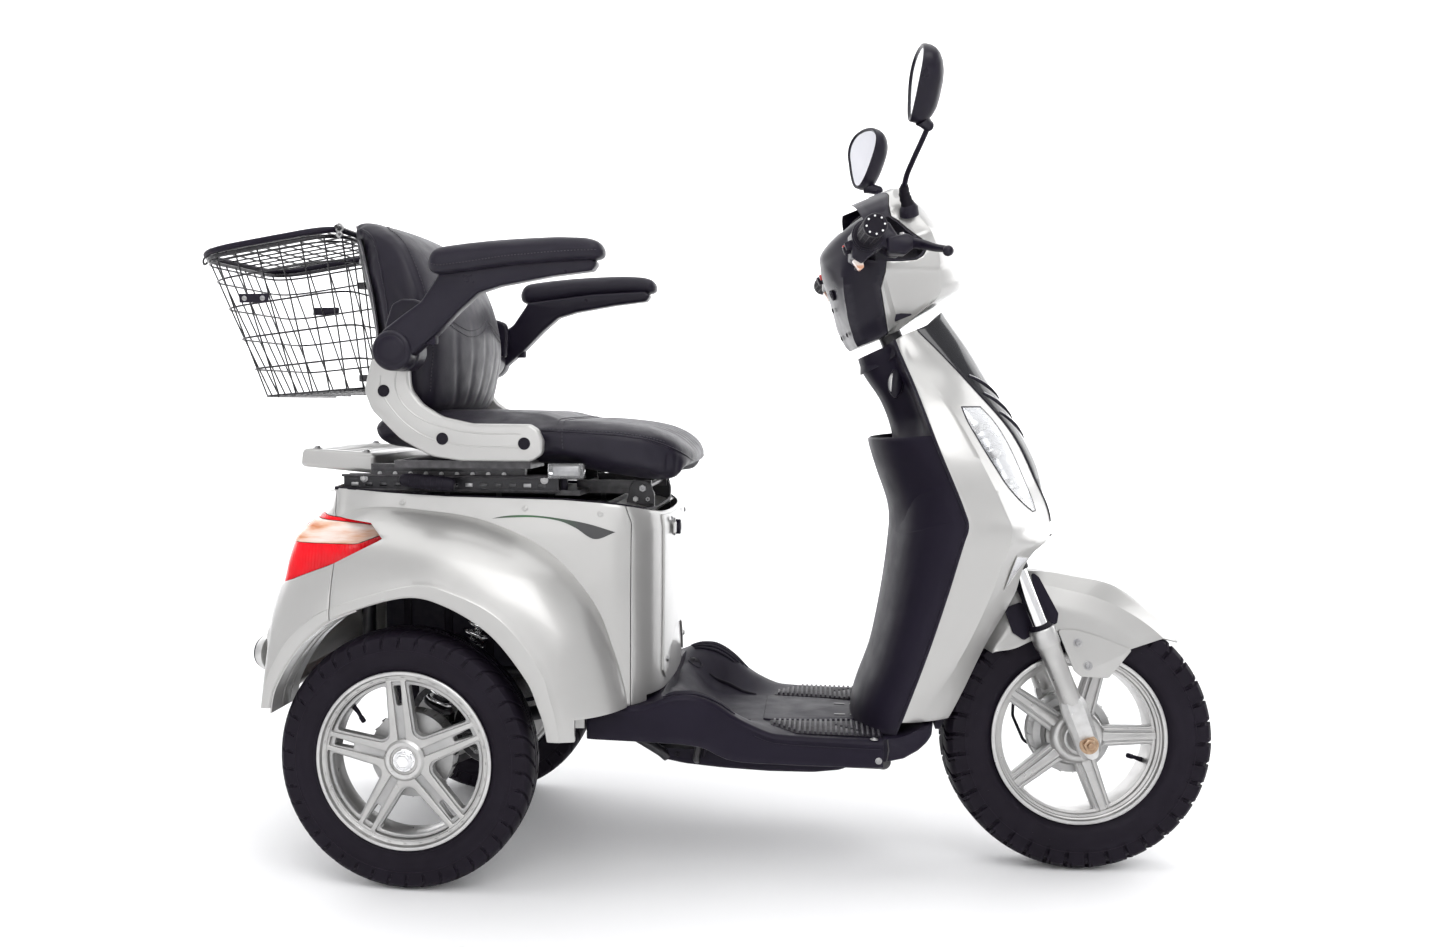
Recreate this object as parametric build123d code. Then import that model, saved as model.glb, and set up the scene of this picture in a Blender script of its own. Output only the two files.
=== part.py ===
from build123d import *
import math
import os

# Electric three-wheel scooter, millimetres.
# Working frame while modelling: X = 0 at the rear axle and forward, Y to the rider's left,
# Z up from the ground. Everything is shifted at the end so that the origin is the middle
# of the footprint on the ground.

# ---------------------------------------------------------------- driving dimensions
ORIGIN_X = 433.0          # middle of the overall length, ahead of the rear axle
WHEELBASE = 1054.0
R_REAR, HALF_REAR = 205.0, 40.0      # rear tyre radius and half width
R_FRONT, HALF_FRONT = 215.0, 45.0    # front tyre radius and half width
TRACK_HALF = 272.0        # rear tyre mid-planes
RIM_SEAT = 128.5          # bead seat radius of the ten inch rims
RIM_LIP = 141.5
RAKE = 22.2               # steering axis leans back by this, degrees
OFFSET = 32.0             # front axle ahead of the steering axis
STEER_REST = 7.0          # the parked scooter's front wheel points this far left
LEG_F, LEG_Y, LEG_R = 34.0, 76.0, 17.0
STEM_R, STEM_BORE = 14.0, 14.06
BAR_R = 11.1
TILT_X, TILT_Z = 352.0, 624.0        # seat tilt hinge axis
ARM_X, ARM_Z = -7.0, 843.0           # armrest pivots
SEAT_HALF = 232.0
WALL = 4.0                # moulded panels

_r = math.radians(RAKE)
A0X = WHEELBASE - OFFSET * math.cos(_r)
A0Z = R_FRONT - OFFSET * math.sin(_r)

os.makedirs("parts", exist_ok=True)
NODES = {}


# ---------------------------------------------------------------- helpers
def V(f, y, s):
    """Point of the steering frame (f ahead of the axis, s up along it) in the vehicle frame."""
    return (A0X + f * math.cos(_r) - s * math.sin(_r), y, A0Z + f * math.sin(_r) + s * math.cos(_r))


STEER = Pos(A0X, 0, A0Z) * Rot(0, -RAKE, 0)            # steering frame, wheel straight
STEER_NOW = STEER * Rot(0, 0, STEER_REST)              # as parked


def prism_xz(pts, y0, y1):
    face = Face(Wire.make_polygon([Vector(x, y0, z) for x, z in pts], close=True))
    return extrude(face, amount=y1 - y0, dir=(0, 1, 0))


def prism_yz(pts, x0, x1):
    face = Face(Wire.make_polygon([Vector(x0, y, z) for y, z in pts], close=True))
    return extrude(face, amount=x1 - x0, dir=(1, 0, 0))


def prism_xy(pts, z0, z1):
    face = Face(Wire.make_polygon([Vector(x, y, z0) for x, y in pts], close=True))
    return extrude(face, amount=z1 - z0, dir=(0, 0, 1))


def block(x0, x1, y0, y1, z0, z1):
    return Pos((x0 + x1) / 2, (y0 + y1) / 2, (z0 + z1) / 2) * Box(abs(x1 - x0), abs(y1 - y0), abs(z1 - z0))


def rod(p, q, r):
    p, q = Vector(*p), Vector(*q)
    d = q - p
    return Solid.make_cylinder(r, d.length, Plane(origin=p, z_dir=d))


def pipe(pts, r, bend):
    """Round bar or tube bent through the points."""
    path = FilletPolyline(*pts, radius=bend)
    start = Plane(origin=pts[0], z_dir=Vector(*pts[1]) - Vector(*pts[0]))
    return sweep(start * Circle(r), path=path)


def rings(sections):
    """Closed loft through polygons with equal point counts, flat facets between them."""
    wires = [Wire.make_polygon([Vector(*p) for p in s], close=True) for s in sections]
    return Solid.make_loft(wires, ruled=True)


def lathe_y(profile, cx=0.0, cy=0.0, cz=0.0):
    """Revolve (y, r) points about the Y axis through (cx, cy, cz)."""
    pts = [Vector(r, y, 0) for y, r in profile]
    face = Face(Wire.make_polygon(pts, close=True))
    return Pos(cx, cy, cz) * revolve(face, axis=Axis.Y)


def both(shape):
    return shape + mirror(shape, about=Plane.XZ)


def interp(table, z):
    """Linear look-up in [(z, a, b, ...)] rows sorted by z."""
    if z <= table[0][0]:
        return table[0][1:]
    for lo, hi in zip(table, table[1:]):
        if z <= hi[0]:
            t = (z - lo[0]) / (hi[0] - lo[0])
            return tuple(a + (b - a) * t for a, b in zip(lo[1:], hi[1:]))
    return table[-1][1:]


def inset(poly, d):
    """Offset a closed 2-D polygon inwards by d, keeping its point count."""
    n = len(poly)
    area = sum(poly[i][0] * poly[(i + 1) % n][1] - poly[(i + 1) % n][0] * poly[i][1] for i in range(n))
    sgn = 1.0 if area > 0 else -1.0
    out = []
    for i in range(n):
        (x0, y0), (x1, y1), (x2, y2) = poly[i - 1], poly[i], poly[(i + 1) % n]
        a, b = (x1 - x0, y1 - y0), (x2 - x1, y2 - y1)
        la, lb = math.hypot(*a), math.hypot(*b)
        na, nb = (-a[1] / la * sgn, a[0] / la * sgn), (-b[1] / lb * sgn, b[0] / lb * sgn)
        k = 1.0 + na[0] * nb[0] + na[1] * nb[1]
        k = max(k, 0.35)
        out.append((x1 + d * (na[0] + nb[0]) / k, y1 + d * (na[1] + nb[1]) / k))
    return out


def put(name, shape, where=None):
    if where is not None:
        shape = where * shape
    NODES[name] = shape


# ---------------------------------------------------------------- wheels
def tyre(radius, half):
    top = radius
    prof = [(-30, RIM_SEAT + 0.3), (-32.4, RIM_LIP + 1), (-half * 0.96, RIM_LIP + 16), (-half, radius - 34),
            (-half * 0.93, radius - 16), (-half * 0.62, radius - 3.2), (-half * 0.3, radius - 0.6), (0, top),
            (half * 0.3, radius - 0.6), (half * 0.62, radius - 3.2), (half * 0.93, radius - 16), (half, radius - 34),
            (half * 0.96, RIM_LIP + 16), (32.4, RIM_LIP + 1), (30, RIM_SEAT + 0.3)]
    return lathe_y(prof)


def rim(face_y, hub_r, hub_lo, hub_hi, drum_r, drum_lo, drum_hi, bore, slotted, turn):
    """Cast wheel: barrel with lips, five spokes near face_y, hub and brake drum."""
    barrel = lathe_y([(-36, RIM_LIP), (-33, RIM_LIP), (-30.4, RIM_SEAT), (30.4, RIM_SEAT), (33, RIM_LIP), (36, RIM_LIP),
                      (36, RIM_LIP - 5), (29, RIM_SEAT - 8), (-29, RIM_SEAT - 8), (-36, RIM_LIP - 5)])
    hub = lathe_y([(hub_lo, 0), (hub_lo, hub_r), (hub_hi, hub_r), (hub_hi, 0)])
    drum = lathe_y([(drum_lo, 0), (drum_lo, drum_r), (drum_hi, drum_r), (drum_hi, 0)])
    body = barrel + hub + drum
    s = 1 if face_y > 0 else -1
    for i in range(5):
        if slotted:
            spoke = prism_xz([(hub_r - 8, -21), (RIM_SEAT - 3, -18.5), (RIM_SEAT - 3, 18.5), (hub_r - 8, 21)], face_y - 9, face_y + 9)
            slot = prism_xz([(70, -4.5), (RIM_SEAT - 1, -8.5), (RIM_SEAT - 1, 8.5), (70, 4.5)], face_y - 20, face_y + 20)
            spoke = spoke - slot
        else:
            spoke = prism_xz([(hub_r - 8, -19), (RIM_SEAT - 3, -14), (RIM_SEAT - 3, 14), (hub_r - 8, 19)], face_y - 10, face_y + 10)
        body += Rot(0, -(turn + 72 * i), 0) * spoke
    if bore:
        body -= rod((0, -200, 0), (0, 200, 0), bore)
    return body


rear_tyre, rear_rim = tyre(R_REAR, HALF_REAR), rim(20, 34, -8, 36, 68, -38, -8, 0, True, 17)
for side, s in (("left", 1), ("right", -1)):
    t, w = Pos(0, TRACK_HALF, R_REAR) * rear_tyre, Pos(0, TRACK_HALF, R_REAR) * rear_rim
    if s < 0:
        t, w = mirror(t, about=Plane.XZ), mirror(w, about=Plane.XZ)
    put("tyre_rear_" + side, t)
    put("wheel_rear_" + side, w)

AXLE = Pos(OFFSET, 0, 0)
put("tyre_front", tyre(R_FRONT, HALF_FRONT), STEER_NOW * AXLE)
put("wheel_front", rim(-14, 38, -44, 34, 64, 2, 34, 8.06, False, 0), STEER_NOW * AXLE * Rot(0, -8, 0))

# ---------------------------------------------------------------- front fork, turning with the steering
legs = rod((LEG_F, LEG_Y, 40), (LEG_F, LEG_Y, 190), LEG_R) + rod((LEG_F, LEG_Y, 168), (LEG_F, LEG_Y, 195), LEG_R + 2.5)
legs += block(LEG_F - 20, LEG_F + 18, LEG_Y - 12, LEG_Y + 12, -26, 66)
legs = both(legs)
legs -= rod((OFFSET, -120, 0), (OFFSET, 120, 0), 8.0)
axle = rod((OFFSET, -98, 0), (OFFSET, 98, 0), 8.0) + rod((OFFSET, 88, 0), (OFFSET, 97, 0), 13) + rod((OFFSET, -97, 0), (OFFSET, -88, 0), 13)
axle += rod((OFFSET, 38.5, 0), (OFFSET, 64.5, 0), 12) + rod((OFFSET, -64.5, 0), (OFFSET, -45.5, 0), 12)
plate = rod((OFFSET, 36.5, 0), (OFFSET, 41, 0), 68)
plate += block(OFFSET - 20, OFFSET + 20, 40, 60, 14, 60)   # torque lug into the left leg
put("fork_legs", legs + axle + plate, STEER_NOW)

yoke = prism_xy([(-24, -42), (LEG_F - 20, -LEG_Y - 18), (LEG_F + 18, -LEG_Y - 18), (LEG_F + 18, -LEG_Y + 14), (26, -22),
                 (26, 22), (LEG_F + 18, LEG_Y - 14), (LEG_F + 18, LEG_Y + 18), (LEG_F - 20, LEG_Y + 18), (-24, 42)], 298, 322)
stanch = both(rod((LEG_F, LEG_Y, 195.2), (LEG_F, LEG_Y, 322), 13.2))
stem = rod((0, 0, 310), (0, 0, 838), STEM_R) + rod((0, 0, 322), (0, 0, 334), 22)
stem += rod((0, 0, 602), (0, 0, 622), 24)
stem += block(-22, 22, -38, 38, 828, 874)                  # bar clamp
stem += rod((0, 0, 740), (0, 0, 838), 20)
BAR = [(-21, -322, 871), (-8, -150, 876), (2, -70, 852), (2, 70, 852), (-8, 150, 876), (-21, 322, 871)]
bar = pipe(BAR, BAR_R, 32)
stem -= pipe(BAR, BAR_R + 0.02, 32)
put("fork_stem", yoke + stanch + stem, STEER_NOW)
put("handlebar", bar, STEER_NOW)


def grip(y0, y1, r):
    a = Vector(-8 + (-13) * (y0 - 150) / 172, y0, 876 - 5 * (y0 - 150) / 172)
    b = Vector(-8 + (-13) * (y1 - 150) / 172, y1, 876 - 5 * (y1 - 150) / 172)
    return rod(tuple(a), tuple(b), r)


g = grip(206, 331, 17.0) + grip(206, 212, 21) - grip(100, 322.4, BAR_R + 0.1)
put("grips", both(g), STEER_NOW)

# switch boxes, lever perches and brake levers
box_ = prism_xz([(-52, 846), (-37, 806), (4, 808), (34, 838), (30, 862), (8, 892), (-26, 895), (-46, 872)], 158, 202)
lever = pipe([(24, 184, 848), (44, 210, 840), (52, 262, 818), (62, 302, 800)], 5.5, 14) + Pos(62, 302, 800) * Sphere(8)
lev = box_ + lever
lev -= grip(100, 330, BAR_R + 0.1)
put("brake_levers", both(lev), STEER_NOW)

# headset shell: black rear cover and silver front cowl
# rows: s, rear f, front f, half width
HEAD = [(727, -67, 12, 58), (758, -71, 60, 74), (775, -73, 112, 92), (800, -75, 150, 104), (830, -76, 157, 108),
        (862, -74, 153, 112), (888, -69, 148, 112), (905, -28, 140, 108), (924, 18, 128, 96), (943, 58, 110, 60), (952, 84, 100, 26)]


def head_section(row, d):
    s, fr, ff, w = row
    m = (fr + ff) / 2
    half = [(fr, 0), (fr + 0.5, w * 0.45), (fr + 0.14 * (ff - fr), w * 0.86), (fr + 0.34 * (ff - fr), w), (m + 0.1 * (ff - fr), w),
            (ff - 0.18 * (ff - fr), w * 0.84), (ff - 0.03 * (ff - fr), w * 0.46), (ff, 0)]
    poly = half + [(f, -y) for f, y in half[-2:0:-1]]
    if d:
        poly = inset(poly, d)
    return [(f, y, s) for f, y in poly]


head_out = rings([head_section(r, 0) for r in HEAD])
HEAD_IN = [(731,) + HEAD[0][1:]] + HEAD[1:-1] + [(947,) + HEAD[-1][1:]]
head_in = rings([head_section(r, 4.0) for r in HEAD_IN])
head = head_out - head_in
neck = rod((0, 0, 700), (0, 0, 745), 24)
side_hole = both(rod((-10, 60, 874), (-10, 130, 874), 26))
head = head - neck - side_hole - both(rod((70, 118, 880), (70, 146, 935), 9))
split = prism_xz([(-140, 700), (-8, 700), (-10, 790), (4, 828), (-2, 868), (20, 905), (66, 952), (66, 980), (-140, 980)], -160, 160)
put("dash_cover", head & split, STEER_NOW)
put("head_cowl", head - split, STEER_NOW)


# mirrors: stem from the cowl's shoulder, ball neck, oval head with a flat glass side
def mirror_head(tilt, swing):
    rows = [(-17, 44, 58), (-13, 48, 62), (0, 46, 60), (12, 36, 50), (20, 20, 30)]
    secs = []
    for f, a, b in rows:
        ring = []
        for k in range(20):
            t = 2 * math.pi * k / 20
            sq = 1.0 / (abs(math.cos(t)) ** 2.6 + abs(math.sin(t)) ** 2.6) ** (1 / 2.6)
            narrow = 1.0 - 0.16 * math.sin(t)
            ring.append((f, a * sq * math.cos(t) * narrow, b * sq * math.sin(t)))
        secs.append(ring)
    return Rot(swing[0], 0, swing[2]) * Rot(0, tilt, 0) * rings(secs)


for side, s, hy in (("left", 1, 0), ("right", -1, 0)):
    st = pipe([(74, s * 131, 893), (78, s * 138, 930), (100, s * 190, 962), (120, s * 232, 992)], 4.5, 24)
    boot = rod((73.5, s * 130, 889), (75.5, s * 134, 908), 9) + rod((118, s * 229, 986), (124, s * 238, 1004), 8)
    hd = mirror_head(8, (-12 * s, 0, 0))
    hd = Pos(138, s * 246, 1050) * hd
    hd = hd + rod((118, s * 229, 996), (134, s * 240, 1016), 7)
    boot = boot - rod((70, s * 125, 880), (73.5, s * 130, 889), 12)
    put("mirror_" + side, st + boot + hd, STEER_NOW)

# front mudguard: arched skin with side tabs, inside the fork legs
FEN = [(36, 291), (62, 285), (126, 251), (181, 209), (220, 150), (246, 80), (206, 97), (154, 111), (113, 93), (101, 85), (64, 100),
       (50, 150), (20, 181), (-23, 181), (-60, 195), (-32, 232), (0, 262)]
FEN_IN = [(36, 286.5), (61, 280.5), (124, 246.5), (178, 205.5), (216, 148.5), (238, 88), (230, 60), (150, 50), (90, 50), (40, 50),
          (-30, 120), (-70, 170), (-62, 190), (-29, 229), (2, 258.5)]
fender = prism_xz(FEN, -56, 56) - prism_xz(FEN_IN, -52, 52)
fender -= both(rod((OFFSET, 40, 0), (OFFSET, 70, 0), 76)) + rod((OFFSET, -51.9, 0), (OFFSET, 51.9, 0), 223)
put("front_fender", fender, STEER_NOW)

# front brake cable: down the back of the left leg and into the brake plate
cable = [(6, 66, 292), (4, 67, 250), (6, 67, 205), (1, 66, 150), (-14, 64, 98), (-38, 59, 48), (-38, 52, 4), (-14, 45, -24), (14, 43.7, -26)]
put("brake_cable", pipe(cable, 2.6, 14), STEER_NOW)

# ---------------------------------------------------------------- front apron (leg shield)
# rows by height z: nose x (y = 0), inner edge x y, crease x y, panel edge x y, front x (y = 0)
NOSE = [(200, 688), (235, 690), (262, 692), (363, 723), (430, 736), (499, 746), (589, 754), (640, 757), (701, 757), (768, 735), (815, 705), (845, 696), (935, 690)]
INNER = [(200, 745, 160), (257, 765, 166), (383, 807, 184), (477, 835, 192), (570, 861, 196), (582, 861, 196), (691, 818, 186), (799, 779, 132), (855, 757, 98), (884, 748, 84), (935, 735, 70)]
CREASE = [(200, 780, 152), (264, 797, 158), (384, 862, 174), (523, 917, 184), (575, 927, 186), (696, 868, 174), (766, 828, 150), (835, 778, 106), (882, 764, 90), (935, 748, 76)]
PANEL = [(200, 805, 122), (262, 842, 122), (386, 900, 122), (469, 943, 122), (508, 955, 121), (546, 990, 108), (571, 1002, 46), (645, 974, 68), (717, 936, 79), (785, 878, 82), (849, 819, 78), (884, 786, 70), (935, 760, 60)]
FRONT = [(200, 806), (262, 843), (386, 901), (469, 944), (508, 957), (546, 1000), (562, 1013), (571, 1009), (671, 982), (746, 941), (786, 915), (852, 876), (915, 833), (935, 822)]
LEVELS = [200, 262, 325, 386, 430, 477, 508, 546, 575, 612, 645, 696, 740, 768, 800, 835, 868, 900, 935]


def apron_section(z, d):
    (n,), (ix, iy), (cx, cy), (px, py), (fx,) = interp(NOSE, z), interp(INNER, z), interp(CREASE, z), interp(PANEL, z), interp(FRONT, z)
    bow = 0.30 * (ix - n)
    half = [(n, 0), (n + 0.10 * (ix - n), iy * 0.30), (n + 0.33 * (ix - n), iy * 0.58), (n + 0.66 * (ix - n), iy * 0.83), (ix, iy), (cx, cy),
            ((cx + px) / 2 + 3, (cy + py) / 2 + 2), (px, py), (fx, 0)]
    if fx <= px + 2:
        half[-1] = (px + 2.5, 0)
    poly = half + [(x, -y) for x, y in half[-2:0:-1]]
    if d:
        poly = inset(poly, d)
    return [(x, y, z) for x, y in poly]


ap_out = rings([apron_section(z, 0) for z in LEVELS])
ap_in = rings([apron_section(z, WALL) for z in LEVELS])
# the top follows the underside of the headset
TOP = [V(f, 0, s) for f, s in ((-140, 708), (-20, 712), (15, 718), (60, 719), (91, 731), (150, 731))]
top_poly = [(p[0], p[2]) for p in TOP] + [(1100, 900), (1100, 150), (600, 150), (600, TOP[0][2])]
top_in = [(p[0] + 1.5, p[2] - 4) for p in TOP] + [(1100, 896), (1100, 150), (600, 150), (600, TOP[0][2] - 4)]
ap_out &= prism_xz(top_poly, -230, 230)
cavity = ap_in & prism_xz(top_in, -230, 230)
# hollow for the front wheel and fork
back = [(822, 150), (822, 262), (835, 292), (855, 352), (858, 408), (840, 470)]
r1, r2 = V(-62, 0, 332), V(170, 0, 332)
well = prism_xz(back + [(r1[0], r1[2]), (r2[0], r2[2]), (1120, 560), (1120, 150)], -116, 116)
r3, r4 = V(-66, 0, 336), V(170, 0, 336)
well_wall = prism_xz([(x - 4, z) for x, z in back] + [(r3[0], r3[2]), (r4[0], r4[2]), (1120, 564), (1120, 150)], -120, 120)
shell = ap_out - (cavity - well_wall) - well
# storage pocket on the rider's side
BOWL = [(600, 752, 0.6), (640, 736, 0.9), (676, 723, 1.0), (704, 716, 1.0)]


def bowl_section(z, nose, d):
    ix, iy = interp(INNER, z)
    half = [(nose, 0), (nose + 0.04 * (ix - nose), iy * 0.34), (nose + 0.22 * (ix - nose), iy * 0.66), (nose + 0.62 * (ix - nose), iy * 0.9), (ix - 2, iy - 3), (ix + 4, iy - 12)]
    poly = half + [(x, -y) for x, y in half[::-1][:-1]]
    if d:
        poly = inset(poly, d)
    return [(x, y, z) for x, y in poly]


bowl = rings([bowl_section(z, n, 0) for z, n, _ in BOWL])
bowl_in = rings([bowl_section(z, n, 3.5) for z, n, _ in [(606, 750, 0), (640, 736, 0), (676, 723, 0), (712, 716, 0)]])
pocket = (bowl - bowl_in) - ap_in
ribs = both(block(700, 862, 88, 92, 300, 420)) & cavity
ribs -= well
shell_top_hole = rod(V(0, 0, 640), V(0, 0, 780), 24)
shell = shell - shell_top_hole - rod(V(0, 0, 300), V(0, 0, 345), 24)
toe = prism_xz([(740, 202), (744, 200), (824, 240), (824, 257.5), (758, 257.5), (744, 239.5), (740, 239)], -176, 176)
shell &= block(600, 1100, -230, 230, 239.6, 1000)
shell -= toe
rear_side = prism_xz([(600, 150)] + [(x, z) for z, x, _ in INNER if z < 930] + [(735, 960), (600, 960)], -230, 230)
rear_side += prism_xz([(x - 4.1, z) for x, z in back] + [(r3[0], r3[2] + 1), (960, 560), (930, 480), (905, 420), (880, 352), (850, 292), (846, 262), (846, 150)], -116.2, 116.2) & ap_in
front_zone = prism_yz([(-30, 572), (-65, 645), (-78, 717), (-81, 785), (-77, 849), (-70, 884), (-60, 960), (60, 960), (70, 884), (77, 849), (81, 785), (78, 717), (65, 645), (30, 572)], 800, 1100)
inner = shell & rear_side
outer = shell - rear_side
gloss = outer & front_zone
outer = outer - front_zone
LENS = [(852, 757), (888, 752), (930, 690), (966, 592), (944, 604), (915, 640), (885, 690), (862, 728)]
lens_zone = both(prism_xz(LENS, 90, 230))
lamps = (outer & lens_zone)
outer = outer - lens_zone
put("leg_shield_inner", (inner + pocket + ribs) - outer)
put("leg_shield_outer", outer)
put("front_panel", gloss)
put("headlights", lamps)

# ---------------------------------------------------------------- floor
deck = prism_xz([(276, 224), (374, 224), (454, 214), (517, 196), (733, 198), (744, 204), (744, 239), (276, 239)], -200, 200)
centre = prism_xz([(396.5, 238), (396.5, 348), (401, 350), (430, 292), (462, 256), (504, 238)], -124, 124)
crest = both(prism_xz([(277, 238), (277, 275), (392, 286), (404, 290), (411, 300), (426, 300), (509, 262), (545, 238)], 122, 200))
floor = deck + centre + crest + toe
floor -= block(712, 782, -23, 23, 190, 270) + both(block(314, 382, 80, 108, 200, 300))
put("footboard", floor)
mat = prism_xy([(549, -174), (738, -174), (738, -151), (730, -140), (712, -112), (684, -60), (684, 60), (712, 112), (730, 140), (738, 151), (738, 174), (549, 174)], 239, 241.5)
put("foot_mat", mat)
pan = block(382, 700, -124, 124, 160, 195.5) - block(386, 696, -120, 120, 164, 200)
pan -= prism_xz([(376, 196), (376, 224.5), (374.5, 224), (454, 214), (517, 196)], -200, 200)
put("underpan", pan)

# ---------------------------------------------------------------- frame
RAIL_Y = 94.0
fr = rod(V(0, 0, 338), V(0, 0, 596), 26)
down = pipe([V(-16, 0, 430), (798, 0, 440), (757, 0, 300), (742, 0, 181)], 19, 60)
fr += down
fr += rod((742, -RAIL_Y, 180), (742, RAIL_Y, 180), 13)
for s in (1, -1):
    fr += pipe([(742, s * RAIL_Y, 180), (372, s * RAIL_Y, 180), (330, s * RAIL_Y, 310), (-110, s * RAIL_Y, 312)], 12, 40)
    fr += rod((300, s * 172, 312), (300, s * 172, 592), 11) + rod((-100, s * 172, 312), (-100, s * 172, 592), 11)
    fr += rod((-100, s * 172, 452), (300, s * 172, 452), 11) + rod((-100, s * 172, 592), (300, s * 172, 592), 11)
    fr += prism_xz([(332, 562), (370, 562), (370, 616), (360, 631), (352, 636), (332, 636)], s * 117 - 3, s * 117 + 3)
fr += rod((300, -172, 312), (300, 172, 312), 12) + rod((-100, -172, 312), (-100, 172, 312), 12)
fr += rod((300, -172, 592), (300, 172, 592), 11) + rod((-100, -172, 592), (-100, 172, 592), 11) + rod((340, -134, 575), (340, 134, 575), 9)
fr += block(292, 345, -134, 134, 570, 590)
fr += rod((TILT_X, -124, TILT_Z), (TILT_X, 124, TILT_Z), 5)
fr -= rod(V(0, 0, 330), V(0, 0, 610), STEM_BORE)
NODES["underpan"] = NODES["underpan"] - both(rod((374, RAIL_Y, 180), (720, RAIL_Y, 180), 13)) - both(block(380, 392, 80, 108, 166, 198))
put("frame", fr)
put("battery_pack", block(-78, 276, -150, 150, 328, 560))

axle_tube = rod((0, -228, R_REAR), (0, 228, R_REAR), 20) + both(rod((0, 222, R_REAR), (0, 232, R_REAR), 66))
gear = rod((0, -52, R_REAR), (0, 46, R_REAR), 72)
motor = rod((92, -118, R_REAR + 12), (92, 34, R_REAR + 12), 62)
arm = both(rod((0, 150, R_REAR + 6), (246, 150, 268), 12) + block(-26, 26, 138, 196, 188, 238) + rod((246, 104, 268), (246, 164, 268), 16))
ax = axle_tube + gear + motor + arm
put("drive_axle", ax)
fr_bracket = both(block(234, 258, 98, 178, 283, 306))
NODES["frame"] = NODES["frame"] + fr_bracket - NODES["drive_axle"]


def coil(s):
    a, b = (4, s * 184, 234), (116, s * 174, 446)
    c = rod(a, b, 9)
    va, vb = Vector(*a), Vector(*b)
    for k in range(9):
        t = 0.16 + 0.085 * k
        p = va + (vb - va) * t
        q = va + (vb - va) * (t + 0.045)
        c += rod(tuple(p), tuple(q), 22)
    return c


put("rear_shocks", coil(1) + coil(-1) - both(block(-40, 40, 130, 200, 180, 238)) - both(rod((0, 172, 452), (300, 172, 452), 11)))

# ---------------------------------------------------------------- rear body
REAR_X = [(290, -222), (307, -246), (391, -253), (409, -245), (426, -219), (468, -222), (551, -204), (580, -170), (594, -158), (630, -152)]


def body_section(z, d):
    (xr,) = interp(REAR_X, z)
    w = interp([(290, 252), (450, 252), (560, 246), (600, 240), (630, 234)], z)[0]
    wr = interp([(290, 282), (420, 286), (470, 284), (560, 262), (600, 240), (630, 228)], z)[0]
    f = interp([(290, 0), (560, 0), (600, -6), (630, -22)], z)[0]
    half = [(xr - 10, 0), (xr - 6, wr * 0.55), (xr + 4, wr * 0.84), (xr + 30, wr), (-105, wr), (-60, w), (120, w), (300, w - 4),
            (352 + f, w - 22), (382 + f, w - 70), (393 + f, 90), (395 + f, 0)]
    poly = half + [(x, -y) for x, y in half[-2:0:-1]]
    if d:
        poly = inset(poly, d)
    return [(x, y, z) for x, y in poly]


BZ = [290, 307, 350, 391, 409, 426, 468, 520, 551, 580, 600, 630]
b_out = rings([body_section(z, 0) for z in BZ])
b_in = rings([body_section(z, WALL) for z in BZ])
ROOT = [(-222, 290), (-226, 400), (-222, 468), (-180, 548), (-86, 596), (34, 592), (128, 575), (221, 531), (290, 457), (321, 382), (339, 317), (345, 257), (244, 257), (244, 290)]
MID = [(-222, 290), (-224, 390), (-208, 440), (-160, 496), (-90, 545), (28, 560), (120, 545), (206, 498), (268, 430), (302, 362), (318, 310), (322, 257), (244, 257), (244, 290)]
LIP = [(-214, 290), (-210, 330), (-186, 378), (-150, 418), (-99, 450), (25, 486), (88, 477), (165, 439), (226, 366), (246, 300), (252, 280), (256, 257), (240, 257), (240, 290)]


def fender_solid(d):
    secs = []
    for poly, y in ((ROOT, 236.0), (ROOT, 250.0), (MID, 318.0 - d * 0.6), (LIP, 345.0 - d)):
        p = inset(poly, d) if d else poly
        secs.append([(x, y, z) for x, z in p])
    return rings(secs)


fen_o = fender_solid(0)
fen_i = fender_solid(WALL)
body_out = b_out + both(fen_o)
body_in = b_in + both(fen_i) + block(-230, 390, -228, 228, 250, 300)
arch = both(Pos(8, 0, 208) * rod((0, 225, 0), (0, 380, 0), 249))
TOPB = [(-300, 640), (-300, 627), (-146, 627), (55, 615), (240, 611), (330, 604), (420, 584), (420, 640)]
body = body_out - body_in - arch
body -= prism_xz(TOPB, -300, 300)
# top flange inside the rim
lid_line = [(-150, 627), (55, 615), (240, 611), (330, 604), (392, 590), (392, 586), (330, 600), (240, 607), (55, 611), (-150, 623)]
flange = (prism_xz(lid_line, -300, 300) & b_in) - block(-180, 312, -211, 211, 560, 700)
flange -= both(block(300, 378, 100, 126, 560, 660))
body += flange
body -= block(-400, 500, -400, 400, 100, 254)
tail_zone = block(-400, -105, -400, 400, 200, 700)
front_zone2 = block(346, 420, -230, 230, 200, 700) + block(311, 420, -101, 101, 560, 700)
footclear = block(200, 420, -200.5, 200.5, 200, 303)
body -= footclear
tail = body & tail_zone
front = body & front_zone2
sides = body - tail_zone - front_zone2
LAMP = [(-160, 588), (-144, 584), (-58, 575), (-31, 552), (-110, 512), (-228, 468), (-240, 470), (-216, 540), (-186, 580)]
lamp_zone = both(prism_xz(LAMP, 200, 300)) - block(-150, 0, -400, 400, 590, 700)
thick_in = rings([body_section(z, 9.0) for z in BZ])
lamps_r = (b_out - thick_in) & lamp_zone & tail_zone
tail = tail - lamp_zone
refl = both(rod((-262, 236, 352), (-250, 236, 352), 20))
lamps_r += (refl - tail)
tail -= refl
put("tail_panel", tail)
put("tail_lamps", lamps_r)
put("pedestal_front", front)
put("body_side_left", sides & block(-400, 500, 0, 400, 0, 800))
put("body_side_right", sides & block(-400, 500, -400, 0, 0, 800))

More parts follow.
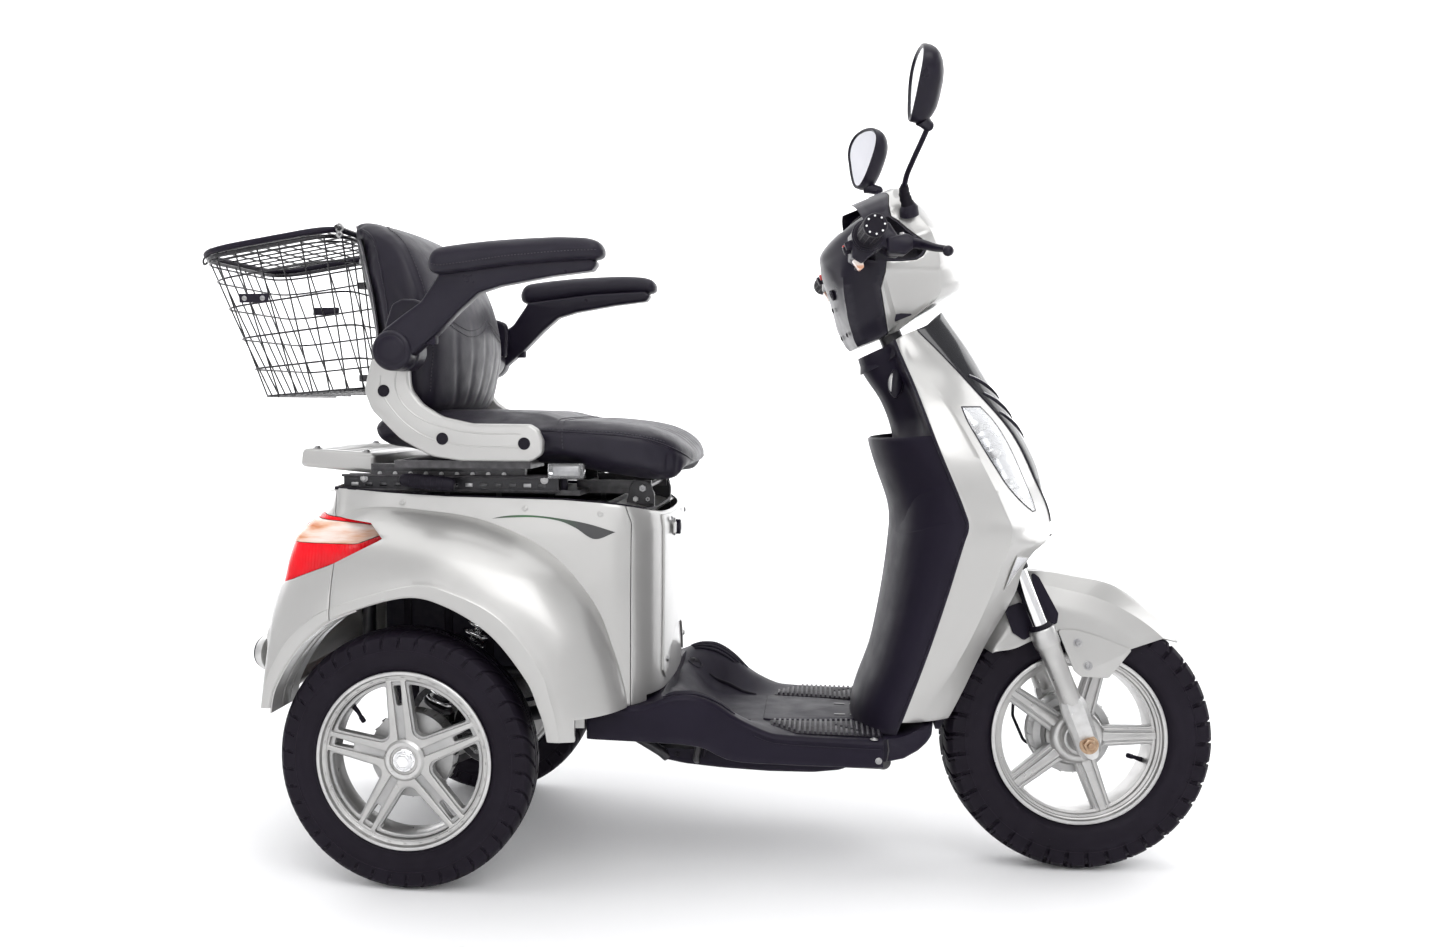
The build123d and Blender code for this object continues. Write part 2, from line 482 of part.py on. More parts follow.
# ---------------------------------------------------------------- seat base that tips forward on the hinge
lug = block(240, 364, 106, 112.5, 614, 636)
base = both(lug) - rod((TILT_X, -200, TILT_Z), (TILT_X, 200, TILT_Z), 5.06)
railL = block(-131, 227, 170, 202, 619, 647) - block(-160, 240, 176, 196, 625, 660)
base += both(railL)
base += block(222, 262, -202, 202, 616, 624) + block(-131, -110, -202, 202, 619, 625)
base += pipe([(-23, -196, 641), (-23, -234, 640), (20, -240, 636), (66, -238, 633)], 7, 9)
put("seat_base_frame", base)
shelf = prism_xz([(-219, 657), (-214, 687), (-94, 679), (-88, 675), (-88, 649), (-94, 647)], -172, 172)
shelf -= prism_xz([(-214, 640), (-214, 660), (-210, 682), (-96, 674), (-92, 671), (-92, 640)], -168, 168)
post = both(block(-131, -115, 60, 90, 625, 678))
put("luggage_shelf", shelf + post)

# ---------------------------------------------------------------- sliding seat
up = both(block(-87, 170, 177.5, 194.5, 633, 660)) + block(-32, 166, -150, 150, 664, 670)
up += both(block(-87, 170, 177.5, 194.5, 656, 664)) + both(block(-32, 170, 148, 194.5, 656, 664)) + both(block(-32, 190, 140, 242, 660, 672))
cushion = prism_xz([(-84, 690), (-84, 736), (-40, 746), (100, 745), (260, 737), (365, 730), (417, 706), (437, 679), (431, 657), (407, 642.5), (365, 650.5),
                    (260, 666), (200, 676), (-12, 676), (-24, 690)], -SEAT_HALF, SEAT_HALF)
backrest = prism_xz([(-144, 1040), (-128, 1058), (-97, 1064), (-30, 1030), (20, 975), (52, 900), (60, 864), (50, 794), (30, 748), (-76, 748), (-100, 780), (-104, 865), (-120, 950)], -SEAT_HALF, SEAT_HALF)
put("seat_pan", up)
put("seat_cushion", cushion)
put("seat_back", backrest)
BR = [(-64, 834), (-74, 783), (-62, 752), (-14, 705), (35, 678), (83, 673), (195, 673), (210, 682), (214, 701), (208, 720), (195, 729), (100, 730), (51, 741), (19, 760), (0, 786), (0, 821), (-8, 834)]
br = prism_xz(BR, 242, 266) + rod((ARM_X, 242, ARM_Z), (ARM_X, 284, ARM_Z), 31) + rod((ARM_X, 280, ARM_Z), (ARM_X, 322, ARM_Z), 8)
br += prism_xz([(-34, 884), (-24, 916), (-6, 925), (16, 923), (32, 912), (32, 860), (-32, 850)], 262, 280)
br -= prism_xz([(-100, 700), (300, 700), (300, 600), (-100, 600)], 200, 240)
put("seat_brackets", both(br))

# armrests: arm with a round knuckle on the pin, and the pad on top
AR = [(-40, 843), (-32, 866), (-18, 877), (36, 915), (63, 946), (80, 962), (306, 984), (312, 968), (298, 957), (161, 938), (126, 926), (60, 862), (23, 836), (8, 812), (-16, 810), (-34, 822)]
arm_l = prism_xz(AR, 287, 330) - rod((ARM_X, 250, ARM_Z), (ARM_X, 322.5, ARM_Z), 8.1)
pad_l = prism_xz([(48, 962), (48, 985), (63, 998), (120, 1006), (253, 1010), (308, 1004), (322, 992), (322, 986), (306, 984.6), (80.2, 962.6)], 290, 346)
for side, s in (("left", 1), ("right", -1)):
    a, p = arm_l, pad_l
    if s < 0:
        a, p = mirror(a, about=Plane.XZ), mirror(p, about=Plane.XZ)
    put("armrest_" + side, a)
    put("armrest_pad_" + side, p)

# wire basket behind the backrest, and its lid
bk_o = rings([[(-300, -134, 772), (-300, 134, 772), (-122, 138, 786), (-122, -138, 786)],
              [(-398, -176, 1004), (-398, 176, 1004), (-152, 180, 1042), (-152, -180, 1042)]])
bk_i = rings([[(-297, -131, 775.5), (-297, 131, 775.5), (-125, 135, 789.5), (-125, -135, 789.5)],
              [(-397.5, -173.5, 1009), (-397.5, 173.5, 1009), (-152.5, 177.5, 1047), (-152.5, -177.5, 1047)]])
basket = bk_o - bk_i
basket += (both(block(-155, -100, 40, 56, 800, 812)) + both(block(-155, -125, 40, 56, 960, 972))) - backrest
put("basket", basket)
lid_b = prism_xz([(-402, 1011), (-402, 1016), (-150, 1055), (-150, 1050)], -182, 182) & block(-402, -150, -182, 182, 900, 1100)
lid_b += rod((-150, -176, 1052), (-150, 176, 1052), 3.5)   # hinge rod
put("basket_lid", lid_b)

# ---------------------------------------------------------------- write the files
shift = Pos(-ORIGIN_X, 0, 0)
lo, hi = [1e9] * 3, [-1e9] * 3
for name, shape in NODES.items():
    shape = shift * shape
    bb = shape.bounding_box()
    for i, (a, b) in enumerate(((bb.min.X, bb.max.X), (bb.min.Y, bb.max.Y), (bb.min.Z, bb.max.Z))):
        lo[i], hi[i] = min(lo[i], a), max(hi[i], b)
    export_step(shape, "parts/" + name + ".step")
print(len(NODES), "nodes, box", [round(v, 1) for v in lo], [round(v, 1) for v in hi])
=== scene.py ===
import bpy
import bmesh
import math
import numpy as np
from mathutils import Matrix, Vector


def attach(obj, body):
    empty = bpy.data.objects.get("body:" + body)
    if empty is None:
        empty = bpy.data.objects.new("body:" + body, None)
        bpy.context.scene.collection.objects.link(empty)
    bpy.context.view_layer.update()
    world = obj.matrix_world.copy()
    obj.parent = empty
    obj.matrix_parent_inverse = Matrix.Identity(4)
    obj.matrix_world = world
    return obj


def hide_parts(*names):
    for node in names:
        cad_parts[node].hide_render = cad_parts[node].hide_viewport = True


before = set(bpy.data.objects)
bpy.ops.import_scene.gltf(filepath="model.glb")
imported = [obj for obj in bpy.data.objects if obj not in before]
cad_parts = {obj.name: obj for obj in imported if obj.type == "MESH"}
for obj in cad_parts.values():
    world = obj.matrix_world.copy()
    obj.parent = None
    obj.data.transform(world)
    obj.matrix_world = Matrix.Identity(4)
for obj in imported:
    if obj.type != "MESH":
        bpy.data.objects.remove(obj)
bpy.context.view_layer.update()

# ------------------------------------------------------------------ frames
# Pieces are drawn in millimetres in the vehicle frame (X = 0 at the rear axle) or in the
# steering frame (origin on the steering axis level with the front axle, Z up the axis).
RAKE, REST, OFFSET, WHEELBASE = 22.2, 7.0, 32.0, 1054.0
_r = math.radians(RAKE)
A0 = (WHEELBASE - OFFSET * math.cos(_r), 0.0, 215.0 - OFFSET * math.sin(_r))
VEH = Matrix.Scale(0.001, 4) @ Matrix.Translation((-433.0, 0, 0))
STR = VEH @ Matrix.Translation(A0) @ Matrix.Rotation(-_r, 4, "Y") @ Matrix.Rotation(math.radians(REST), 4, "Z")
RNG = np.random.default_rng(11)


def steer_pt(f, y, s):
    """A steering frame point (wheel straight) in the vehicle frame."""
    return (A0[0] + f * math.cos(_r) - s * math.sin(_r), y, A0[2] + f * math.sin(_r) + s * math.cos(_r))


# ------------------------------------------------------------------ mesh helpers
def spline(pts, n, closed=False):
    """Centripetal Catmull-Rom through the points, n samples evenly spaced in arc length."""
    P = np.asarray(pts, float)
    if closed:
        P = np.vstack([P[-1], P, P[0], P[1]])
    else:
        P = np.vstack([2 * P[0] - P[1], P, 2 * P[-1] - P[-2]])
    out = []
    for i in range(1, len(P) - 2):
        p0, p1, p2, p3 = P[i - 1:i + 3]
        t0 = 0.0
        t1 = t0 + max(np.linalg.norm(p1 - p0) ** 0.5, 1e-6)
        t2 = t1 + max(np.linalg.norm(p2 - p1) ** 0.5, 1e-6)
        t3 = t2 + max(np.linalg.norm(p3 - p2) ** 0.5, 1e-6)
        t = np.linspace(t1, t2, 24, endpoint=False)[:, None]
        a1 = (t1 - t) / (t1 - t0) * p0 + (t - t0) / (t1 - t0) * p1
        a2 = (t2 - t) / (t2 - t1) * p1 + (t - t1) / (t2 - t1) * p2
        a3 = (t3 - t) / (t3 - t2) * p2 + (t - t2) / (t3 - t2) * p3
        b1 = (t2 - t) / (t2 - t0) * a1 + (t - t0) / (t2 - t0) * a2
        b2 = (t3 - t) / (t3 - t1) * a2 + (t - t1) / (t3 - t1) * a3
        out.append((t2 - t) / (t2 - t1) * b1 + (t - t1) / (t2 - t1) * b2)
    out = np.vstack(out + [P[-2][None]])
    return even(out, n, closed)


def even(P, n, closed=False):
    """Resample a polyline to n points evenly spaced in length (the end point left out if closed)."""
    P = np.asarray(P, float)
    d = np.concatenate([[0], np.cumsum(np.linalg.norm(np.diff(P, axis=0), axis=1))])
    s = np.linspace(0, d[-1], n + 1)[:-1] if closed else np.linspace(0, d[-1], n)
    return np.stack([np.interp(s, d, P[:, k]) for k in range(P.shape[1])], -1)


def fillet(poly, r, n=5, closed=True):
    """Round the corners of a polyline with arcs of radius r (a number or one for each corner)."""
    P = np.asarray(poly, float)
    N = len(P)
    out = []
    for i in range(N):
        ri = r[i] if hasattr(r, "__len__") else r
        if (not closed and i in (0, N - 1)) or ri <= 0:
            out.append(P[i])
            continue
        a, b, c = P[i - 1], P[i], P[(i + 1) % N]
        u, v = a - b, c - b
        lu, lv = np.linalg.norm(u), np.linalg.norm(v)
        u, v = u / lu, v / lv
        ang = math.acos(max(-1, min(1, float(u @ v))))
        if ang > math.pi - 0.02 or ang < 0.02:
            out.append(b)
            continue
        t = min(ri / math.tan(ang / 2), 0.48 * lu, 0.48 * lv)
        rr = t * math.tan(ang / 2)
        bis = (u + v) / np.linalg.norm(u + v)
        cen = b + bis * (rr / math.sin(ang / 2))
        p, q = b + u * t - cen, b + v * t - cen
        om = math.acos(max(-1, min(1, float(p @ q) / (np.linalg.norm(p) * np.linalg.norm(q)))))
        for k in range(n + 1):
            s = k / n
            if om < 1e-5:
                w = p
            else:
                w = (math.sin((1 - s) * om) * p + math.sin(s * om) * q) / math.sin(om)
            out.append(cen + w)
    return np.array(out)


def table(rows, z):
    """Smooth look-up (monotone-ish cubic) in rows (z, a, b, ...)."""
    R = np.asarray(rows, float)
    x, Y = R[:, 0], R[:, 1:]
    if z <= x[0]:
        return Y[0].copy()
    if z >= x[-1]:
        return Y[-1].copy()
    i = int(np.searchsorted(x, z)) - 1
    h = x[i + 1] - x[i]
    t = (z - x[i]) / h

    def slope(j):
        if j == 0:
            return (Y[1] - Y[0]) / (x[1] - x[0])
        if j == len(x) - 1:
            return (Y[-1] - Y[-2]) / (x[-1] - x[-2])
        d0, d1 = (Y[j] - Y[j - 1]) / (x[j] - x[j - 1]), (Y[j + 1] - Y[j]) / (x[j + 1] - x[j])
        h0, h1 = x[j] - x[j - 1], x[j + 1] - x[j]
        return (d0 * h1 + d1 * h0) / (h0 + h1)
    m0, m1 = slope(i) * h, slope(i + 1) * h
    return (2 * t ** 3 - 3 * t ** 2 + 1) * Y[i] + (t ** 3 - 2 * t ** 2 + t) * m0 + (3 * t ** 2 - 2 * t ** 3) * Y[i + 1] + (t ** 3 - t ** 2) * m1


def frames(P, closed=False, up=None):
    """Tangents, normals and binormals along a polyline, turned as little as possible."""
    P = np.asarray(P, float)
    if closed:
        T = np.roll(P, -1, 0) - np.roll(P, 1, 0)
    else:
        T = np.gradient(P, axis=0)
    T /= np.linalg.norm(T, axis=1)[:, None]
    if up is not None:
        U = np.tile(np.asarray(up, float), (len(P), 1))
        Nn = U - (U * T).sum(1)[:, None] * T
        Nn /= np.linalg.norm(Nn, axis=1)[:, None]
        return T, Nn, np.cross(T, Nn)
    a = np.array([0, 0, 1.0]) if abs(T[0][2]) < 0.9 else np.array([1.0, 0, 0])
    n = a - (a @ T[0]) * T[0]
    n /= np.linalg.norm(n)
    Nn = [n]
    for i in range(1, len(P)):
        v = np.cross(T[i - 1], T[i])
        s, c = np.linalg.norm(v), float(T[i - 1] @ T[i])
        if s > 1e-9:
            v /= s
            ang = math.atan2(s, c)
            n = n * math.cos(ang) + np.cross(v, n) * math.sin(ang) + v * (v @ n) * (1 - math.cos(ang))
        n = n - (n @ T[i]) * T[i]
        n /= np.linalg.norm(n)
        Nn.append(n)
    Nn = np.array(Nn)
    if closed:
        B = np.cross(T, Nn)
        last, first = Nn[-1], Nn[0]
        ang = math.atan2(float(first @ np.cross(T[0], last)), float(first @ last))
        for i in range(len(P)):
            w = ang * i / len(P)
            Nn[i] = Nn[i] * math.cos(w) + B[i] * math.sin(w)
    return T, Nn, np.cross(T, Nn)


def plate2d(loops, t, bevel=1.0, res=2):
    """A flat plate with holes (even-odd) of thickness t with rounded edges, in XZ, centred on Y = 0."""
    cu = bpy.data.curves.new("tmp", "CURVE")
    cu.dimensions, cu.fill_mode = "2D", "BOTH"
    for loop in loops:
        sp = cu.splines.new("POLY")
        sp.points.add(len(loop) - 1)
        for p, q in zip(sp.points, loop):
            p.co = (q[0], q[1], 0, 1)
        sp.use_cyclic_u = True
    cu.extrude, cu.bevel_depth, cu.bevel_resolution, cu.offset = max(t / 2 - bevel, 1e-4), bevel, res, -bevel
    ob = bpy.data.objects.new("tmp", cu)
    bpy.context.scene.collection.objects.link(ob)
    me = bpy.data.meshes.new_from_object(ob.evaluated_get(bpy.context.evaluated_depsgraph_get()))
    bm = bmesh.new()
    bm.from_mesh(me)
    bmesh.ops.remove_doubles(bm, verts=bm.verts, dist=1e-4)
    vs = np.array([(v.co.x, v.co.z, v.co.y) for v in bm.verts])
    bm.verts.index_update()
    fs = [[v.index for v in f.verts] for f in bm.faces]
    bm.free()
    bpy.data.objects.remove(ob)
    bpy.data.meshes.remove(me)
    return vs, fs


def circle(cx, cz, r, n=32):
    return [(cx + r * math.cos(2 * math.pi * k / n), cz + r * math.sin(2 * math.pi * k / n)) for k in range(n)]


def mirror_y(P):
    P = np.array(P, float)
    P[:, 1] *= -1
    return P


class Part:
    """Collects surfaces into one mesh object."""

    def __init__(self, name, body, M=VEH):
        self.name, self.body, self.M = name, body, M
        self.v, self.f, self.m, self.mats = [], [], [], []

    def _mat(self, mat):
        if mat not in self.mats:
            self.mats.append(mat)
        return self.mats.index(mat)

    def add(self, verts, faces, mat, M=None):
        base = sum(len(a) for a in self.v)
        V = np.asarray(verts, float)
        if M is not None:
            A = np.array(M)
            V = V @ A[:3, :3].T + A[:3, 3]
        self.v.append(V)
        self.f += [[i + base for i in f] for f in faces]
        self.m += [self._mat(mat)] * len(faces)
        return self

    def both(self, verts, faces, mat, M=None):
        V = np.asarray(verts, float)
        if M is not None:
            A = np.array(M)
            V = V @ A[:3, :3].T + A[:3, 3]
        self.add(V, faces, mat)
        self.add(mirror_y(V), [f[::-1] for f in faces], mat)
        return self

    def grid(self, P, mat, close_r=False, close_c=False, cap=False, M=None, sides=1):
        P = np.asarray(P, float)
        nr, nc = P.shape[:2]
        F = []
        for i in range(nr - (0 if close_r else 1)):
            for j in range(nc - (0 if close_c else 1)):
                a, b = i * nc + j, i * nc + (j + 1) % nc
                c, d = ((i + 1) % nr) * nc + (j + 1) % nc, ((i + 1) % nr) * nc + j
                F.append([a, b, c, d])
        if cap and close_c:
            F.append(list(range(nc))[::-1])
            F.append([(nr - 1) * nc + j for j in range(nc)])
        V = P.reshape(-1, 3)
        if sides == 2:
            return self.both(V, F, mat, M)
        return self.add(V, F, mat, M)

    def tube(self, pts, r, mat, seg=10, closed=False, cap=True, M=None, sides=1, flat=None, up=None):
        P = np.asarray(pts, float)
        T, N, B = frames(P, closed, up)
        R = np.full(len(P), float(r)) if not hasattr(r, "__len__") else np.asarray(r, float)
        a = np.arange(seg) * 2 * math.pi / seg
        w = 1.0 if flat is None else flat
        ring = R[:, None, None] * (N[:, None, :] * np.cos(a)[None, :, None] + w * B[:, None, :] * np.sin(a)[None, :, None])
        G = P[:, None, :] + ring
        return self.grid(G, mat, close_r=closed, close_c=True, cap=cap and not closed, M=M, sides=sides)

    def revolve(self, prof, mat, seg=64, closed=False, M=None, sides=1, cap=False):
        """Turn (y, r) points about the Y axis."""
        a = np.arange(seg) * 2 * math.pi / seg
        P = np.array([[(r * math.cos(t), y, r * math.sin(t)) for t in a] for y, r in prof])
        return self.grid(P, mat, close_r=closed, close_c=True, M=M, sides=sides, cap=cap)

    def plate(self, loops, t, mat, bevel=1.0, res=2, y=0.0, M=None, sides=1):
        V, F = plate2d(loops, t, bevel, res)
        V[:, 1] += y
        if sides == 2:
            return self.both(V, F, mat, M)
        return self.add(V, F, mat, M)

    def ball(self, c, r, mat, seg=16, M=None, sides=1, scale=(1, 1, 1)):
        rows = []
        for i in range(1, seg // 2):
            t = math.pi * i / (seg // 2)
            rows.append([(c[0] + scale[0] * r * math.sin(t) * math.cos(p), c[1] + scale[1] * r * math.sin(t) * math.sin(p), c[2] + scale[2] * r * math.cos(t))
                         for p in np.arange(seg) * 2 * math.pi / seg])
        return self.grid(rows, mat, close_c=True, cap=True, M=M, sides=sides)

    def box(self, x0, x1, y0, y1, z0, z1, mat, bevel=1.0, M=None, sides=1):
        bm = bmesh.new()
        bmesh.ops.create_cube(bm, size=1.0)
        for v in bm.verts:
            v.co = Vector(((x0 + x1) / 2 + v.co.x * (x1 - x0), (y0 + y1) / 2 + v.co.y * (y1 - y0), (z0 + z1) / 2 + v.co.z * (z1 - z0)))
        if bevel:
            bmesh.ops.bevel(bm, geom=bm.edges[:], offset=bevel, segments=2, affect="EDGES", profile=0.5)
        bm.verts.index_update()
        V, F = [tuple(v.co) for v in bm.verts], [[v.index for v in f.verts] for f in bm.faces]
        bm.free()
        return self.both(V, F, mat, M) if sides == 2 else self.add(V, F, mat, M)

    def bolt(self, p, direction, r, mat, h=4.0, hexed=True, M=None, sides=1):
        """Bolt head with a washer at p, pointing along direction."""
        d = Vector(direction).normalized()
        q = Vector((0, 1, 0)).rotation_difference(d).to_matrix().to_4x4()
        T = Matrix.Translation(p) @ q
        if M is not None:
            T = M @ T
        self.revolve([(0, 0.01), (0, r * 1.45), (1.0, r * 1.45), (1.2, r * 1.35), (1.2, 0.01)], mat, 24, M=T, sides=sides)
        seg = 6 if hexed else 20
        self.revolve([(1.1, 0.01), (1.1, r), (h - 0.7, r), (h, r * 0.86), (h, r * 0.45), (h - 1.2, r * 0.36), (h - 1.2, 0.01)], mat, seg, M=T, sides=sides)
        return self

    def build(self, angle=32, merge=1e-4, bevel=None, solid=None, sub=0, slot=None, weld=True, replaces=(), inside=None):
        V = np.vstack(self.v)
        A = np.array(self.M)
        V = V @ A[:3, :3].T + A[:3, 3]
        me = bpy.data.meshes.new(self.name)
        me.from_pydata(V.tolist(), [], self.f)
        me.polygons.foreach_set("material_index", self.m)
        bm = bmesh.new()
        bm.from_mesh(me)
        if weld:
            bmesh.ops.remove_doubles(bm, verts=bm.verts, dist=merge * 0.1)
        bmesh.ops.dissolve_degenerate(bm, edges=bm.edges[:], dist=1e-7)
        bmesh.ops.recalc_face_normals(bm, faces=bm.faces)
        if inside is not None:
            ref = self.M @ Vector(inside)
            if sum(f.calc_area() * (f.calc_center_median() - ref).dot(f.normal) for f in bm.faces) < 0:
                bmesh.ops.reverse_faces(bm, faces=bm.faces)
        bm.to_mesh(me)
        bm.free()
        ob = bpy.data.objects.new(self.name, me)
        bpy.context.scene.collection.objects.link(ob)
        for m in self.mats:
            me.materials.append(m)
        mods = []
        if solid:
            md = ob.modifiers.new("solid", "SOLIDIFY")
            md.thickness, md.offset, md.use_even_offset = solid / 1000.0, -1, True
            mods.append(md)
        if bevel:
            md = ob.modifiers.new("bevel", "BEVEL")
            md.width, md.segments, md.limit_method, md.angle_limit = bevel / 1000.0, 2, "ANGLE", math.radians(38)
            md.harden_normals = False
            mods.append(md)
        if sub:
            md = ob.modifiers.new("sub", "SUBSURF")
            md.levels = md.render_levels = sub
            mods.append(md)
        if mods:
            settle(ob)
        shade(ob, angle)
        if self.body:
            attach(ob, self.body)
        if replaces:
            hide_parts(*replaces)
        return ob


def settle(ob):
    """Apply every modifier."""
    dg = bpy.context.evaluated_depsgraph_get()
    dg.update()
    me = bpy.data.meshes.new_from_object(ob.evaluated_get(dg))
    old = ob.data
    ob.modifiers.clear()
    ob.data = me
    me.name = ob.name
    if old.users == 0:
        bpy.data.meshes.remove(old)
    return ob


def shade(ob, angle=32):
    me = ob.data
    me.polygons.foreach_set("use_smooth", [True] * len(me.polygons))
    me.set_sharp_from_angle(angle=math.radians(angle))
    me.update()


def cut(ob, tool, keep_tool=False, mode="DIFFERENCE"):
    """Boolean between two objects, applied."""
    md = ob.modifiers.new("cut", "BOOLEAN")
    md.operation, md.object, md.solver = mode, tool, "EXACT"
    settle(ob)
    if not keep_tool:
        me = tool.data
        bpy.data.objects.remove(tool)
        bpy.data.meshes.remove(me)
    return ob


def prism(name, pts, y0, y1, mat, M=VEH):
    """Closed solid from an (x, z) outline, as a cutting tool."""
    n = len(pts)
    V = [(x, y0, z) for x, z in pts] + [(x, y1, z) for x, z in pts]
    F = [list(range(n)), list(range(2 * n - 1, n - 1, -1))] + [[i, i + n, (i + 1) % n + n, (i + 1) % n] for i in range(n)]
    p = Part(name, None, M)
    p.add(V, F, mat)
    return p.build(angle=30)


def join(name, obs, body, replaces=(), angle=32):
    """One object from several with the same frame."""
    me = bpy.data.meshes.new(name)
    bm = bmesh.new()
    mats = []
    for ob in obs:
        idx = []
        for m in ob.data.materials:
            if m not in mats:
                mats.append(m)
            idx.append(mats.index(m))
        tmp = ob.data.copy()
        old = np.zeros(len(tmp.polygons), dtype=np.int32)
        tmp.polygons.foreach_get("material_index", old)
        tmp.polygons.foreach_set("material_index", [idx[min(i, len(idx) - 1)] for i in old])
        bm.from_mesh(tmp)
        bpy.data.meshes.remove(tmp)
    bm.to_mesh(me)
    bm.free()
    for ob in obs:
        m0 = ob.data
        bpy.data.objects.remove(ob)
        if m0.users == 0:
            bpy.data.meshes.remove(m0)
    for m in mats:
        me.materials.append(m)
    ob = bpy.data.objects.new(name, me)
    bpy.context.scene.collection.objects.link(ob)
    shade(ob, angle)
    if body:
        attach(ob, body)
    if replaces:
        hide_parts(*replaces)
    return ob


# ------------------------------------------------------------------ materials
def new_mat(name):
    m = bpy.data.materials.new(name)
    m.use_nodes = True
    nt = m.node_tree
    return m, nt, nt.nodes["Principled BSDF"]


def tex(nt, kind, scale, detail=4.0, stretch=None, rough=0.5):
    tc = nt.nodes.new("ShaderNodeTexCoord")
    src = tc.outputs["Object"]
    if stretch:
        mp = nt.nodes.new("ShaderNodeMapping")
        mp.inputs["Scale"].default_value = stretch
        nt.links.new(src, mp.inputs["Vector"])
        src = mp.outputs["Vector"]
    if kind == "noise":
        t = nt.nodes.new("ShaderNodeTexNoise")
        t.inputs["Detail"].default_value = detail
        t.inputs["Roughness"].default_value = rough
    elif kind == "voronoi":
        t = nt.nodes.new("ShaderNodeTexVoronoi")
    elif kind == "cells":
        t = nt.nodes.new("ShaderNodeTexVoronoi")
        t.feature = "DISTANCE_TO_EDGE"
    elif kind == "wave":
        t = nt.nodes.new("ShaderNodeTexWave")
    t.inputs["Scale"].default_value = scale
    nt.links.new(src, t.inputs["Vector"])
    return t.outputs["Distance"] if kind in ("voronoi", "cells") else t.outputs["Fac"]


def ramp(nt, fac, stops):
    r = nt.nodes.new("ShaderNodeValToRGB")
    while len(r.color_ramp.elements) < len(stops):
        r.color_ramp.elements.new(0.5)
    for e, (p, c) in zip(r.color_ramp.elements, stops):
        e.position = p
        e.color = (c[0], c[1], c[2], 1)
    nt.links.new(fac, r.inputs["Fac"])
    return r.outputs["Color"]


def span(nt, fac, lo, hi, a=0.3, b=0.7):
    m = nt.nodes.new("ShaderNodeMapRange")
    m.inputs["From Min"].default_value, m.inputs["From Max"].default_value = a, b
    m.inputs["To Min"].default_value, m.inputs["To Max"].default_value = lo, hi
    nt.links.new(fac, m.inputs["Value"])
    return m.outputs["Result"]


def bump(nt, bsdf, height, strength, dist, chain=None):
    b = nt.nodes.new("ShaderNodeBump")
    b.inputs["Strength"].default_value = strength
    b.inputs["Distance"].default_value = dist
    nt.links.new(height, b.inputs["Height"])
    if chain is not None:
        nt.links.new(chain.outputs["Normal"], b.inputs["Normal"])
    nt.links.new(b.outputs["Normal"], bsdf.inputs["Normal"])
    return b


def finish_mat(name, dark, light, rough, metal=0.0, coat=0.0, coat_rough=0.1, vary=6.0, grain=None, grain2=None, rough_var=0.06, spec=0.5, sheen=0.0, wear=None):
    """A surface with slow colour variation, uneven gloss and one or two bump layers.
    grain = (kind, scale, strength, distance[, stretch])"""
    m, nt, b = new_mat(name)
    slow = tex(nt, "noise", vary, 5.0)
    col = ramp(nt, slow, [(0.3, dark), (0.7, light)])
    if wear:
        geo = nt.nodes.new("ShaderNodeNewGeometry")
        edge = nt.nodes.new("ShaderNodeMapRange")
        edge.inputs["From Min"].default_value, edge.inputs["From Max"].default_value = 0.52, 0.60
        nt.links.new(geo.outputs["Pointiness"], edge.inputs["Value"])
        mul = nt.nodes.new("ShaderNodeMath")
        mul.operation = "MULTIPLY"
        nt.links.new(edge.outputs["Result"], mul.inputs[0])
        nt.links.new(tex(nt, "noise", 90.0, 6.0), mul.inputs[1])
        mx = nt.nodes.new("ShaderNodeMix")
        mx.data_type = "RGBA"
        nt.links.new(mul.outputs["Value"], mx.inputs["Factor"])
        nt.links.new(col, mx.inputs["A"])
        mx.inputs["B"].default_value = (wear[0], wear[1], wear[2], 1)
        col = mx.outputs["Result"]
    nt.links.new(col, b.inputs["Base Color"])
    nt.links.new(span(nt, tex(nt, "noise", vary * 5, 6.0), rough - rough_var, rough + rough_var), b.inputs["Roughness"])
    b.inputs["Metallic"].default_value = metal
    b.inputs["Coat Weight"].default_value = coat
    b.inputs["Coat Roughness"].default_value = coat_rough
    b.inputs["Specular IOR Level"].default_value = spec
    if sheen:
        b.inputs["Sheen Weight"].default_value = sheen
        b.inputs["Sheen Roughness"].default_value = 0.4
    ch = None
    for g in (grain, grain2):
        if g:
            h = tex(nt, g[0], g[1], 5.0, g[4] if len(g) > 4 else None)
            ch = bump(nt, b, h, g[2], g[3], ch)
    return m


SILVER = finish_mat("silver_lacquer", (0.415, 0.41, 0.40), (0.455, 0.45, 0.44), 0.34, metal=0.55, coat=0.5, coat_rough=0.09, vary=3.0,
                    grain=("noise", 2600.0, 0.035, 0.0003), grain2=("noise", 16.0, 0.012, 0.002), rough_var=0.03)
PLASTIC = finish_mat("black_grained_plastic", (0.0072, 0.0050, 0.0125), (0.0105, 0.0078, 0.0168), 0.50, vary=5.0, spec=0.14,
                     grain=("voronoi", 900.0, 0.10, 0.0004), grain2=("noise", 30.0, 0.02, 0.002), wear=(0.03, 0.028, 0.036))
GLOSS = finish_mat("black_gloss_lacquer", (0.0045, 0.0045, 0.0070), (0.0065, 0.0062, 0.0090), 0.16, coat=0.55, coat_rough=0.04, vary=4.0, spec=0.35,
                   grain=("noise", 22.0, 0.012, 0.002), rough_var=0.03)
SATIN = finish_mat("black_satin_plastic", (0.0066, 0.0047, 0.0112), (0.0098, 0.0074, 0.0158), 0.33, coat=0.05, coat_rough=0.25, vary=6.0, spec=0.20,
                   grain=("noise", 1400.0, 0.05, 0.0003), wear=(0.03, 0.028, 0.036))
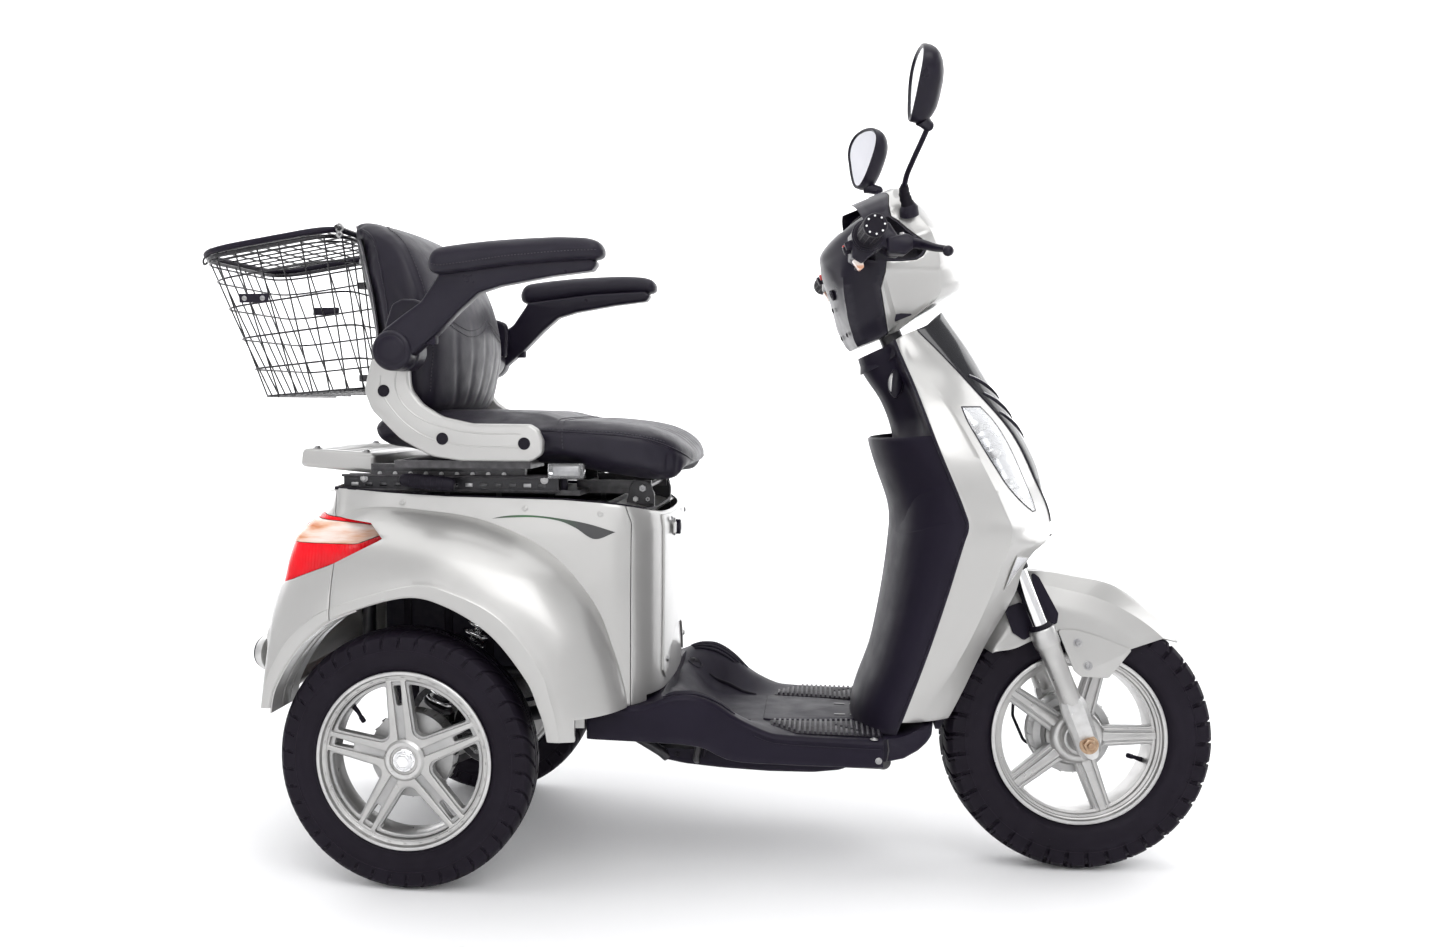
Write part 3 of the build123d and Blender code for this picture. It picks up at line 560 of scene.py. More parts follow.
FRAME = finish_mat("black_powder_coat", (0.0065, 0.0060, 0.0085), (0.0115, 0.0105, 0.0140), 0.36, metal=0.1, coat=0.12, coat_rough=0.2, vary=8.0, spec=0.4,
                   grain=("noise", 420.0, 0.10, 0.0005), wear=(0.10, 0.095, 0.10))
ALLOY = finish_mat("cast_alloy_lacquered", (0.38, 0.375, 0.37), (0.48, 0.475, 0.465), 0.33, metal=0.85, coat=0.25, coat_rough=0.15, vary=14.0,
                   grain=("noise", 700.0, 0.10, 0.0004), grain2=("noise", 60.0, 0.05, 0.001), wear=(0.8, 0.8, 0.8))
ALLOY_DARK = finish_mat("cast_alloy_rough", (0.33, 0.33, 0.33), (0.46, 0.455, 0.45), 0.45, metal=0.8, vary=18.0, grain=("noise", 500.0, 0.18, 0.0006))
CHROME = finish_mat("polished_chrome", (0.78, 0.78, 0.79), (0.86, 0.86, 0.86), 0.09, metal=1.0, vary=20.0, grain=("noise", 900.0, 0.02, 0.0002), rough_var=0.03)
STEEL = finish_mat("zinc_steel", (0.30, 0.30, 0.31), (0.46, 0.455, 0.45), 0.35, metal=0.95, vary=60.0, grain=("noise", 900.0, 0.1, 0.0003))
BRONZE = finish_mat("plated_nut", (0.30, 0.19, 0.12), (0.50, 0.37, 0.26), 0.36, metal=0.95, vary=120.0, grain=("noise", 700.0, 0.2, 0.0004))
TYRE = finish_mat("tyre_compound", (0.0060, 0.0040, 0.0082), (0.0095, 0.0070, 0.0128), 0.58, vary=9.0, grain=("noise", 800.0, 0.16, 0.0005),
                  grain2=("noise", 90.0, 0.05, 0.001), wear=(0.022, 0.018, 0.027), spec=0.14)
RUBBER = finish_mat("soft_rubber", (0.0060, 0.0045, 0.0088), (0.0095, 0.0075, 0.0132), 0.55, vary=16.0, grain=("noise", 1100.0, 0.12, 0.0003), spec=0.16)
MAT_RUBBER = finish_mat("ribbed_mat", (0.020, 0.018, 0.024), (0.030, 0.0275, 0.035), 0.52, vary=12.0, grain=("noise", 900.0, 0.15, 0.0004), wear=(0.075, 0.07, 0.08), spec=0.3)
WIRE = finish_mat("coated_wire", (0.0075, 0.0070, 0.0092), (0.0140, 0.0130, 0.0160), 0.30, metal=0.2, coat=0.2, coat_rough=0.15, vary=40.0, grain=("noise", 900.0, 0.08, 0.0002))
AMBER = finish_mat("amber_plastic", (0.75, 0.27, 0.04), (0.85, 0.36, 0.07), 0.3, coat=0.4, vary=30.0)
WHITE = finish_mat("white_inlay", (0.78, 0.78, 0.78), (0.86, 0.86, 0.86), 0.4, vary=40.0)
RED = finish_mat("red_reflector", (0.42, 0.012, 0.012), (0.52, 0.02, 0.018), 0.22, coat=0.7, coat_rough=0.05, vary=30.0, grain=("voronoi", 320.0, 0.25, 0.0008))
THREAD = finish_mat("stitching_thread", (0.022, 0.020, 0.028), (0.040, 0.037, 0.048), 0.6, vary=200.0, grain=("noise", 2500.0, 0.4, 0.0002))
REFLECTOR = finish_mat("lamp_reflector", (0.50, 0.50, 0.52), (0.68, 0.68, 0.70), 0.16, metal=1.0, vary=14.0, grain=("noise", 160.0, 0.06, 0.0008), rough_var=0.04)


def leather():
    m, nt, b = new_mat("black_leatherette")
    slow = tex(nt, "noise", 7.0, 5.0)
    col = ramp(nt, slow, [(0.3, (0.0074, 0.0054, 0.0122)), (0.7, (0.0110, 0.0084, 0.0172))])
    nt.links.new(col, b.inputs["Base Color"])
    nt.links.new(span(nt, tex(nt, "noise", 42.0, 6.0), 0.36, 0.50), b.inputs["Roughness"])
    b.inputs["Specular IOR Level"].default_value = 0.24
    b.inputs["Coat Weight"].default_value = 0.08
    b.inputs["Coat Roughness"].default_value = 0.32
    b.inputs["Sheen Weight"].default_value = 0.03
    b.inputs["Sheen Roughness"].default_value = 0.45
    c = bump(nt, b, tex(nt, "cells", 620.0), 0.22, 0.0004)
    c = bump(nt, b, tex(nt, "noise", 1700.0, 4.0), 0.10, 0.0002, c)
    bump(nt, b, tex(nt, "noise", 26.0, 5.0), 0.16, 0.004, c)
    return m


def lens(name, colour, rough, ribs, trans, stretch=(1, 1, 1), ior=1.45, depth=0.0008, coat=0.5):
    m, nt, b = new_mat(name)
    slow = tex(nt, "noise", 30.0, 3.0)
    d = tuple(c * 0.88 for c in colour)
    nt.links.new(ramp(nt, slow, [(0.35, d), (0.65, colour)]), b.inputs["Base Color"])
    b.inputs["Roughness"].default_value = rough
    b.inputs["Transmission Weight"].default_value = trans
    b.inputs["IOR"].default_value = ior
    b.inputs["Specular IOR Level"].default_value = 0.5 if trans > 0.3 else 0.25
    b.inputs["Coat Weight"].default_value = coat
    b.inputs["Coat Roughness"].default_value = 0.04
    if ribs:
        bump(nt, b, tex(nt, "wave", ribs, 0.0, stretch), 0.35, depth)
    else:
        bump(nt, b, tex(nt, "noise", 25.0), 0.02, 0.001)
    return m


LEATHER = leather()
CLEAR = lens("clear_lens", (0.95, 0.96, 0.97), 0.05, 0, 0.92)
RED_LENS = lens("red_lens", (0.88, 0.003, 0.012), 0.18, 60.0, 0.06, (1, 1, 0.2), coat=0.08)
AMBER_LENS = lens("amber_clear_lens", (0.93, 0.74, 0.62), 0.14, 85.0, 0.12, (0.2, 0.2, 1), coat=0.3)
_nt = AMBER_LENS.node_tree
_nt.links.new(ramp(_nt, tex(_nt, "noise", 34.0, 4.0, (0.35, 0.35, 2.2)), [(0.34, (0.62, 0.20, 0.07)), (0.46, (0.80, 0.50, 0.36)), (0.56, (0.88, 0.72, 0.64)), (0.7, (0.90, 0.84, 0.80))]), _nt.nodes["Principled BSDF"].inputs["Base Color"])
GLASS, _nt, _b = new_mat("mirror_glass")
_b.inputs["Metallic"].default_value = 1.0
_nt.links.new(ramp(_nt, tex(_nt, "noise", 12.0), [(0.3, (0.44, 0.44, 0.47)), (0.7, (0.52, 0.52, 0.55))]), _b.inputs["Base Color"])
_nt.links.new(span(_nt, tex(_nt, "noise", 60.0), 0.03, 0.08), _b.inputs["Roughness"])


def stripe_mat():
    """Black pinstripe that turns deep green towards its front half."""
    m, nt, b = new_mat("side_stripe")
    tc = nt.nodes.new("ShaderNodeTexCoord")
    sx = nt.nodes.new("ShaderNodeSeparateXYZ")
    nt.links.new(tc.outputs["Object"], sx.inputs["Vector"])
    f = span(nt, sx.outputs["X"], 0.0, 1.0, (127 - 433) / 1000, (325 - 433) / 1000)
    nt.links.new(ramp(nt, f, [(0.0, (0.03, 0.035, 0.03)), (0.28, (0.012, 0.09, 0.02)), (0.5, (0.012, 0.05, 0.018)), (0.72, (0.012, 0.012, 0.014))]), b.inputs["Base Color"])
    b.inputs["Roughness"].default_value = 0.3
    b.inputs["Coat Weight"].default_value = 0.4
    return m


STRIPE = stripe_mat()


def repaint(node, *mats):
    """Give a CAD node its finish."""
    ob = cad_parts[node]
    ob.data.materials.clear()
    for mt in mats:
        ob.data.materials.append(mt)


# ------------------------------------------------------------------ wheels
WHEEL_F = STR @ Matrix.Translation((OFFSET, 0, 0))
WHEEL_RL = VEH @ Matrix.Translation((0, 272, 205))
WHEEL_RR = VEH @ Matrix.Translation((0, -272, 205)) @ Matrix.Scale(-1, 4, (0, 1, 0))


def tyre(name, body, M, R, half, pitches, kind, node):
    """Tread rows across the tyre and columns round it. The columns lean with the grooves, so each groove edge is an edge of the mesh."""
    h = half
    side = spline([(0.965 * h, R - 11.5), (h - 0.2, R - 24), (h, R - 34), (0.975 * h, 163), (0.90 * h, 150), (33.6, 143.2), (31, 137), (30.3, 129.2)], 15)[1:]
    ring = [(abs(r - 155) < 4.0) * 0.7 + (abs(r - (R - 40)) < 3.0) * 0.6 for _, r in side]
    side = [(y + d, r) for (y, r), d in zip(side, ring)]
    fr = [0.0, 0.10, 0.115, 0.19, 0.205, 0.30, 0.40, 0.415, 0.50, 0.60, 0.70, 0.80, 0.88, 0.965]

    def crown(u):
        return R - 0.5 * u ** 2 - 6.5 * u ** 4 - 5.0 * u ** 9
    right = [(u * h, crown(u)) for u in fr] + [tuple(p) for p in side]
    rows = [(-y, r) for y, r in right[::-1][:-1]] + right
    n = len(rows)
    vv = [y / h for y, _ in rows]
    if kind == "road":
        cols = [(0.0, 0, 0), (0.07, 0, 0), (0.10, 1, 0), (0.24, 1, 0), (0.27, 0, 0), (0.42, 0, 0), (0.54, 0, 0), (0.57, 0, 1), (0.71, 0, 1), (0.74, 0, 0), (0.88, 0, 0)]
        depth, sweep, power, reach, inner = 4.0, 0.16, 1.5, R - 27, 0.20
    else:
        cols = [(0.0, 0, 0), (0.06, 0, 0), (0.09, 1, 0), (0.26, 1, 0), (0.29, 0, 0), (0.38, 0, 0), (0.405, 2, 0), (0.445, 2, 0), (0.47, 0, 0),
                (0.53, 0, 0), (0.56, 0, 1), (0.74, 0, 1), (0.77, 0, 0), (0.86, 0, 0), (0.885, 0, 2), (0.925, 0, 2), (0.95, 0, 0)]
        depth, sweep, power, reach, inner = 5.5, 0.13, 1.0, R - 31, 0.12
    grid = np.zeros((n, pitches * len(cols), 3))
    for i, (y, r) in enumerate(rows):
        u = abs(vv[i])
        if kind == "road":
            lean = sweep * min(u, 1.1) ** power
        else:
            lean = sweep * (0.55 * u if u < 0.4 else 0.22 + 1.1 * (u - 0.4) if u < 0.7 else 0.55 - 0.5 * (u - 0.7))
        ang_extra = lean
        # circumferential channels
        ring_g = 3.2 if (0.11 < u < 0.20) else 0.0
        if kind == "block":
            ring_g = 4.0 if (0.11 < u < 0.195) else 0.0
        tang = 0.0
        for k in range(pitches):
            for c, (f, left, right_) in enumerate(cols):
                g = left if y < 0 else right_
                d = ring_g
                if g and u >= inner and r > reach:
                    if i > 0:
                        taper = min(1.0, (r - reach) / 10.0) if u > 0.96 else 1.0
                        dd = depth * (0.55 if g == 2 else 1.0) * taper
                        if g == 2 and not (0.42 < u < 0.97):
                            dd = 0.0
                        if kind == "block" and g == 1 and u < 0.40:
                            dd *= 0.75
                        d = max(d, dd)
                th = 2 * math.pi * (k + f) / pitches + ang_extra + tang
                if u < 0.97:
                    rr, yy = r - d, y
                else:
                    rr, yy = r - d * 0.5, y - math.copysign(d * 0.75, y)
                grid[i, k * len(cols) + c] = (rr * math.cos(th), yy, rr * math.sin(th))
    p = Part(name, body, M)
    p.grid(grid, TYRE, close_c=True)
    # fine moulding lines and the spew nibs on the side walls
    for s in (1, -1):
        for rr, yy in ((146.5, 34.6), (R - 30.0, h + 0.15)):
            a = np.arange(180) * 2 * math.pi / 180
            p.tube([(rr * math.cos(t), s * yy, rr * math.sin(t)) for t in a], 0.55, TYRE, seg=5, closed=True)
        for k in range(14):
            t = 2 * math.pi * (k + 0.31 * (k % 3)) / 14
            q = (171 * math.cos(t), s * (h * 0.985), 171 * math.sin(t))
            p.tube([q, (q[0], q[1] + s * 1.8, q[2])], 0.5, TYRE, seg=5)
    return p.build(angle=28, slot="tyre_rubber", replaces=[node])


def polar(r, deg):
    a = math.radians(deg)
    return np.array([r * math.cos(a), r * math.sin(a)])


def window(turn, half_in, half_out, r_in, r_out, r_arc, r_corner, r_tip):
    """Opening between two spokes, about the direction turn."""
    def edge(sgn):
        # the spoke's edge line, turned +-36 degrees
        a = math.radians(36 * sgn)
        c, s = math.cos(a), math.sin(a)

        def rot(p):
            return np.array([p[0] * c - p[1] * s, p[0] * s + p[1] * c])
        return rot(np.array([r_in, -sgn * half_in])), rot(np.array([r_out, -sgn * half_out]))
    a0, a1 = edge(1)
    d = a1 - a0
    t = -a0[1] / d[1]
    tip = a0 + d * t
    # meet the arc
    lo, hi = 0.0, 3.0
    for _ in range(40):
        mid = (lo + hi) / 2
        if np.linalg.norm(a0 + d * mid) < r_arc:
            lo = mid
        else:
            hi = mid
    p1 = a0 + d * lo
    ang = math.atan2(p1[1], p1[0])
    arc = [(r_arc * math.cos(t), r_arc * math.sin(t)) for t in np.linspace(-ang, ang, 13)]
    poly = [tuple(tip)] + arc
    radii = [r_tip] + [r_corner] + [0] * 11 + [r_corner]
    P = fillet(poly, radii, 6)
    c, s = math.cos(math.radians(turn)), math.sin(math.radians(turn))
    return [(x * c - z * s, x * s + z * c) for x, z in P]


def turned(poly, deg):
    c, s = math.cos(math.radians(deg)), math.sin(math.radians(deg))
    return [(x * c - z * s, x * s + z * c) for x, z in poly]


def rear_wheel(name, body, M, node, sgn):
    """sgn: not used; the two sides come out as mirror images through their matrices."""
    p = Part(name, body, M)
    lip, seat = 141.5, 128.5
    # barrel with polished lips and an inner step
    prof = [(31, seat + 0.2), (33, 134), (34, 140), (35.2, lip), (38.2, lip - 0.4), (39, lip - 2), (38.6, 136.2), (36.8, 135.2), (33.5, 134.2), (32.0, 133.0), (31.4, 128.8),
            (29.5, 127.2), (22.5, 125.6), (21.5, 119.8), (12, 118.4), (-22, 119.5), (-30, 123), (-32, 132), (-36.5, 136.4), (-38, lip - 2), (-36, lip), (-33.6, 139), (-31, seat + 0.2)]
    p.revolve(prof, ALLOY, 160)
    p.revolve([(31, seat + 0.2), (10, 124.5), (-10, 124.5), (-31, seat + 0.2)], ALLOY_DARK, 96)
    turn = 24
    wins = [window(turn + 36 + 72 * k, 17.6, 14.6, 60, 128, 126.5, 3.5, 15) for k in range(5)]
    wins_b = [window(turn + 36 + 72 * k, 21.0, 18.4, 60, 128, 119.0, 6.5, 13) for k in range(5)]
    chan = [turned(fillet([(31, -6.6), (124.5, -7.6), (124.5, 7.6), (31, 6.6)], [0.5, 2, 2, 0.5], 3), turn + 72 * k) for k in range(5)]
    holes = [turned(fillet([(86, -3.6), (117, -6.2), (117, 6.2), (86, 3.6)], 2.2, 4), turn + 72 * k) for k in range(5)]
    p.plate([circle(0, 0, 128.6, 120)] + wins + chan, 7.0, ALLOY, bevel=1.3, res=2, y=27.2)
    p.plate([circle(0, 0, 125.5, 120)] + wins_b + holes, 17.0, ALLOY_DARK, bevel=2.2, res=2, y=17.2)
    # hub ring, cap and nut
    p.revolve([(24, 34), (30.6, 33), (33.4, 30.4), (34.6, 28.4), (34.6, 23.2), (33.4, 22.2), (29.2, 21.6), (28.4, 19), (28.4, 0.01)], ALLOY, 64)
    p.revolve([(28.2, 19.0), (33.0, 18.6), (34.6, 17.0), (34.8, 15.0), (33.6, 13.6), (33.2, 12.2), (38.0, 11.0), (38.8, 9.6), (38.8, 0.01)], CHROME, 48)
    p.revolve([(33, 10.6), (40.2, 10.4), (41.0, 9.2), (41.0, 0.01)], CHROME, 6)
    for k in range(8):
        q = polar(15.4, 45 * k)
        p.ball((q[0], 34.8, q[1]), 1.7, CHROME, 8)
    p.revolve([(23, 34), (10, 36), (-4, 40), (-8, 68), (-16, 69), (-37, 68), (-38, 60), (-38, 0.01)], ALLOY_DARK, 72)
    for k in range(24):
        a = 15 * k
        q0, q1 = polar(68.5, a), polar(71.5, a)
        p.add([(q0[0], -12, q0[1]), (q1[0], -12, q1[1]), (q1[0], -34, q1[1]), (q0[0], -34, q0[1])], [[0, 1, 2, 3]], ALLOY_DARK)
    # valve with its cap
    a = turn + 36 + 72 * 1 + 8
    q = polar(119, a)
    d = polar(1, a)
    p.tube([(q[0] + d[0] * 3, 4, q[1] + d[1] * 3), (q[0] - d[0] * 12, 9, q[1] - d[1] * 12), (q[0] - d[0] * 22, 17, q[1] - d[1] * 22)], [4.4, 3.4, 3.2], RUBBER, 12)
    p.tube([(q[0] - d[0] * 22, 17, q[1] - d[1] * 22), (q[0] - d[0] * 30, 22, q[1] - d[1] * 30)], 4.0, RUBBER, 12)
    p.build(angle=30, slot="alloy", replaces=[node])


def front_wheel(name, body, M, node):
    p = Part(name, body, M)
    lip, seat = 141.5, 128.5
    prof = [(-31, seat + 0.2), (-33, 134), (-34, 140), (-35.4, lip), (-38.6, lip - 0.3), (-39.4, lip - 2), (-39.0, 135.6), (-37.0, 134.6), (-34.6, 133.6), (-33.6, 131.2), (-31.8, 130.4), (-30.6, 126.6),
            (-26, 125.4), (-24.6, 121.6), (-10, 119.2), (14, 119.2), (26, 122), (30.6, 127), (33, 134.5), (37.6, 136.4), (38.6, lip - 2), (36, lip), (33.6, 139), (31, seat + 0.2)]
    p.revolve(prof, ALLOY, 160)
    p.revolve([(-31, seat + 0.2), (-10, 124.5), (10, 124.5), (31, seat + 0.2)], ALLOY_DARK, 96)
    turn = -20.2
    y0 = -17.0
    wins = [window(turn + 36 + 72 * k, 16.6, 14.0, 60, 128, 122.5, 4.0, 12) for k in range(5)]
    p.plate([circle(0, 0, 127.6, 120)] + wins, 18.0, ALLOY_DARK, bevel=3.0, res=3, y=y0 + 2)
    for k in range(5):
        a = turn + 72 * k
        ridge = turned(fillet([(40, -8.5), (60, -7.0), (127, -6.0), (127, 5.0), (60, 6.0), (40, 7.5)], [3, 6, 1, 1, 6, 3], 3), a)
        p.plate([ridge], 6.0, ALLOY, bevel=1.6, res=2, y=y0 - 8.6)
        rail = turned(fillet([(44, 9.2), (127, 8.0), (127, 11.4), (44, 13.6)], [1, 1, 1, 1], 2), a)
        p.plate([rail], 3.6, ALLOY, bevel=1.0, res=2, y=y0 - 7.6)
        rail = turned(fillet([(44, -13.4), (127, -11.2), (127, -8.6), (44, -10.8)], [1, 1, 1, 1], 2), a)
        p.plate([rail], 3.2, ALLOY, bevel=1.0, res=2, y=y0 - 7.4)
    p.revolve([(-12, 47), (-25, 44), (-31, 39.5), (-33.5, 36), (-34, 31), (-33, 28.5), (-37.6, 26.5), (-42, 25.2), (-43.4, 23), (-43.4, 20.4), (-41.2, 19.6), (-41.0, 10)], ALLOY, 72)
    p.revolve([(-6, 47), (2, 52), (4, 63.5), (10, 66), (33, 66), (34.4, 63), (34.4, 8)], ALLOY_DARK, 72)
    for k in range(20):
        a = 18 * k
        q0, q1 = polar(65.5, a), polar(68.0, a)
        p.add([(q0[0], 8, q0[1]), (q1[0], 8, q1[1]), (q1[0], 30, q1[1]), (q0[0], 30, q0[1])], [[0, 1, 2, 3]], ALLOY_DARK)
    a = turn - 36 + 14
    q, d = polar(119, a), polar(1, a)
    p.tube([(q[0] + d[0] * 3, -2, q[1] + d[1] * 3), (q[0] - d[0] * 12, -5, q[1] - d[1] * 12), (q[0] - d[0] * 20, -12, q[1] - d[1] * 20)], [4.4, 3.4, 3.2], RUBBER, 12)
    p.tube([(q[0] - d[0] * 20, -12, q[1] - d[1] * 20), (q[0] - d[0] * 29, -18, q[1] - d[1] * 29)], 4.2, RUBBER, 12)
    p.build(angle=30, slot="alloy", replaces=[node])


tyre("tread_rear_right", "rear_wheel_right", WHEEL_RR, 205.0, 40.0, 42, "road", "tyre_rear_right")
tyre("tread_rear_left", "rear_wheel_left", WHEEL_RL, 205.0, 40.0, 42, "road", "tyre_rear_left")
tyre("tread_front", "front_wheel", WHEEL_F, 215.0, 45.0, 38, "block", "tyre_front")
rear_wheel("rim_rear_right", "rear_wheel_right", WHEEL_RR, "wheel_rear_right", -1)
rear_wheel("rim_rear_left", "rear_wheel_left", WHEEL_RL, "wheel_rear_left", 1)
front_wheel("rim_front", "front_wheel", WHEEL_F, "wheel_front")


# ------------------------------------------------------------------ front fork, brake plate and axle
def octa(s, cf, cy, wf, wy, ch):
    """Eight-sided section of the lower leg's foot at height s."""
    return [(cf - wf + ch, cy - wy, s), (cf + wf - ch, cy - wy, s), (cf + wf, cy - wy + ch, s), (cf + wf, cy + wy - ch, s),
            (cf + wf - ch, cy + wy, s), (cf - wf + ch, cy + wy, s), (cf - wf, cy + wy - ch, s), (cf - wf, cy - wy + ch, s)]


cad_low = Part("fork_lowers", "steering", STR)
for sd in (1, -1):
    yc = 76 * sd
    M_ = Matrix.Translation((34, yc, 0)) @ Matrix.Rotation(math.radians(90), 4, "X")
    # revolve() turns about Y, so the leg's own Y runs up the steering axis
    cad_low.revolve([(-68, 15.5), (-74, 17.2), (-100, 16.4), (-150, 17.2), (-164, 18.0), (-170, 20.8), (-195, 21.2), (-197.5, 20.2), (-197.8, 17.5)][::-1], ALLOY, 40, M=Matrix.Translation((34, yc, 0)) @ Matrix.Rotation(math.radians(-90), 4, "X"))
    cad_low.revolve([(-196.5, 18.6), (-199.5, 18.4), (-201.5, 16.8), (-204.5, 15.4), (-204.8, 13.4)][::-1], RUBBER, 40, M=Matrix.Translation((34, yc, 0)) @ Matrix.Rotation(math.radians(-90), 4, "X"))
    secs = [octa(78, 34, yc, 15, 13, 6), octa(70, 34.5, yc, 19, 14.5, 8), octa(60, 34.5, yc, 20, 15, 8), octa(14, 33, yc, 18.5, 15, 7.5), octa(8, 32.6, yc, 18.5, 12.5, 6),
            octa(-12, 32, yc, 18.2, 12, 6), octa(-20, 32, yc, 15, 11.5, 6), octa(-25, 32, yc, 8, 11, 4)]
    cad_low.grid(secs, ALLOY, close_c=True, cap=True)
    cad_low.bolt((32, sd * 88.5, 0), (0, sd, 0), 10.5, BRONZE, 9)
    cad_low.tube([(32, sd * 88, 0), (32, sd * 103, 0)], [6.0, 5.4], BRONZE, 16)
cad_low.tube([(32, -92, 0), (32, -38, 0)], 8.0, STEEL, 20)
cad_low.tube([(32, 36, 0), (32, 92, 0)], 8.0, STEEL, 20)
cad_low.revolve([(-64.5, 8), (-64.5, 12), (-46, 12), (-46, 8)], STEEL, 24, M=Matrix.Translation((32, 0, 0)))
# brake plate on the left, with its boss, arm and torque lug
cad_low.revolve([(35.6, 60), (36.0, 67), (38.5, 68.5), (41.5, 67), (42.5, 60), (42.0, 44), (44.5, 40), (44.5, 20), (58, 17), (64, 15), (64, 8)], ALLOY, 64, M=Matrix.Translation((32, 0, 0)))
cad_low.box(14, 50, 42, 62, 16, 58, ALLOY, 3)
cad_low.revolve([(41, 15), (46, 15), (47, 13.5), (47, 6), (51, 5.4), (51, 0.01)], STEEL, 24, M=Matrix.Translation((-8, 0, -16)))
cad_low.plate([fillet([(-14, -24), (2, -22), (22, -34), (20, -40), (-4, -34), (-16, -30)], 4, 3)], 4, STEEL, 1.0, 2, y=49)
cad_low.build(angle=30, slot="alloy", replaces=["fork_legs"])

# stanchions, yoke and stem
st = Part("fork_uppers", "steering", STR)
for sd in (1, -1):
    st.tube([(34, 76 * sd, 190), (34, 76 * sd, 322)], 13.2, CHROME, 40)
st.tube([(0, 0, 322), (0, 0, 602)], 13.9, CHROME, 32)
st.tube([(0, 0, 610), (0, 0, 838)], 19, FRAME, 32)
yk = fillet([(-24, -42), (14, -94), (50, -94), (52, -62), (26, -24), (26, 24), (52, 62), (50, 94), (14, 94), (-24, 42)], [10, 10, 10, 10, 14, 14, 10, 10, 10, 10], 5)
st.plate([[(x, -y) for x, y in yk]], 24, FRAME, 2.5, 2, M=Matrix.Translation((0, 0, 310)) @ Matrix.Rotation(math.radians(-90), 4, "X"))
st.tube([(0, 0, 322), (0, 0, 334)], 22, FRAME, 32)
st.tube([(0, 0, 602), (0, 0, 614), (0, 0, 622)], [24, 24, 21], FRAME, 32)
st.box(-22, 22, -38, 38, 828, 874, FRAME, 4)
st.build(angle=35, slot="chrome", replaces=["fork_stem"])


# ------------------------------------------------------------------ front apron
NOSE = [(200, 688), (235, 690), (262, 692), (363, 723), (430, 736), (499, 746), (589, 754), (640, 757), (701, 757), (768, 735), (815, 705), (845, 696), (935, 690)]
INNER = [(200, 745, 160), (257, 765, 166), (383, 807, 184), (477, 835, 192), (556, 857, 196), (569, 861, 196), (581, 861, 196), (596, 856, 195), (691, 818, 186), (799, 779, 132), (855, 757, 98), (884, 748, 84), (935, 735, 70)]
CREASE = [(200, 780, 152), (264, 797, 158), (384, 862, 174), (510, 912, 183), (560, 926, 186), (575, 926, 186), (590, 920, 184), (696, 868, 174), (766, 828, 150), (835, 778, 106), (882, 764, 90), (935, 748, 76)]
PANEL = [(200, 805, 122), (262, 842, 122), (386, 900, 122), (469, 943, 122), (508, 955, 121), (530, 970, 118), (546, 990, 106), (558, 1000, 78), (571, 1004, 48), (645, 974, 68), (717, 936, 79), (785, 878, 82), (849, 819, 78), (884, 786, 70), (935, 760, 60)]
FRONT = [(200, 806), (262, 843), (386, 901), (469, 944), (508, 957), (546, 1000), (562, 1013), (571, 1009), (671, 982), (746, 941), (786, 915), (852, 876), (915, 833), (935, 822)]
TOPL = [steer_pt(f, 0, s) for f, s in ((-140, 708), (-20, 712), (15, 718), (60, 719), (91, 731), (150, 731))]
TOPX, TOPZ = [p[0] for p in TOPL], [p[2] for p in TOPL]


def ztop(x):
    return float(np.interp(x, TOPX, TOPZ)) - 1.5


def column(fn, z0, zmax=None, n=60, ease=None):
    """Points fn(z) from z0 up to the sloping top (or zmax) of the apron."""
    lo, hi = z0, 940.0
    if zmax is None:
        for _ in range(40):
            mid = (lo + hi) / 2
            if mid < ztop(fn(mid)[0]):
                lo = mid
            else:
                hi = mid
        zmax = lo
    zs = np.linspace(z0, zmax, n)
    return [fn(z) for z in zs]


# rider's side: black shield, with a neck above the pocket
NECK = [(560, 0.0), (640, 0.15), (700, 0.55), (740, 1.0), (900, 1.0)]


def inner_fn(u):
    def fn(z):
        n = table(NOSE, z)[0]
        ix, iy = table(INNER, z)
        iy -= 2.2
        w = float(table(NECK, z)[0])
        w = min(1, max(0, w))
        low = np.array([(n, 0), (n + 0.02 * (ix - n), 0.22 * iy), (n + 0.10 * (ix - n), 0.46 * iy), (n + 0.26 * (ix - n), 0.70 * iy), (n + 0.52 * (ix - n), 0.89 * iy), (n + 0.80 * (ix - n), 0.985 * iy), (ix, iy)])
        hi = np.array([(n, 0), (n + 2, 22), (n + 9, 42), (n + 24, 56), (n + 0.62 * (ix - n) + 12, 66 + 0.12 * (iy - 66)), (n + 0.86 * (ix - n) + 4, 66 + 0.62 * (iy - 66)), (ix, iy)])
        c = low * (1 - w) + hi * w
        key = round(z, 3)
        if key not in _cache:
            _cache[key] = spline(c, 41)
        x, y = _cache[key][int(round(u * 40))]
        return np.array([x, y, z])
    return fn


_cache = {}
ap = Part("inner_shield", "chassis")
cols = [column(inner_fn(k / 30), 241.2, n=66) for k in range(31)]
G = np.array(cols)                                       # (31, 66, 3)
G = np.concatenate([mirror_y(G[::-1].reshape(-1, 3)).reshape(31, 66, 3)[:-1], G])
# thin skin with a turned-in top edge
ap.grid(G, PLASTIC)
Ti = G[:, -1].copy()
Ti2 = Ti.copy()
cen = np.array([800.0, 0, 0])
Ti2[:, 0] += (cen[0] - Ti2[:, 0]) * 0.06
Ti2[:, 1] *= 0.94
Ti3 = Ti2.copy()
Ti3[:, 2] -= 26
ap.grid([Ti, Ti2, Ti3], PLASTIC)
# raised border next to the silver panel
edge = np.array(column(lambda z: np.array([table(INNER, z)[0] - 1.5, table(INNER, z)[1] - 1.4, z]), 262, n=90))
ap.tube(edge, 2.6, PLASTIC, 8, sides=2)
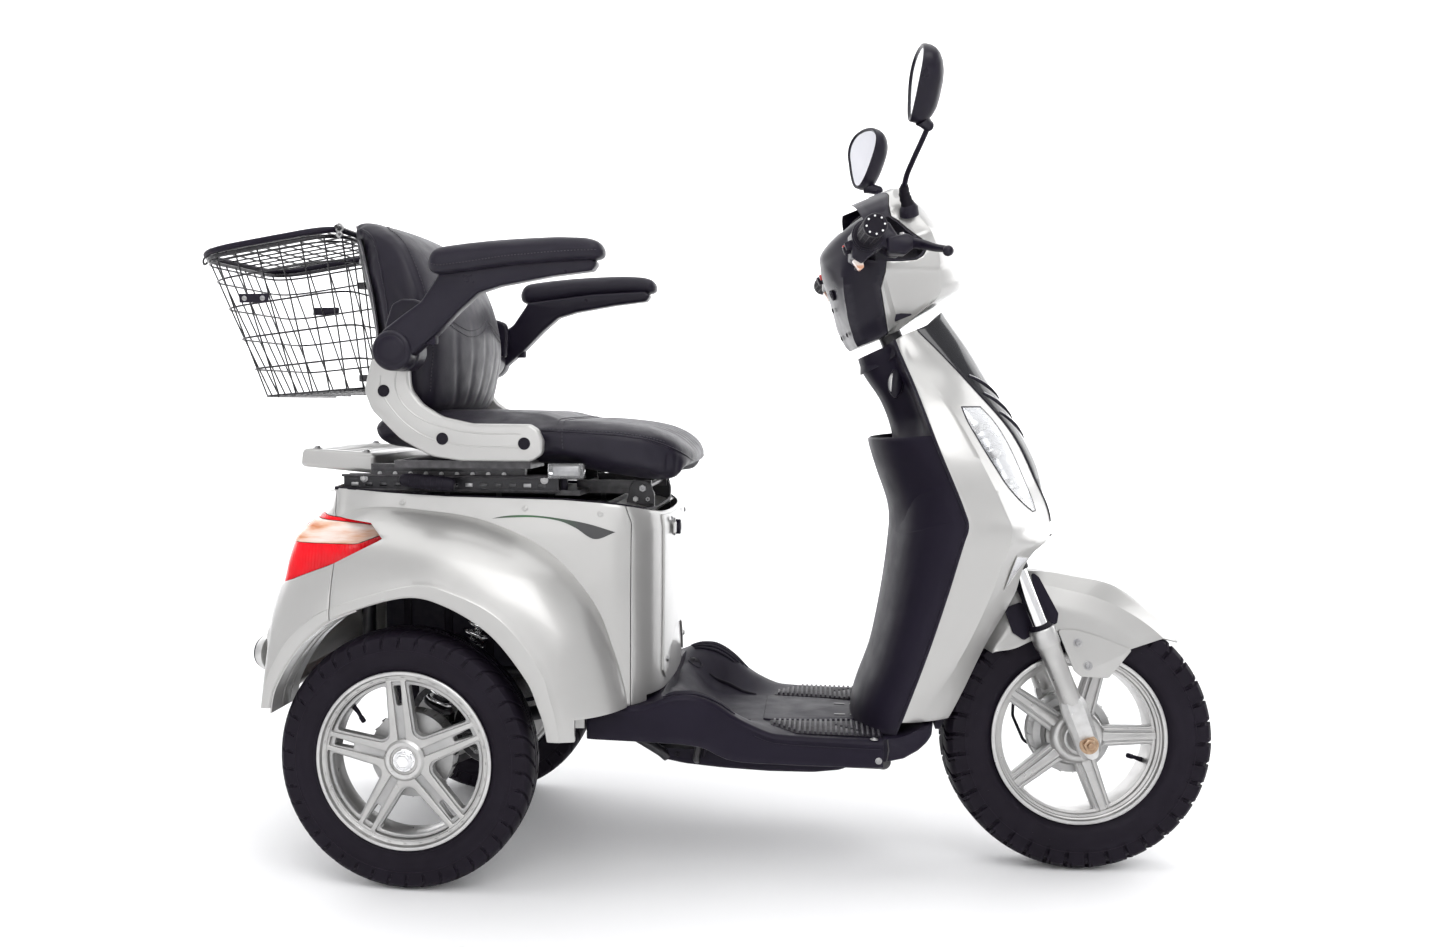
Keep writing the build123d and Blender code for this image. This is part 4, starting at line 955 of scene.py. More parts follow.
# wheel well liner
back = [(822, 243), (822, 262), (835, 292), (855, 352), (858, 408), (840, 470)]
r1, r2 = steer_pt(-62, 0, 332), steer_pt(150, 0, 332)
prof = fillet([(x, z) for x, z in back] + [(r1[0], r1[2]), (r2[0] - 34, r2[2] - 14)], 26, 5, closed=False)
prof = even(prof, 60)
ys = [-117, -112, -100, -60, 0, 60, 100, 112, 117]
well = lambda x: 1.0 if x < 950 else max(1 - (x - 950) / 105, 0.45)
ap.grid([[(x, y * well(x), z) for y in ys] for x, z in prof], PLASTIC)
for s in (1, -1):
    side_rows = []
    for x, z in prof:
        w = 117 * well(x)
        px = max(min(table(PANEL, min(z, 545))[0] - 3, 950 if z > 500 else 1000), x + 1.5)
        side_rows.append([(x, s * w, z), ((x + px) / 2, s * (w + 0.4), z), (px, s * (w + 0.8), z)])
    ap.grid(side_rows, PLASTIC)
ap.build(angle=40, solid=2.4, slot="black_plastic", replaces=["leg_shield_inner"])

# storage pocket: a bowl across the shield with a rolled rim
BOWLN = [(556, 752.5), (575, 749.5), (600, 745), (625, 739), (650, 731), (676, 722.5), (700, 716.2), (708, 715.4)]


def bowl_pt(u, t, d=0.0):
    """u across from the middle to the side edge, t from the bottom to the rim."""
    zr = 703 + 7 * u ** 2                     # rim rises a little to the sides
    zb = 574 - 22 * math.sin(math.pi * min(1, u * 1.15)) + 6 * u
    z = zb + (zr - zb) * t
    n = table(BOWLN, max(556, z - 3 * u))[0]
    ix, iy = table(INNER, z)
    x0 = n + d
    c = np.array([(x0, 0), (x0 + 1.5, 34), (x0 + 8, 72), (x0 + 24, 112), (x0 + 52, 148), (ix - 16, iy - 12 - 0.3 * d), (ix + 1, iy - 5.2 - 0.5 * d)])
    P = spline(c, 31)
    x, y = P[int(round(u * 30))]
    # the outer skin meets the shield along its lower edge
    if d == 0:
        b = inner_fn(round(u * 40) / 40)(z)
        w = (1 - min(1.0, t / 0.55)) ** 2
        x, y = x * (1 - w) + (b[0] - 0.6) * w, y * (1 - w) + b[1] * w
    return np.array([x, y, z])


us = np.linspace(0, 1, 31)
outer_g = np.array([[bowl_pt(u, t) for t in np.linspace(0, 1, 26)] for u in us])
rim = np.array([[bowl_pt(u, 1.0) + (0, 0, 1.3) * np.array(1.0) for t in (0,)] for u in us])


def bowl_in(u, t):
    z = 706 - 7 * 0 + 7 * u ** 2 - 118 * t
    p = bowl_pt(u, 1.0, 3.4)
    q = bowl_pt(u, max(0.0, 1 - t * 0.9), 3.4)
    return np.array([q[0] + 10 * t * t, q[1] * (1 - 0.02 * t), z])


mid = np.array([[(bowl_pt(u, 1.0) + bowl_pt(u, 1.0, 3.4)) / 2 + np.array([0, 0, 1.6])] for u in us])
inner_g = np.array([[bowl_in(u, t) for t in np.linspace(0.0, 1, 18)] for u in us])
full = np.concatenate([outer_g, mid, inner_g], axis=1)
full = np.concatenate([mirror_y(full[::-1].reshape(-1, 3)).reshape(full.shape)[:-1], full])
pk = Part("storage_pocket", "chassis")
pk.grid(full, PLASTIC)
pk.build(angle=50, slot="black_plastic")


# silver side and front facets
def facet_a(u):
    def fn(z):
        a, b = table(INNER, z), table(CREASE, z)
        bow = 1.6 * math.sin(math.pi * u)
        return np.array([a[0] + (b[0] - a[0]) * u - 0.4 * bow, a[1] + (b[1] - a[1]) * u + bow, z])
    return fn


LZ0, LZ1 = 592.0, 757.0
LENS_L = [(592, 0.56), (604, 0.44), (627, 0.30), (665, 0.21), (705, 0.175), (738, 0.19), (757, 0.26)]
LENS_R = [(592, 0.64), (604, 0.66), (627, 0.69), (665, 0.72), (705, 0.745), (738, 0.76), (757, 0.72)]


def facet_b_pt(u, z, off=0.0):
    a, b = table(CREASE, z), table(PANEL, z)
    nx, ny = (b[1] - a[1]), -(b[0] - a[0])
    ln = math.hypot(nx, ny) or 1
    nx, ny = -nx / ln, -ny / ln
    if nx < 0:
        nx, ny = -nx, -ny
    bow = (3.4 if z > 571 else 2.0) * math.sin(math.pi * u) + off
    return np.array([a[0] + (b[0] - a[0]) * u + nx * bow, a[1] + (b[1] - a[1]) * u + ny * bow, z])


def lens_u(z):
    zz = min(max(z, LZ0), LZ1)
    return float(table(LENS_L, zz)[0]), float(table(LENS_R, zz)[0])


NL, NM, NR = 6, 12, 6
ufr = [("l", k / NL) for k in range(NL)] + [("m", k / NM) for k in range(NM)] + [("r", k / NR) for k in range(NR + 1)]
# shared z levels, with rows on the lens ends
lev = np.concatenate([np.linspace(262, LZ0, 56), np.linspace(LZ0, LZ1, 40)[1:]])


def b_u(kind, k, z):
    l, r = lens_u(z)
    return l * k if kind == "l" else l + (r - l) * k if kind == "m" else r + (1 - r) * k


sv = Part("outer_shield", "chassis")
na = 9
top_n = 34
cols = []
for k in range(na):
    fn = facet_a(k / (na - 1))
    top = column(fn, LZ1, n=top_n)
    cols.append([fn(z) for z in lev] + top[1:])
A_g = np.array(cols)
cols = []
for kind, k in ufr:
    def fn(z, kind=kind, k=k):
        return facet_b_pt(b_u(kind, k, z), z)
    top = column(fn, LZ1, n=top_n)
    cols.append([fn(z) for z in lev] + top[1:])
B_g = np.array(cols)
nA, nz = A_g.shape[:2]
nB = B_g.shape[0]
V, F = [], []
V = np.concatenate([A_g.reshape(-1, 3), B_g.reshape(-1, 3)])
i0, i1 = 55, 55 + 39
for i in range(nA - 1):
    for j in range(nz - 1):
        F.append([i * nz + j, (i + 1) * nz + j, (i + 1) * nz + j + 1, i * nz + j + 1])
o = nA * nz
for i in range(nB - 1):
    for j in range(nz - 1):
        if NL <= i < NL + NM and i0 <= j < i1:
            continue
        F.append([o + i * nz + j, o + (i + 1) * nz + j, o + (i + 1) * nz + j + 1, o + i * nz + j + 1])
sv.both(V, F, SILVER)
# chin under the black panel
chin_rows = []
for t in np.linspace(0, 1, 10):
    z = 546 + (571 - 546) * t
    e = table(PANEL, z)
    row = []
    for q in np.linspace(-1, 1, 25):
        c = abs(q)
        zz = z + (1 - t) * (5.5 * (1 - c * c))
        fx = table(FRONT, zz)[0]
        y = e[1] * q
        x = fx + (e[0] - fx) * c ** 2.2
        row.append((x, y, zz))
    chin_rows.append(row)
sv.grid(chin_rows, SILVER)
sv.build(angle=30, solid=3.0, bevel=0.9, slot="silver_paint", replaces=["leg_shield_outer"])

# gloss black centre panel with slanted gills; a thin chrome thread along each gill is a painted highlight on its edge
gp = Part("centre_panel", "chassis")


def panel_pt(q, z, off=0.0):
    e = table(PANEL, z)
    fx = table(FRONT, z)[0]
    c = abs(q)
    x = fx + (e[0] + 1.0 - fx) * (0.35 * c ** 2 + 0.65 * c ** 5) + off
    return np.array([x, (e[1] - 0.9) * q + 0 * off, z])


cols = []
for q in np.linspace(-1, 1, 33):
    cols.append(column(lambda z, q=q: panel_pt(q, z), 571.5, n=64))
gp.grid(cols, GLOSS)
gp.build(angle=40, solid=3.0, bevel=0.8, slot="black_gloss", replaces=["front_panel"])
gl = Part("panel_gills", "chassis")
for k, (za, zb) in enumerate(((806, 770), (778, 738), (748, 706))):
    for s in (1, -1):
        # the chrome thread is a painted highlight standing for the lit edge of the gill; the matte black tube is the
        # gill itself
        for off, mt, r in ((0.2, PLASTIC, 3.0), (1.0, CHROME, 0.8)):
            pts = [panel_pt(s * qq, za + (zb - za) * t, off) + np.array([0, 0, 2.4 if mt is CHROME else 0]) for t, qq in zip(np.linspace(0, 1, 14), np.linspace(0.93, 0.42, 14))]
            rr = [r * (0.25 + 0.75 * math.sin(math.pi * min(1, 0.12 + t * 0.88))) for t in np.linspace(0, 1, 14)]
            gl.tube(pts, rr, mt, 8)
gl.build(angle=40, slot="black_gloss")

# headlights: reflector bowl with fins behind a clear cover
hl = Part("headlight_bowls", "chassis")
for s in (1, -1):
    rows_f, rows_b = [], []
    zz = np.linspace(LZ0 + 0.5, LZ1 - 0.5, 30)
    bowl = []
    for z in zz:
        l, r = lens_u(z)
        row = []
        for q in np.linspace(0, 1, 13):
            e = math.sin(math.pi * q) ** 0.6 * min(1.0, math.sin(math.pi * (z - LZ0) / (LZ1 - LZ0)) * 3) ** 0.6
            p = facet_b_pt(l + (r - l) * q, z, -1.5 - 13.0 * e)
            row.append((p[0], p[1] * s, p[2]))
        bowl.append(row)
    hl.grid(bowl, REFLECTOR)
    for j in range(3, 27, 3):
        z = zz[j]
        l, r = lens_u(z)
        pts = [facet_b_pt(l + (r - l) * q, z + 9 * (q - 0.5), -9.0) for q in np.linspace(0.06, 0.94, 9)]
        hl.tube([(p[0], p[1] * s, p[2]) for p in pts], [0.6] + [1.5] * 7 + [0.6], REFLECTOR, 6)
    # lamp bodies
    for z, rad in ((640, 10), (684, 12), (724, 10)):
        l, r = lens_u(z)
        c = facet_b_pt((l + r) / 2, z, -8.5)
        hl.ball((c[0], c[1] * s, c[2]), rad * 0.62, WHITE, 14)
hl.build(angle=50, slot="clear_lens")
lc = Part("headlight_covers", "chassis")
for s in (1, -1):
    g = []
    for z in np.linspace(LZ0 + 1.2, LZ1 - 1.2, 34):
        l, r = lens_u(z)
        row = []
        for q in np.linspace(0.012, 0.988, 13):
            p = facet_b_pt(l + (r - l) * q, z, 0.6 + 1.6 * math.sin(math.pi * q) * math.sin(math.pi * (z - LZ0) / (LZ1 - LZ0)))
            row.append((p[0], p[1] * s, p[2]))
        g.append(row)
    lc.grid(g, CLEAR)
lc.build(angle=50, solid=1.6, slot="clear_lens", replaces=["headlights"])
ls = Part("headlight_seals", "chassis")
for s in (1, -1):
    loop = []
    for z in np.linspace(LZ0, LZ1, 40):
        loop.append(facet_b_pt(lens_u(z)[0], z, 0.1))
    l, r = lens_u(LZ1)
    loop += [facet_b_pt(l + (r - l) * q, LZ1, 0.1) for q in np.linspace(0.1, 0.9, 8)]
    for z in np.linspace(LZ1, LZ0, 40):
        loop.append(facet_b_pt(lens_u(z)[1], z, 0.1))
    ls.tube([(p[0], p[1] * s, p[2]) for p in loop], 0.9, SATIN, 6, closed=True)
# dark joint line between the silver facet and the black panel, and along the inner edge
for s in (1, -1):
    e = np.array(column(lambda z: np.array([table(PANEL, z)[0] + 1.0, table(PANEL, z)[1] - 0.4, z]), 573, n=60))
    ls.tube([(p[0], p[1] * s, p[2]) for p in e], 1.0, SATIN, 6)
ls.build(angle=50, slot="black_gloss")

# generic badge place: a bare faceted recess plate low on each silver facet
bd = Part("badge_plates", "chassis")
for s in (1, -1):
    c = [facet_b_pt(u, z, 1.1) for u, z in ((0.36, 527), (0.90, 521), (0.66, 498), (0.40, 474))]
    m = sum(c) / 4 + np.array([2.2, -0.4, 0])
    V = [(p[0], p[1] * s, p[2]) for p in c] + [(m[0], m[1] * s, m[2])]
    bd.add(V, [[0, 1, 4], [1, 2, 4], [2, 3, 4], [3, 0, 4]], REFLECTOR)
    bd.tube([(p[0], p[1] * s, p[2]) for p in c], 0.9, SILVER, 6, closed=True)
bd.build(angle=10, slot="silver_paint")

# charging socket cover on the neck
cv = Part("socket_cover", "chassis")
for s in (-1,):
    a, b = np.array([763.0, s * 66.0, 822.0]), np.array([756.0, s * 77.0, 772.0])
    pts = spline([a, (a + b) / 2 + np.array([-3, s * 1.5, 0]), b], 12)
    cv.tube(pts, [2.0, 7, 9.5, 11, 11.5, 12, 12, 11.5, 11, 9.5, 7, 2.5], SATIN, 20, flat=0.55)
    q = pts + np.array([-7.0, s * 3.4, 0])
    cv.tube(q[2:10], [0.6, 3.2, 4.2, 4.6, 4.6, 4.2, 3.2, 0.6], STEEL, 12, flat=0.5)
cv.build(angle=50, slot="black_plastic")


# ------------------------------------------------------------------ front mudguard
def fender():
    cols = [  # lateral y and (angle about the axle, radius) from the front lip to the back edge
        (0, [(20.7, 228), (38, 239), (54, 257), (69, 266), (82, 283), (89, 291), (97, 266), (105.4, 243), (115.4, 217)]),
        (20, [(21.6, 226.6), (38, 237), (54, 255), (69, 263), (82.4, 280), (89, 287), (97, 263), (105.4, 240), (115.4, 216)]),
        (46, [(29.5, 211), (40, 215.7), (53, 224), (64, 234), (74, 245), (81.7, 257.7), (89, 262), (97, 248), (105, 231), (114.6, 213)]),
        (56, [(35.4, 186.5), (43.7, 183.5), (54.8, 190.9), (65, 200), (74.6, 211.6), (79.7, 218.5), (89, 224), (97, 219), (105, 210), (114, 205)]),
        (58.5, [(41.3, 166.5), (48, 164), (59.1, 167.8), (72.3, 177.4), (80.5, 181.5), (96, 181), (105.6, 186), (113.6, 203)]),
    ]
    n = 46
    lines = []
    for y, pts in cols:
        P = np.array([(a, r) for a, r in pts], float)
        t = np.linspace(0, 1, n)
        a = P[0, 0] + (P[-1, 0] - P[0, 0]) * t
        rr = np.array([table(P, float(v))[0] for v in a])
        lines.append([(32 + r * math.cos(math.radians(v)), y, r * math.sin(math.radians(v))) for v, r in zip(a, rr)])
    L = np.array(lines)                                   # column, row, xyz
    half = []
    for i in range(len(L) - 1):
        k = 5 if i else 4
        for j in range(k):
            half.append(L[i] * (1 - j / k) + L[i + 1] * (j / k))
    half.append(L[-1])
    half = np.array(half)
    full = np.concatenate([half[:0:-1] * np.array([1, -1, 1]), half])
    p = Part("mudguard_skin", "steering", STR)
    p.grid(full, SILVER)
    p.build(angle=24, solid=3.2, bevel=0.8, replaces=("front_fender",), inside=(32, 0, 0))

    q = Part("mudguard_tabs", "steering", STR)
    tab = fillet([(60, 183), (60, 112), (66, 99), (106, 80), (130, 93), (158, 109), (120, 146), (88, 171)], [4, 8, 8, 8, 20, 3, 10, 10])
    q.plate([tab], 3.0, SILVER, bevel=0.6, y=60.5, sides=2)
    for f, s in ((82, 151), (83, 111)):
        q.bolt((f, 62, s), (0, 1, 0), 5.2, STEEL, h=5, hexed=False, sides=2)
    q.build(angle=30)
    c = Part("stanchion_backing", "steering", STR)
    c.plate([fillet([(56, 287), (64, 273), (71, 207), (63, 193), (54, 193), (46, 202), (44, 240)], 4)], 4.0, PLASTIC, bevel=1.0, y=62.5, sides=2)
    c.plate([fillet([(-6, 246), (24, 246), (24, 190), (4, 186), (-8, 204)], 6)], 3.0, PLASTIC, bevel=0.8, y=60.5, sides=2)
    c.build(angle=30)


fender()


# ------------------------------------------------------------------ headset
HEADSET = [  # s: rear f on the centre line, rear edge f y, side y, flange crease f y, nose f
    (727, -64, -64, 46, 57, 4, 52, 12), (733, -66, -66, 52, 60, 22, 55, 36), (742, -67, -67, 58, 65, 50, 60, 92), (748, -68, -67, 62, 69, 70, 67, 124),
    (758, -69, -67, 68, 76, 84, 74, 139), (775, -69, -66, 74, 86, 90, 84, 146), (790, -69, -63, 78, 95, 93, 92, 148.5), (800, -69, -61, 79, 100, 96, 97, 149),
    (817, -68, -57, 80, 104, 101, 102, 148), (839, -68, -49, 80, 107, 102, 105, 143.5), (853, -67, -43, 80, 109, 102, 106, 140), (876, -63, -29, 80, 110, 95, 106, 134.5),
    (896, -54, -9, 79, 109, 87, 105, 129), (905, -40, 2, 78, 107, 82, 103, 124), (917, -8, 20, 74, 102, 77, 99, 115.5), (924, 22, 38, 68, 95, 72, 92, 111.5),
    (936, 58, 62, 54, 78, 76, 76, 108.5), (943, 74, 76, 42, 60, 84, 58, 106), (950, 88, 88, 16, 24, 92, 22, 103)]


def head_ring(s):
    r0, re, ye, ys, ff, yf, fn = table(HEADSET, s)
    half = []
    for k in range(10):
        u = k / 10
        half.append((r0 + (re - r0) * u ** 2.2, ye * u))
    fc = min(10.0, ff - 20)
    for k in range(8):
        u = k / 8
        half.append((re + (fc - re) * u, ye + (ys - ye) * (1 - (1 - u) ** 1.6)))
    top_y = 106.0 if s < 853 else ys
    for k in range(8):
        u = k / 8
        f = fc + (ff - fc) * u
        y = ys + (yf - ys) * u ** 3
        if s < 853:                                        # facet below the crease
            y = top_y - 0.62 * max(0.0, 823 - 0.44 * max(0.0, f - 14) - s) - (1 - min(1, (853 - s) / 30.0)) * (106 - ys)
        half.append((f, y))
    if s < 853:
        yf = 105.0 - 0.62 * max(0.0, 790 - s)
        if s < 790:
            yf = max(yf, 50)
    for k in range(15):
        u = k / 14
        y = yf * (1 - u)
        half.append((ff + (fn - ff) * (1 - (1 - u) ** 2.1), y))
    return [(f, y, s) for f, y in half] + [(f, -y, s) for f, y in half[-2:0:-1]]


def headset():
    def bulb(name):
        p = Part(name, None, STR)
        lv = np.concatenate([np.linspace(727, 905, 62), np.linspace(908, 950, 20)])
        p.grid([head_ring(s) for s in lv], SILVER, close_c=True, cap=True)
        return p.build(angle=28)
    edge = [(-12, 700), (-12, 732), (-8, 768), (-4, 799), (10, 819), (19, 836), (41, 827), (63, 820), (75, 822), (83, 828), (86, 841), (77, 854), (68, 869), (60, 885),
            (51, 898), (56, 918), (66, 934), (74, 980)]
    grown = [(-10.6, 700), (-10.6, 732), (-6.6, 768), (-2.6, 799), (11.2, 818), (19.5, 834.3), (41, 825.5), (63, 818.5), (76, 820.5), (84.4, 827.3), (87.6, 841), (78.2, 855), (69.2, 870), (61.2, 885.6),
             (52.6, 898.2), (57.4, 917.4), (67.2, 933), (75.4, 980)]
    back = [(-200, 980), (-200, 700)]
    dash, cowl = bulb("dash_tmp"), bulb("cowl_tmp")
    cut(dash, prism("t1", edge + back, -200, 200, PLASTIC, STR), mode="INTERSECT")
    cut(cowl, prism("t2", grown + back, -200, 200, SILVER, STR))
    dash.data.materials.clear()
    dash.data.materials.append(SATIN)
    dash.data.polygons.foreach_set("material_index", [0] * len(dash.data.polygons))
    rec = [(-14, 893), (20, 903), (47, 900), (57, 885), (65, 868), (74, 853), (83, 840), (80, 830), (73, 825), (63, 823), (41, 830), (20, 839), (2, 842), (-20, 858)]
    for y0, y1 in ((62, 200), (-200, -62)):
        cut(dash, prism("t3", rec, y0, y1, PLASTIC, STR))
    # instrument panel sunk into the top
    cut(dash, prism("t4", [(-16, 910.5), (50, 929.5), (46, 960), (-40, 960)], -44, 44, PLASTIC, STR))
    # bevel both shells, name them, hang them on the steering and hide the parts they replace
    for ob, nm, rp, ang in ((dash, "dash_shell", ("dash_cover",), 28), (cowl, "cowl_shell", ("head_cowl",), 24)):
        md = ob.modifiers.new("b", "BEVEL")
        md.width, md.segments, md.limit_method, md.angle_limit = 0.0011, 2, "ANGLE", math.radians(40)
        settle(ob)
        ob.name = nm
        ob.data.name = nm
        shade(ob, ang)
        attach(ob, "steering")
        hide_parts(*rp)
    p = Part("instrument_glass", "steering", STR)
    sl = (929.5 - 910.5) / 66.0
    T = Matrix.Translation((17, 0, 921.0)) @ Matrix.Rotation(-math.atan(sl), 4, "Y")
    p.box(-32, 32, -42, 42, -1.5, 0.6, GLOSS, bevel=0.5, M=T)
    for y in (-24, 24):
        p.revolve([(0.7, 0.01), (0.7, 17), (2.2, 17.5), (2.6, 16), (1.0, 15.6), (1.0, 0.01)], SATIN, 32, M=T @ Matrix.Translation((2, y, 0)) @ Matrix.Rotation(math.pi / 2, 4, "X"))
        p.box(1, 13, y - 0.7, y + 0.7, 1.1, 1.7, WHITE, bevel=0.2, M=T)
    p.box(-24, -14, -10, 10, 0.6, 1.6, REFLECTOR, bevel=0.3, M=T)
    p.build(angle=30)
    q = Part("headset_trim", "steering", STR)
    # ignition lock on the rear face, fixing screws, slot in the neck, front position lamp
    q.revolve([(0, 0.01), (0, 9), (2.4, 9), (3.0, 8), (3.0, 5), (2.2, 4.6), (2.2, 0.01)], PLASTIC, 28, M=Matrix.Translation((-67.5, -30, 822)) @ Matrix.Rotation(math.pi / 2, 4, "Z"))
    for f, y, s in ((-71.5, 0, 800), (-70, 34, 752), (-70, -34, 752)):
        q.bolt((f, y, s), (-1, 0, 0), 3.0, RUBBER, h=2.0, hexed=False)
    q.box(4, 34, 52, 62.5, 742, 755, PLASTIC, bevel=1.5, sides=2)
    q.ball((146.5, 0, 836), 7, CLEAR, 18, scale=(0.4, 1.0, 1.0))
    q.build(angle=32)
    # wires from the switch boxes
    w = Part("switch_wires", "steering", STR)
    for s_ in (1, -1):
        for k, (mt, off) in enumerate(((PLASTIC, 0), (RED, 5), (PLASTIC, 9))):
            P = spline([(-30 + off, s_ * 166, 846), (-36 + off * 0.6, s_ * 140, 838), (-26 + off, s_ * 116, 852), (-10 + off, s_ * 92, 862), (4 + off, s_ * 74, 862)], 24)
            w.tube(P, 1.6 if k else 2.4, mt, 8)
    w.build(angle=40)


headset()


# ------------------------------------------------------------------ grips, switch boxes, levers
def bar_point(y):
    """Bar centre at y in the steering frame (the straight outer part)."""
    return np.array([-8 - 13 * (abs(y) - 150) / 172, y, 876 - 5 * (abs(y) - 150) / 172])


def controls():
    for side, s in (("left", 1), ("right", -1)):
        a, b = bar_point(s * 206), bar_point(s * 331)
        d = Vector(b - a).normalized()
        T = Matrix.Translation(Vector(a)) @ Vector((0, 1, 0)).rotation_difference(d).to_matrix().to_4x4()
        g = Part("grip_" + side, "steering", STR)
        L = 125.0
        n = 72
        rows = []
        prof = [(0, 13), (0, 21.0), (1.5, 22), (6, 22), (8, 20.6), (9.5, 17.0)]
        y = 12.0
        while y < 112:
            prof += [(y, 17.0), (y + 0.8, 16.2), (y + 2.6, 16.2), (y + 3.4, 17.0)]
            y += 5.6
        prof += [(116, 17.0), (119, 17.4), (L - 1.5, 16.6), (L, 15.2), (L, 11.6), (L - 1.6, 11.0), (L - 1.6, 0.01)]
        g.revolve(prof, RUBBER, 56, M=T)
        for k in range(12):                                  # raised ribs along the grip
            t = 2 * math.pi * k / 12
            g.tube([(16.4 * math.cos(t), 14, 16.4 * math.sin(t)), (16.4 * math.cos(t), 113, 16.4 * math.sin(t))], 1.1, RUBBER, 6, M=T)
        for k in range(8):                                   # dots round the end
            t = 2 * math.pi * (k + 0.3) / 8
            g.revolve([(L - 0.3, 0.01), (L - 0.3, 1.5), (L + 0.5, 1.4), (L + 0.7, 0.01)], WHITE, 12, M=T @ Matrix.Translation((12.9 * math.cos(t), 0, 12.9 * math.sin(t))))
        g.build(angle=35, replaces=("grips",) if s > 0 else ())

        # throttle or clamp ring inboard of the grip
        c = Part("switch_box_" + side, "steering", STR)
        T2 = Matrix.Translation(Vector(bar_point(s * 150))) @ Vector((0, 1, 0)).rotation_difference(d).to_matrix().to_4x4()
        c.revolve([(50, 12), (50, 22), (52, 24.5), (57, 24.5), (58.5, 23), (58.5, 12)], SATIN, 48, M=T2)
        out = [(-46, 852), (-36, 838), (-15, 846), (4, 850), (16, 834), (26, 829), (37, 843), (30, 858), (26, 880), (12, 893), (-12, 896), (-32, 888)]
        lo = fillet([(f + (0 if i else 0), z) for i, (f, z) in enumerate(out)], 4, 3)
        rows = []
        cen = np.array([-6.0, 868.0])
        for yy, k in ((150, 0.90), (151.5, 0.965), (153, 1.0), (176, 1.0), (176.6, 0.985), (177.4, 0.985), (178, 1.0), (199, 1.0), (201, 0.965), (202.5, 0.9)):
            rows.append([(cen[0] + (p[0] - cen[0]) * k, s * yy, cen[1] + (p[1] - cen[1]) * k) for p in lo])
        c.grid(rows, SATIN, close_c=True, cap=True)
        # switch keys on the rider's face
        c.box(-50, -36, *sorted((s * 168, s * 182)), 862, 874, PLASTIC, bevel=1.6)
        c.box(-48, -36, *sorted((s * 186, s * 198)), 866, 878, PLASTIC, bevel=1.6)
        c.box(-47, -38, *sorted((s * 158, s * 165)), 868, 878, RED, bevel=1.2)
        p2 = [(-47, 850), (-32, 843), (-34, 832), (-42, 829)]
        rows = [[(f, s * yy, z) for f, z in fillet(p2, 2, 3)] for yy in (184, 186, 195, 197)]
        c.grid(rows, AMBER_LENS, close_c=True, cap=True)
        # lever perch
        rows = []
        for yy, k in ((176, 0.8), (178, 1.0), (203, 1.0), (206, 0.8)):
            rows.append([(24 + (p[0] - 24) * k, s * yy, 848 + (p[1] - 848) * k) for p in fillet([(6, 838), (30, 826), (50, 832), (54, 842), (44, 854), (12, 862)], 5, 3)])
        c.grid(rows, SATIN, close_c=True, cap=True)
        c.bolt((38, s * 190, 856), (0.2, 0, 1), 4.2, STEEL, h=4)
        c.bolt((-4, s * 190, 896), (0, 0, 1), 3.4, STEEL, h=3)
        c.build(angle=34, bevel=0.5, replaces=("brake_levers",) if s > 0 else ())

        # lever with a ball end
        lv = Part("lever_" + side, "steering", STR)
        P = spline([(30, s * 190, 845), (46, s * 200, 838), (56, s * 215, 829), (64, s * 238, 817), (70, s * 262, 808), (70, s * 284, 803), (66, s * 300, 800)], 40)
        rr = np.interp(np.linspace(0, 1, 40), [0, 0.15, 0.35, 0.6, 0.85, 1], [7.5, 8.0, 7.2, 5.6, 5.0, 4.6])
        lv.tube(P, rr, SATIN, 14, flat=0.62)
        lv.ball((65.5, s * 303, 799.5), 8.0, SATIN, 20)
        lv.build(angle=40)


controls()


